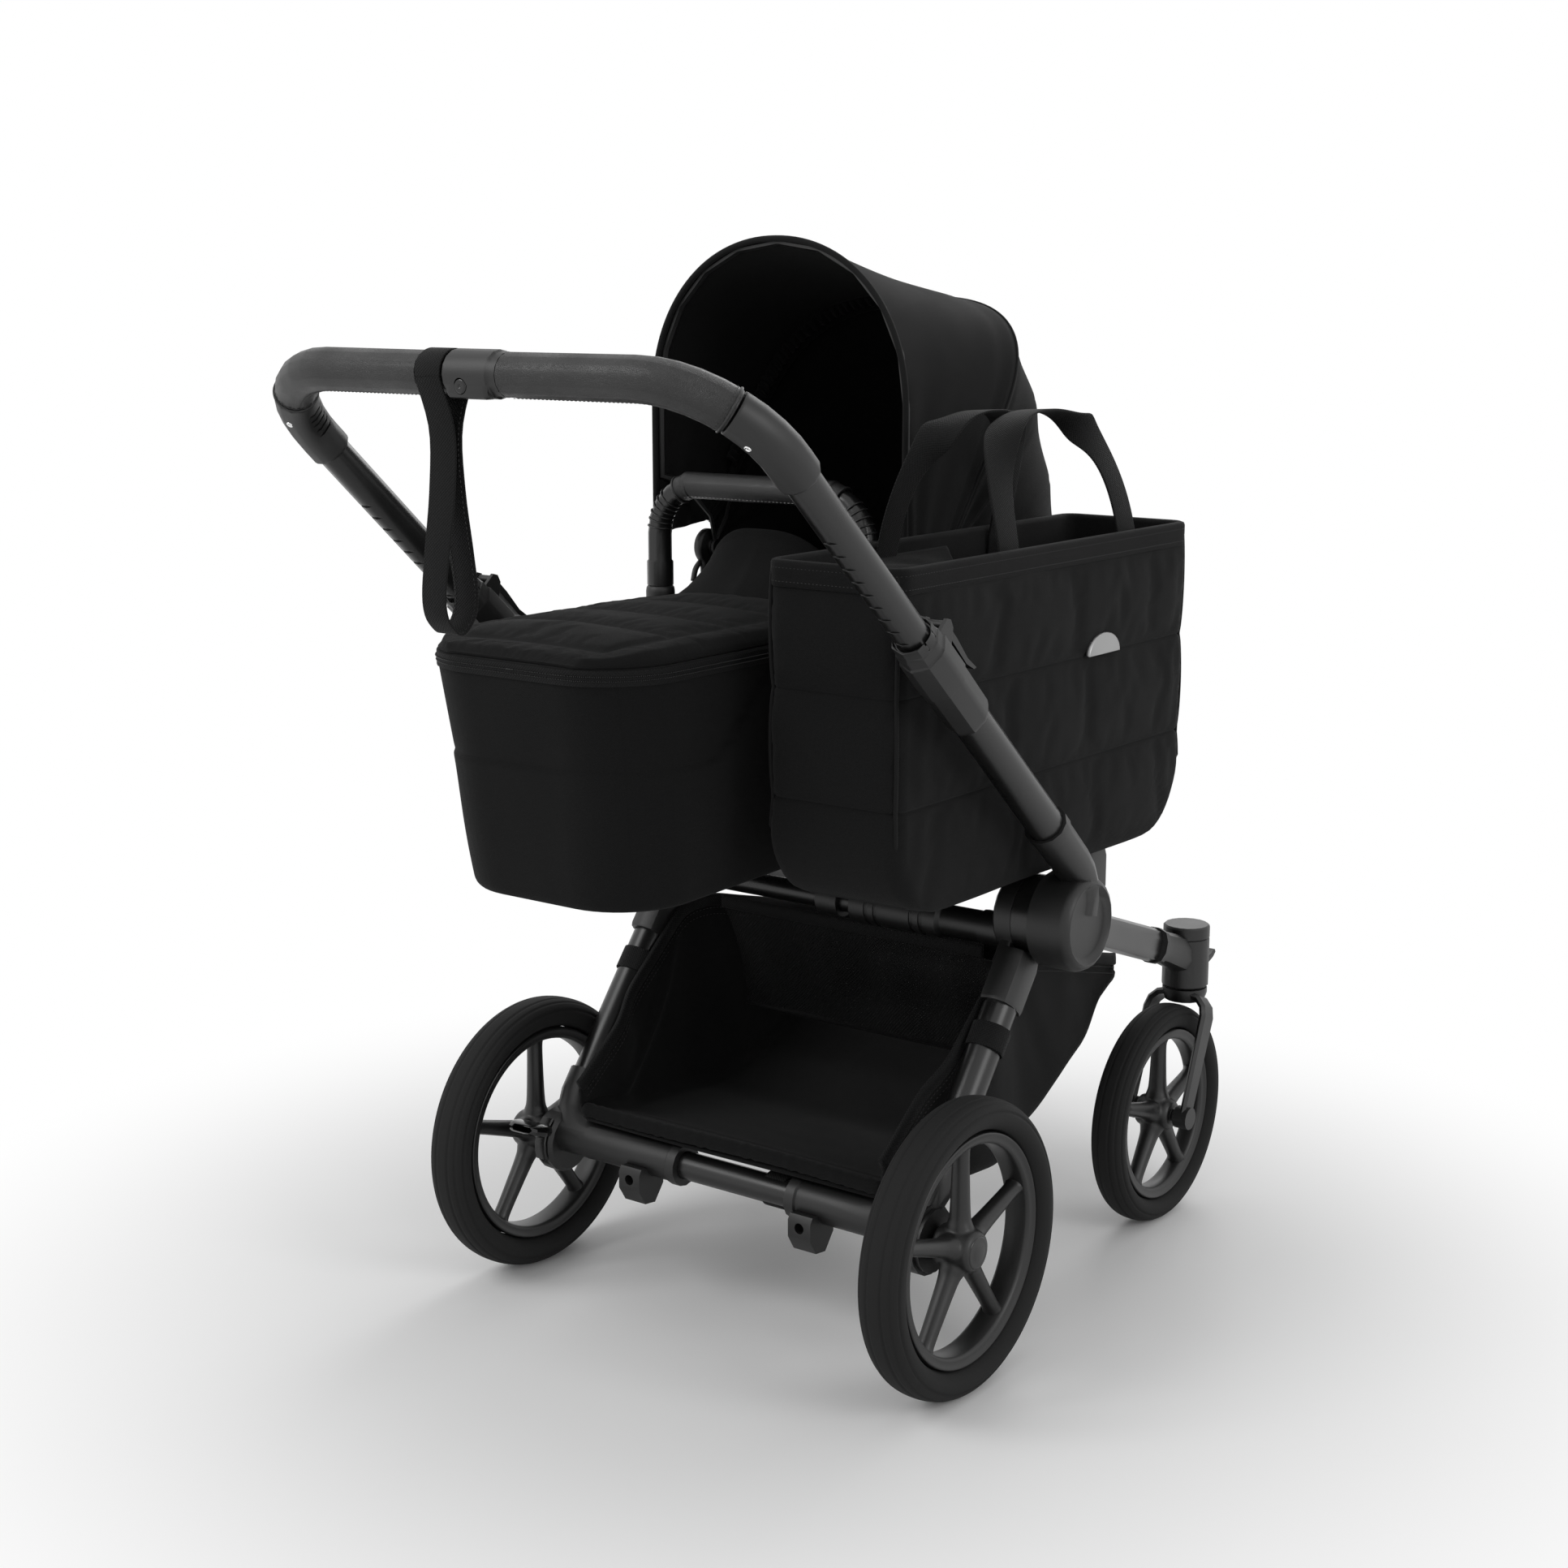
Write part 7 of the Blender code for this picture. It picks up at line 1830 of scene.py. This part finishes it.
net_rows = [[net_point(-1 + 2 * i / 96, j / 24) for i in range(97)] for j in range(25)]
net = skin("gathered_net", net_rows, net_mesh, "chassis")
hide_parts("basket_net")
hem_band = [net_point(-1 + 2 * i / 96, 0.955) + Vector((0, 0, 0.0005)) for i in range(97)]
sweep("net_head_hem", hem_band, strap_section(0.0030, 0.0150), webbing, "chassis", side=(0, 1, 0))
foot_band = [net_point(-1 + 2 * i / 96, 0.02) + Vector((0, 0, 0.0016)) for i in range(97)]
sweep("net_foot_hem", foot_band, round_section(0.0024, 8), piping, "chassis", side=(0, 1, 0))
print("net:", len(net.data.polygons), "faces")

# %% [markdown]
# Straps are webbing with a soft edge, 30 mm wide at the wrist and 26 mm on the frame. The
# wrist strap goes round the crossbar and opens like a drop below it. Hook-and-loop straps
# hold the basket to the frame.

# %% Wrist strap and hook-and-loop straps
BAR_Y, BAR_Z = -0.35517, 0.99724
GRIP_R, STRAP_W, STRAP_T, STRAP_DROP = 0.020, 0.030, 0.0018, 0.228
STRAP_X = -0.0375


def wrist_strap_line():
    wrap = GRIP_R * 0.95 + STRAP_T / 2 + 0.0006
    rough = []
    for turn in range(10, -11, -1):
        angle = radians(90 + 11 * turn)
        rough.append(Vector((STRAP_X, BAR_Y + wrap * cos(angle), BAR_Z + wrap * sin(angle))))
    spread = ((0.22, 0.0035), (0.45, 0.0072), (0.68, 0.0150), (0.84, 0.0190), (0.93, 0.0165), (0.985, 0.0070))
    for share, half in spread:
        rough.append(Vector((STRAP_X + 0.0010 * sin(9 * share), BAR_Y + half, BAR_Z - STRAP_DROP * share)))
    rough.append(Vector((STRAP_X, BAR_Y, BAR_Z - STRAP_DROP)))
    for share, half in reversed(spread):
        rough.append(Vector((STRAP_X - 0.0010 * sin(9 * share), BAR_Y - half, BAR_Z - STRAP_DROP * share)))
    return smooth_line(rough, 150, closed=True)


strap_line = wrist_strap_line()
strap_wide = [Vector((1, 0.05 * sin(20 * (BAR_Z - point.z)), 0.0)) for point in strap_line]
wrist_strap = band(
    "webbing_wrist_strap", strap_line, strap_wide, STRAP_W, STRAP_T, webbing, "bar_left", closed=True
)
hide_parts("wrist_strap")
round(length_of(strap_line, True), 2)
FRAME_STRAP_W = 0.026


def wrap_strap(name, centre, axis, radius, body):
    """A strap once round a tube, with its end laid over the start."""
    axis = Vector(axis).normalized()
    turn = Vector((0, 0, 1)).rotation_difference(axis)
    path = []
    count = 56
    for i in range(count):
        t = i / (count - 1)
        angle = radians(-35 + 395 * t)
        reach = radius + 0.0022 * ease((t - 0.82) / 0.08)
        path.append(Vector(centre) + turn @ Vector((reach * cos(angle), reach * sin(angle), 0)))
    strap = band(name, path, [axis] * count, FRAME_STRAP_W, STRAP_T, webbing, body)
    round(length_of(path), 2)


print("wrist strap:", round(length_of(strap_line, True), 3), "m round")

# %% [markdown]
# The handle's grips are leather, sewn along the inside of the bend, with a raised ring where
# each starts. The cot's carrying handle has a leather sleeve over its top and ribs in its
# bends. Small things that repeat along a line, such as stitches and zip teeth, come from
# one Geometry Nodes tree that puts a bead on every step of a path.

# %% Beads along a path
def make_bead_tree():
    """Even steps along a path, with one stretched ball on each, turned to the path and to Up."""
    names = ("Spacing", "Bead Length", "Bead Width", "Bead Height")
    inputs = [(name, "Float") for name in names]
    inputs += [("Up X", "Float"), ("Up Y", "Float"), ("Up Z", "Float"), ("Thread", "Material")]
    tree, given, result = new_geometry_tree("beads_along_a_path", inputs)
    curve = add(tree, "GeometryNodeMeshToCurve", Mesh=given["Geometry"])
    even = add(tree, "GeometryNodeResampleCurve", Curve=curve.outputs[0])
    even.mode = "LENGTH"
    tree.links.new(given["Spacing"], even.inputs["Length"])
    ball = add(tree, "GeometryNodeMeshUVSphere", Segments=8, Rings=5, Radius=0.5)
    size = add(
        tree, "ShaderNodeCombineXYZ", X=given["Bead Length"], Y=given["Bead Width"], Z=given["Bead Height"]
    )
    bead = add(tree, "GeometryNodeTransform", Geometry=ball.outputs[0], Scale=size.outputs[0])
    up = add(tree, "ShaderNodeCombineXYZ", X=given["Up X"], Y=given["Up Y"], Z=given["Up Z"])
    tangent = add(tree, "GeometryNodeInputTangent")
    first = add(tree, "FunctionNodeAlignRotationToVector", {"axis": "X"}, Vector=tangent.outputs[0])
    second = add(tree, "FunctionNodeAlignRotationToVector", {"axis": "Z", "pivot_axis": "X"},
                 Rotation=first.outputs[0], Vector=up.outputs[0])
    placed = add(tree, "GeometryNodeInstanceOnPoints", Points=even.outputs[0], Instance=bead.outputs[0],
                 Rotation=second.outputs[0])
    real = add(tree, "GeometryNodeRealizeInstances", Geometry=placed.outputs[0])
    smooth = add(tree, "GeometryNodeSetShadeSmooth", Geometry=real.outputs[0])
    painted = add(tree, "GeometryNodeSetMaterial", Geometry=smooth.outputs[0], Material=given["Thread"])
    tree.links.new(painted.outputs[0], result)
    return tree


bead_tree = make_bead_tree()


def beads(name, path, body, spacing, size, material, up=(0, 0, 1)):
    """Beads of a size (length, width, height) along a path of points, kept as one plain piece."""
    return run_tree(
        name, bead_tree, body, path, Spacing=spacing, Bead_Length=size[0], Bead_Width=size[1],
        Bead_Height=size[2], Up_X=float(up[0]), Up_Y=float(up[1]), Up_Z=float(up[2]), Thread=material,
    )


STITCH = (0.0030, 0.0008, 0.0007)
RAISED_RING = round_section(0.0013, 8)
black_thread = moulded("black_thread", 0.016, 0.55, grain=2500.0, wear=0.2, bump=0.2)
pale_thread = moulded("pale_thread", 0.30, 0.55, grain=2500.0, wear=0.0, bump=0.2, worn=0.32)

# %% Grips
HANDLE_X, HANDLE_BEND, ELBOW_SEAM = 0.27995, 0.100, 38.0
HANDLE_DIRECTION = Vector((0, -0.7431, 0.6691))
HANDLE_FRONT = Vector((0, 0.6691, 0.7431))


def bar_bend(side, degrees, out=0.0, front=0.0):
    """A point of the bend between the handle's side and the crossbar, moved off its centre line."""
    angle = radians(degrees)
    reach = HANDLE_BEND + out
    corner = Vector((HANDLE_X - HANDLE_BEND, BAR_Y, BAR_Z)) - HANDLE_DIRECTION * HANDLE_BEND
    point = corner + Vector((reach * cos(angle), 0, 0)) + HANDLE_DIRECTION * reach * sin(angle)
    point += HANDLE_FRONT * front
    return Vector((side * point.x, point.y, point.z))


def ring_round(centre, axis, radius, count=40):
    turn = Vector((0, 0, 1)).rotation_difference(Vector(axis).normalized())
    angles = [2 * pi * i / count for i in range(count)]
    return [Vector(centre) + turn @ Vector((radius * cos(a), radius * sin(a), 0)) for a in angles]


def ring_piece(name, centre, axis, radius, section, material, body):
    """A closed ring of a given section round a point of a tube."""
    return sweep(name, ring_round(centre, axis, radius), section, material, body, side=axis, closed=True)


for side, name in ((1, "right"), (-1, "left")):
    finish_node(f"grip_{name}", grip_leather)
    body = f"bar_{name}"
    seam_at = bar_bend(side, ELBOW_SEAM + 2.2)
    seam_axis = bar_bend(side, ELBOW_SEAM + 3.2) - bar_bend(side, ELBOW_SEAM + 1.2)
    ring_piece(f"grip_seam_ring_{name}", seam_at, seam_axis, GRIP_R + 0.0001, RAISED_RING, grip_leather, body)
    dashes = ring_round(bar_bend(side, ELBOW_SEAM + 4.4), seam_axis, GRIP_R + 0.0002, 60)
    dashes.append(dashes[0])
    beads(f"grip_ring_stitches_{name}", dashes, body, 0.0042, STITCH, black_thread, seam_axis.normalized())
    end_x = 0.046 if side > 0 else 0.062
    inwards, underneath = -(GRIP_R - 0.0012) * 0.72, -(GRIP_R - 0.0012) * 0.69
    inside = [bar_bend(side, a, inwards, underneath) for a in np.linspace(ELBOW_SEAM + 6, 90, 20)]
    under = inwards * HANDLE_DIRECTION + underneath * HANDLE_FRONT
    inside += [Vector((side * x, BAR_Y, BAR_Z)) + under
               for x in np.linspace(HANDLE_X - HANDLE_BEND - 0.004, end_x, 24)]
    sweep(f"grip_seam_{name}", inside, round_section(0.0011, 6), grip_leather, body, side=(0, 0, 1))
    for k, shift in enumerate((-0.0026, 0.0026)):
        off = HANDLE_DIRECTION * shift * 0.7 - HANDLE_FRONT * shift * 0.7 + under.normalized() * 0.0009
        line = [point + off for point in inside]
        beads(f"grip_seam_stitches_{name}_{k}", line, body, 0.0046, STITCH, black_thread, under.normalized())
print("grips sewn")

# %% Carrying handle
CARRY_TOP, CARRY_BEND = 0.857, 0.055
SLEEVE_R = POST_R + 0.0014
finish_node("carry_handle", black_tube)


def carry_bend(side, angle):
    """A point of the arch's centre line at an angle round its bend, from the post upwards."""
    x = COT_X + side * POST_X
    return Vector((x - side * CARRY_BEND * (1 - cos(angle)), POST_Y,
                   CARRY_TOP - CARRY_BEND * (1 - sin(angle))))


def carry_line(start_z, count):
    """The arch's centre line between two equal heights on its posts."""
    line = []
    for side in (-1, 1):
        x = COT_X + side * POST_X
        half = [Vector((x, POST_Y, z)) for z in np.linspace(start_z, CARRY_TOP - CARRY_BEND - 0.001, 8)]
        half += [carry_bend(side, radians(90 * k / 12)) for k in range(13)]
        line += half if side < 0 else half[::-1]
    return smooth_line(line, count)


# The sleeve covers the straight top and the last part of each bend.
sleeve_path = [p for p in carry_line(0.780, 160) if abs(p.x - COT_X) < POST_X - 0.030]
sleeve_scale = [1.0 + 0.010 * sin(1.7 * i) for i in range(len(sleeve_path))]
sweep("carry_leather_sleeve", sleeve_path, round_section(SLEEVE_R, 24), grip_leather, "carry_grip",
      side=(0, 1, 0), scales=sleeve_scale)
for k, (first, second) in enumerate((sleeve_path[:2], sleeve_path[-2:])):
    name, at = f"carry_sleeve_ring_{k}", sleeve_path[-k]
    ring_piece(name, at, second - first, POST_R + 0.0016, RAISED_RING, grip_leather, "carry_grip")
under_line = [p + Vector((0, -SLEEVE_R * 0.60, -SLEEVE_R * 0.80)) for p in sleeve_path[4:-4]]
LONG_STITCH = (0.0032, 0.0009, 0.0009)
beads("carry_sleeve_stitches", under_line, "carry_grip", 0.0050, LONG_STITCH, pale_thread, (0, -0.6, -0.8))
ribs = []
for side in (-1, 1):
    for k in range(6):
        angle = radians(8 + 7.5 * k)
        axis = Vector((-side * sin(angle), 0, cos(angle)))
        ring = ring_round(carry_bend(side, angle), axis, POST_R + 0.0001, 28)
        rib = round_section(0.0010, 6)
        ribs.append(sweep(f"rib_{side}_{k}", ring, rib, black_plastic, side=axis, closed=True))
join("carry_bend_ribs", ribs, "carry_grip")
print("carrying handle dressed")

# %% Hook-and-loop straps on the frame
for side in SIDES:
    low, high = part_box(f"rear_leg_{side}")
    centre = middle(f"rear_leg_{side}") - Vector((0, AXLE_Y, 0))
    axis = Vector((0, high.y - low.y - 0.036, high.z - low.z - 0.036)).normalized()
    body = "chassis_right" if side == "right" else "chassis"
    wrap_strap(f"basket_strap_{side}", centre + axis * 0.045, axis, 0.0196, body)
wrap_strap("axle_strap", (0.061, 0.0, 0.160), (1, 0, 0), 0.0166, "chassis")
print("frame straps wrapped")

# %% [markdown]
# Stitches, zip teeth and screws are what make the cloth and the frame read at full size.
# Each row of stitches follows the piece that it is sewn through, a little proud of it.

# %% Stitches and the zip
def rim_row(z):
    """The bag's outline a little outside its bound rim, at a height."""
    top = BAG_TOP - BAG_BOTTOM
    ring = bag_outline(top - 0.006, -0.0016, panel_swell(top - 0.012))
    return ring_at(ring + ring[:1], z)


for k, z in enumerate((BAG_TOP - 0.0065, BAG_TOP - 0.0195)):
    beads(f"bag_rim_stitches_{k}", rim_row(z), "bag", 0.0044, STITCH, black_thread)
for k, row in enumerate((2, 3)):
    line = []
    for point in sheet_rows["canopy_front_cloth"][row]:
        outwards = (point - Vector((CANOPY_X, point.y, PIVOT_Z + 0.1))).normalized()
        line.append(point + Vector((0, -0.0003, 0.0)) + outwards * 0.0004)
    beads(f"canopy_hem_stitches_{k}", line, "canopy_front", 0.0044, STITCH, black_thread, (0, 0, 1))
for side, name in ((-1, "left"), (1, "right")):
    for k, drop in enumerate((0.0050, 0.0125)):
        for face, shift in (("outside", -0.0032), ("inside", 0.0032)):
            path = basket_edge(side, BASKET_CLOTH / 2 + 0.0006 + shift, drop)
            beads(f"basket_{face}_stitches_{name}_{k}", path[1:-1], "chassis", 0.0048, STITCH, black_thread)
for edge, edge_name in ((-1, "low"), (1, "high")):
    for half, half_name in ((strap_line[:75], "low"), (strap_line[75:], "high")):
        path = [point + Vector((edge * (STRAP_W / 2 - 0.003), 0, 0)) for point in half]
        lifted = []
        for i, point in enumerate(path):
            normal = tangent_at(path, i).cross(Vector((1, 0, 0))).normalized()
            lifted.append(point + normal * 0.0011)
        name = f"wrist_strap_stitches_{edge_name}_{half_name}"
        beads(name, lifted, "bar_left", 0.0046, STITCH, black_thread)


def rim_side(t, out):
    """The line round the cot's foot and sides at a share of its wall's height, as far as the posts."""
    ring = cot_wall(t, -out)
    side_points = [point for point in ring if point.y < POST_Y - 0.030]
    right = sorted((p for p in side_points if p.x >= COT_X), key=lambda p: (-p.y, p.x))
    left = sorted((p for p in side_points if p.x < COT_X), key=lambda p: (p.y, -p.x))
    return right + left


TOOTH = (0.0011, 0.0020, 0.0013)
for k, t in enumerate((0.955, 0.972)):
    beads(f"cot_zip_teeth_{k}", rim_side(t, 0.0012), "cot", 0.0020, TOOTH, gloss_plastic)
zip_line = rim_side(0.9635, 0.0004)
zip_tape = band("cot_zip_tape", zip_line, [Vector((0, 0, 1))] * len(zip_line), 0.0150, 0.0008, webbing, "cot")
round(length_of(zip_line), 2)
print("zip line", round(length_of(zip_line), 3), "m")


# %% Canopy: the skirt
def make_skirt():
    """The canopy's skirt, from its lower hem in to the cot's rim round the head."""
    outer = sheet_rows["canopy_back_cloth"][-1]
    rings = []
    for k in range(7):
        v = k / 6
        top, under = [], []
        for j, point in enumerate(outer):
            to_x = COT_X + (point.x - CANOPY_X) * 0.1405 / CANOPY_HALF_W
            to = Vector((to_x, point.y + 0.0035, COT_RIM_Z - 0.008))
            flute = 0.0014 * sin(0.9 * j) * hump(v)
            bulge = 0.0035 * hump(v)
            place = point.lerp(to, v)
            out = Vector((place.x - COT_X, 0.35 * (place.y - PIVOT_Y), 0)).normalized()
            place = place + out * (bulge + flute - 0.0016)
            top.append(place)
            under.append(place - out * 0.0012)
        rings.append(top + under[::-1])
    return skin("canopy_skirt", rings, canvas, "cot", around=True, caps=True)


skirt = make_skirt()
print("skirt", round(area_of(skirt), 4), "m2")


# %% Screws
def screw(name, at, axis, radius, body):
    """A screw head with a round socket."""
    profile = [(0, -0.0014), (radius * 0.42, -0.0014), (radius * 0.46, 0.0004), (radius * 0.86, 0.0006),
               (radius, 0.0), (radius, -0.0018), (0, -0.0018)]
    return turned(name, profile, at, axis, bright_metal, body, steps=24)


for side, name in ((1, "right"), (-1, "left")):
    # The elbow's screw, on the inside of the bend, below the grip's seam.
    angle = ELBOW_SEAM - 14
    centre = bar_bend(side, angle)
    out = (bar_bend(side, angle, front=-0.02) - centre).normalized()
    screw(f"elbow_screw_{name}", centre + out * 0.0205, out, 0.0034, f"bar_{name}")
print("stitches, zip, skirt and screws made")
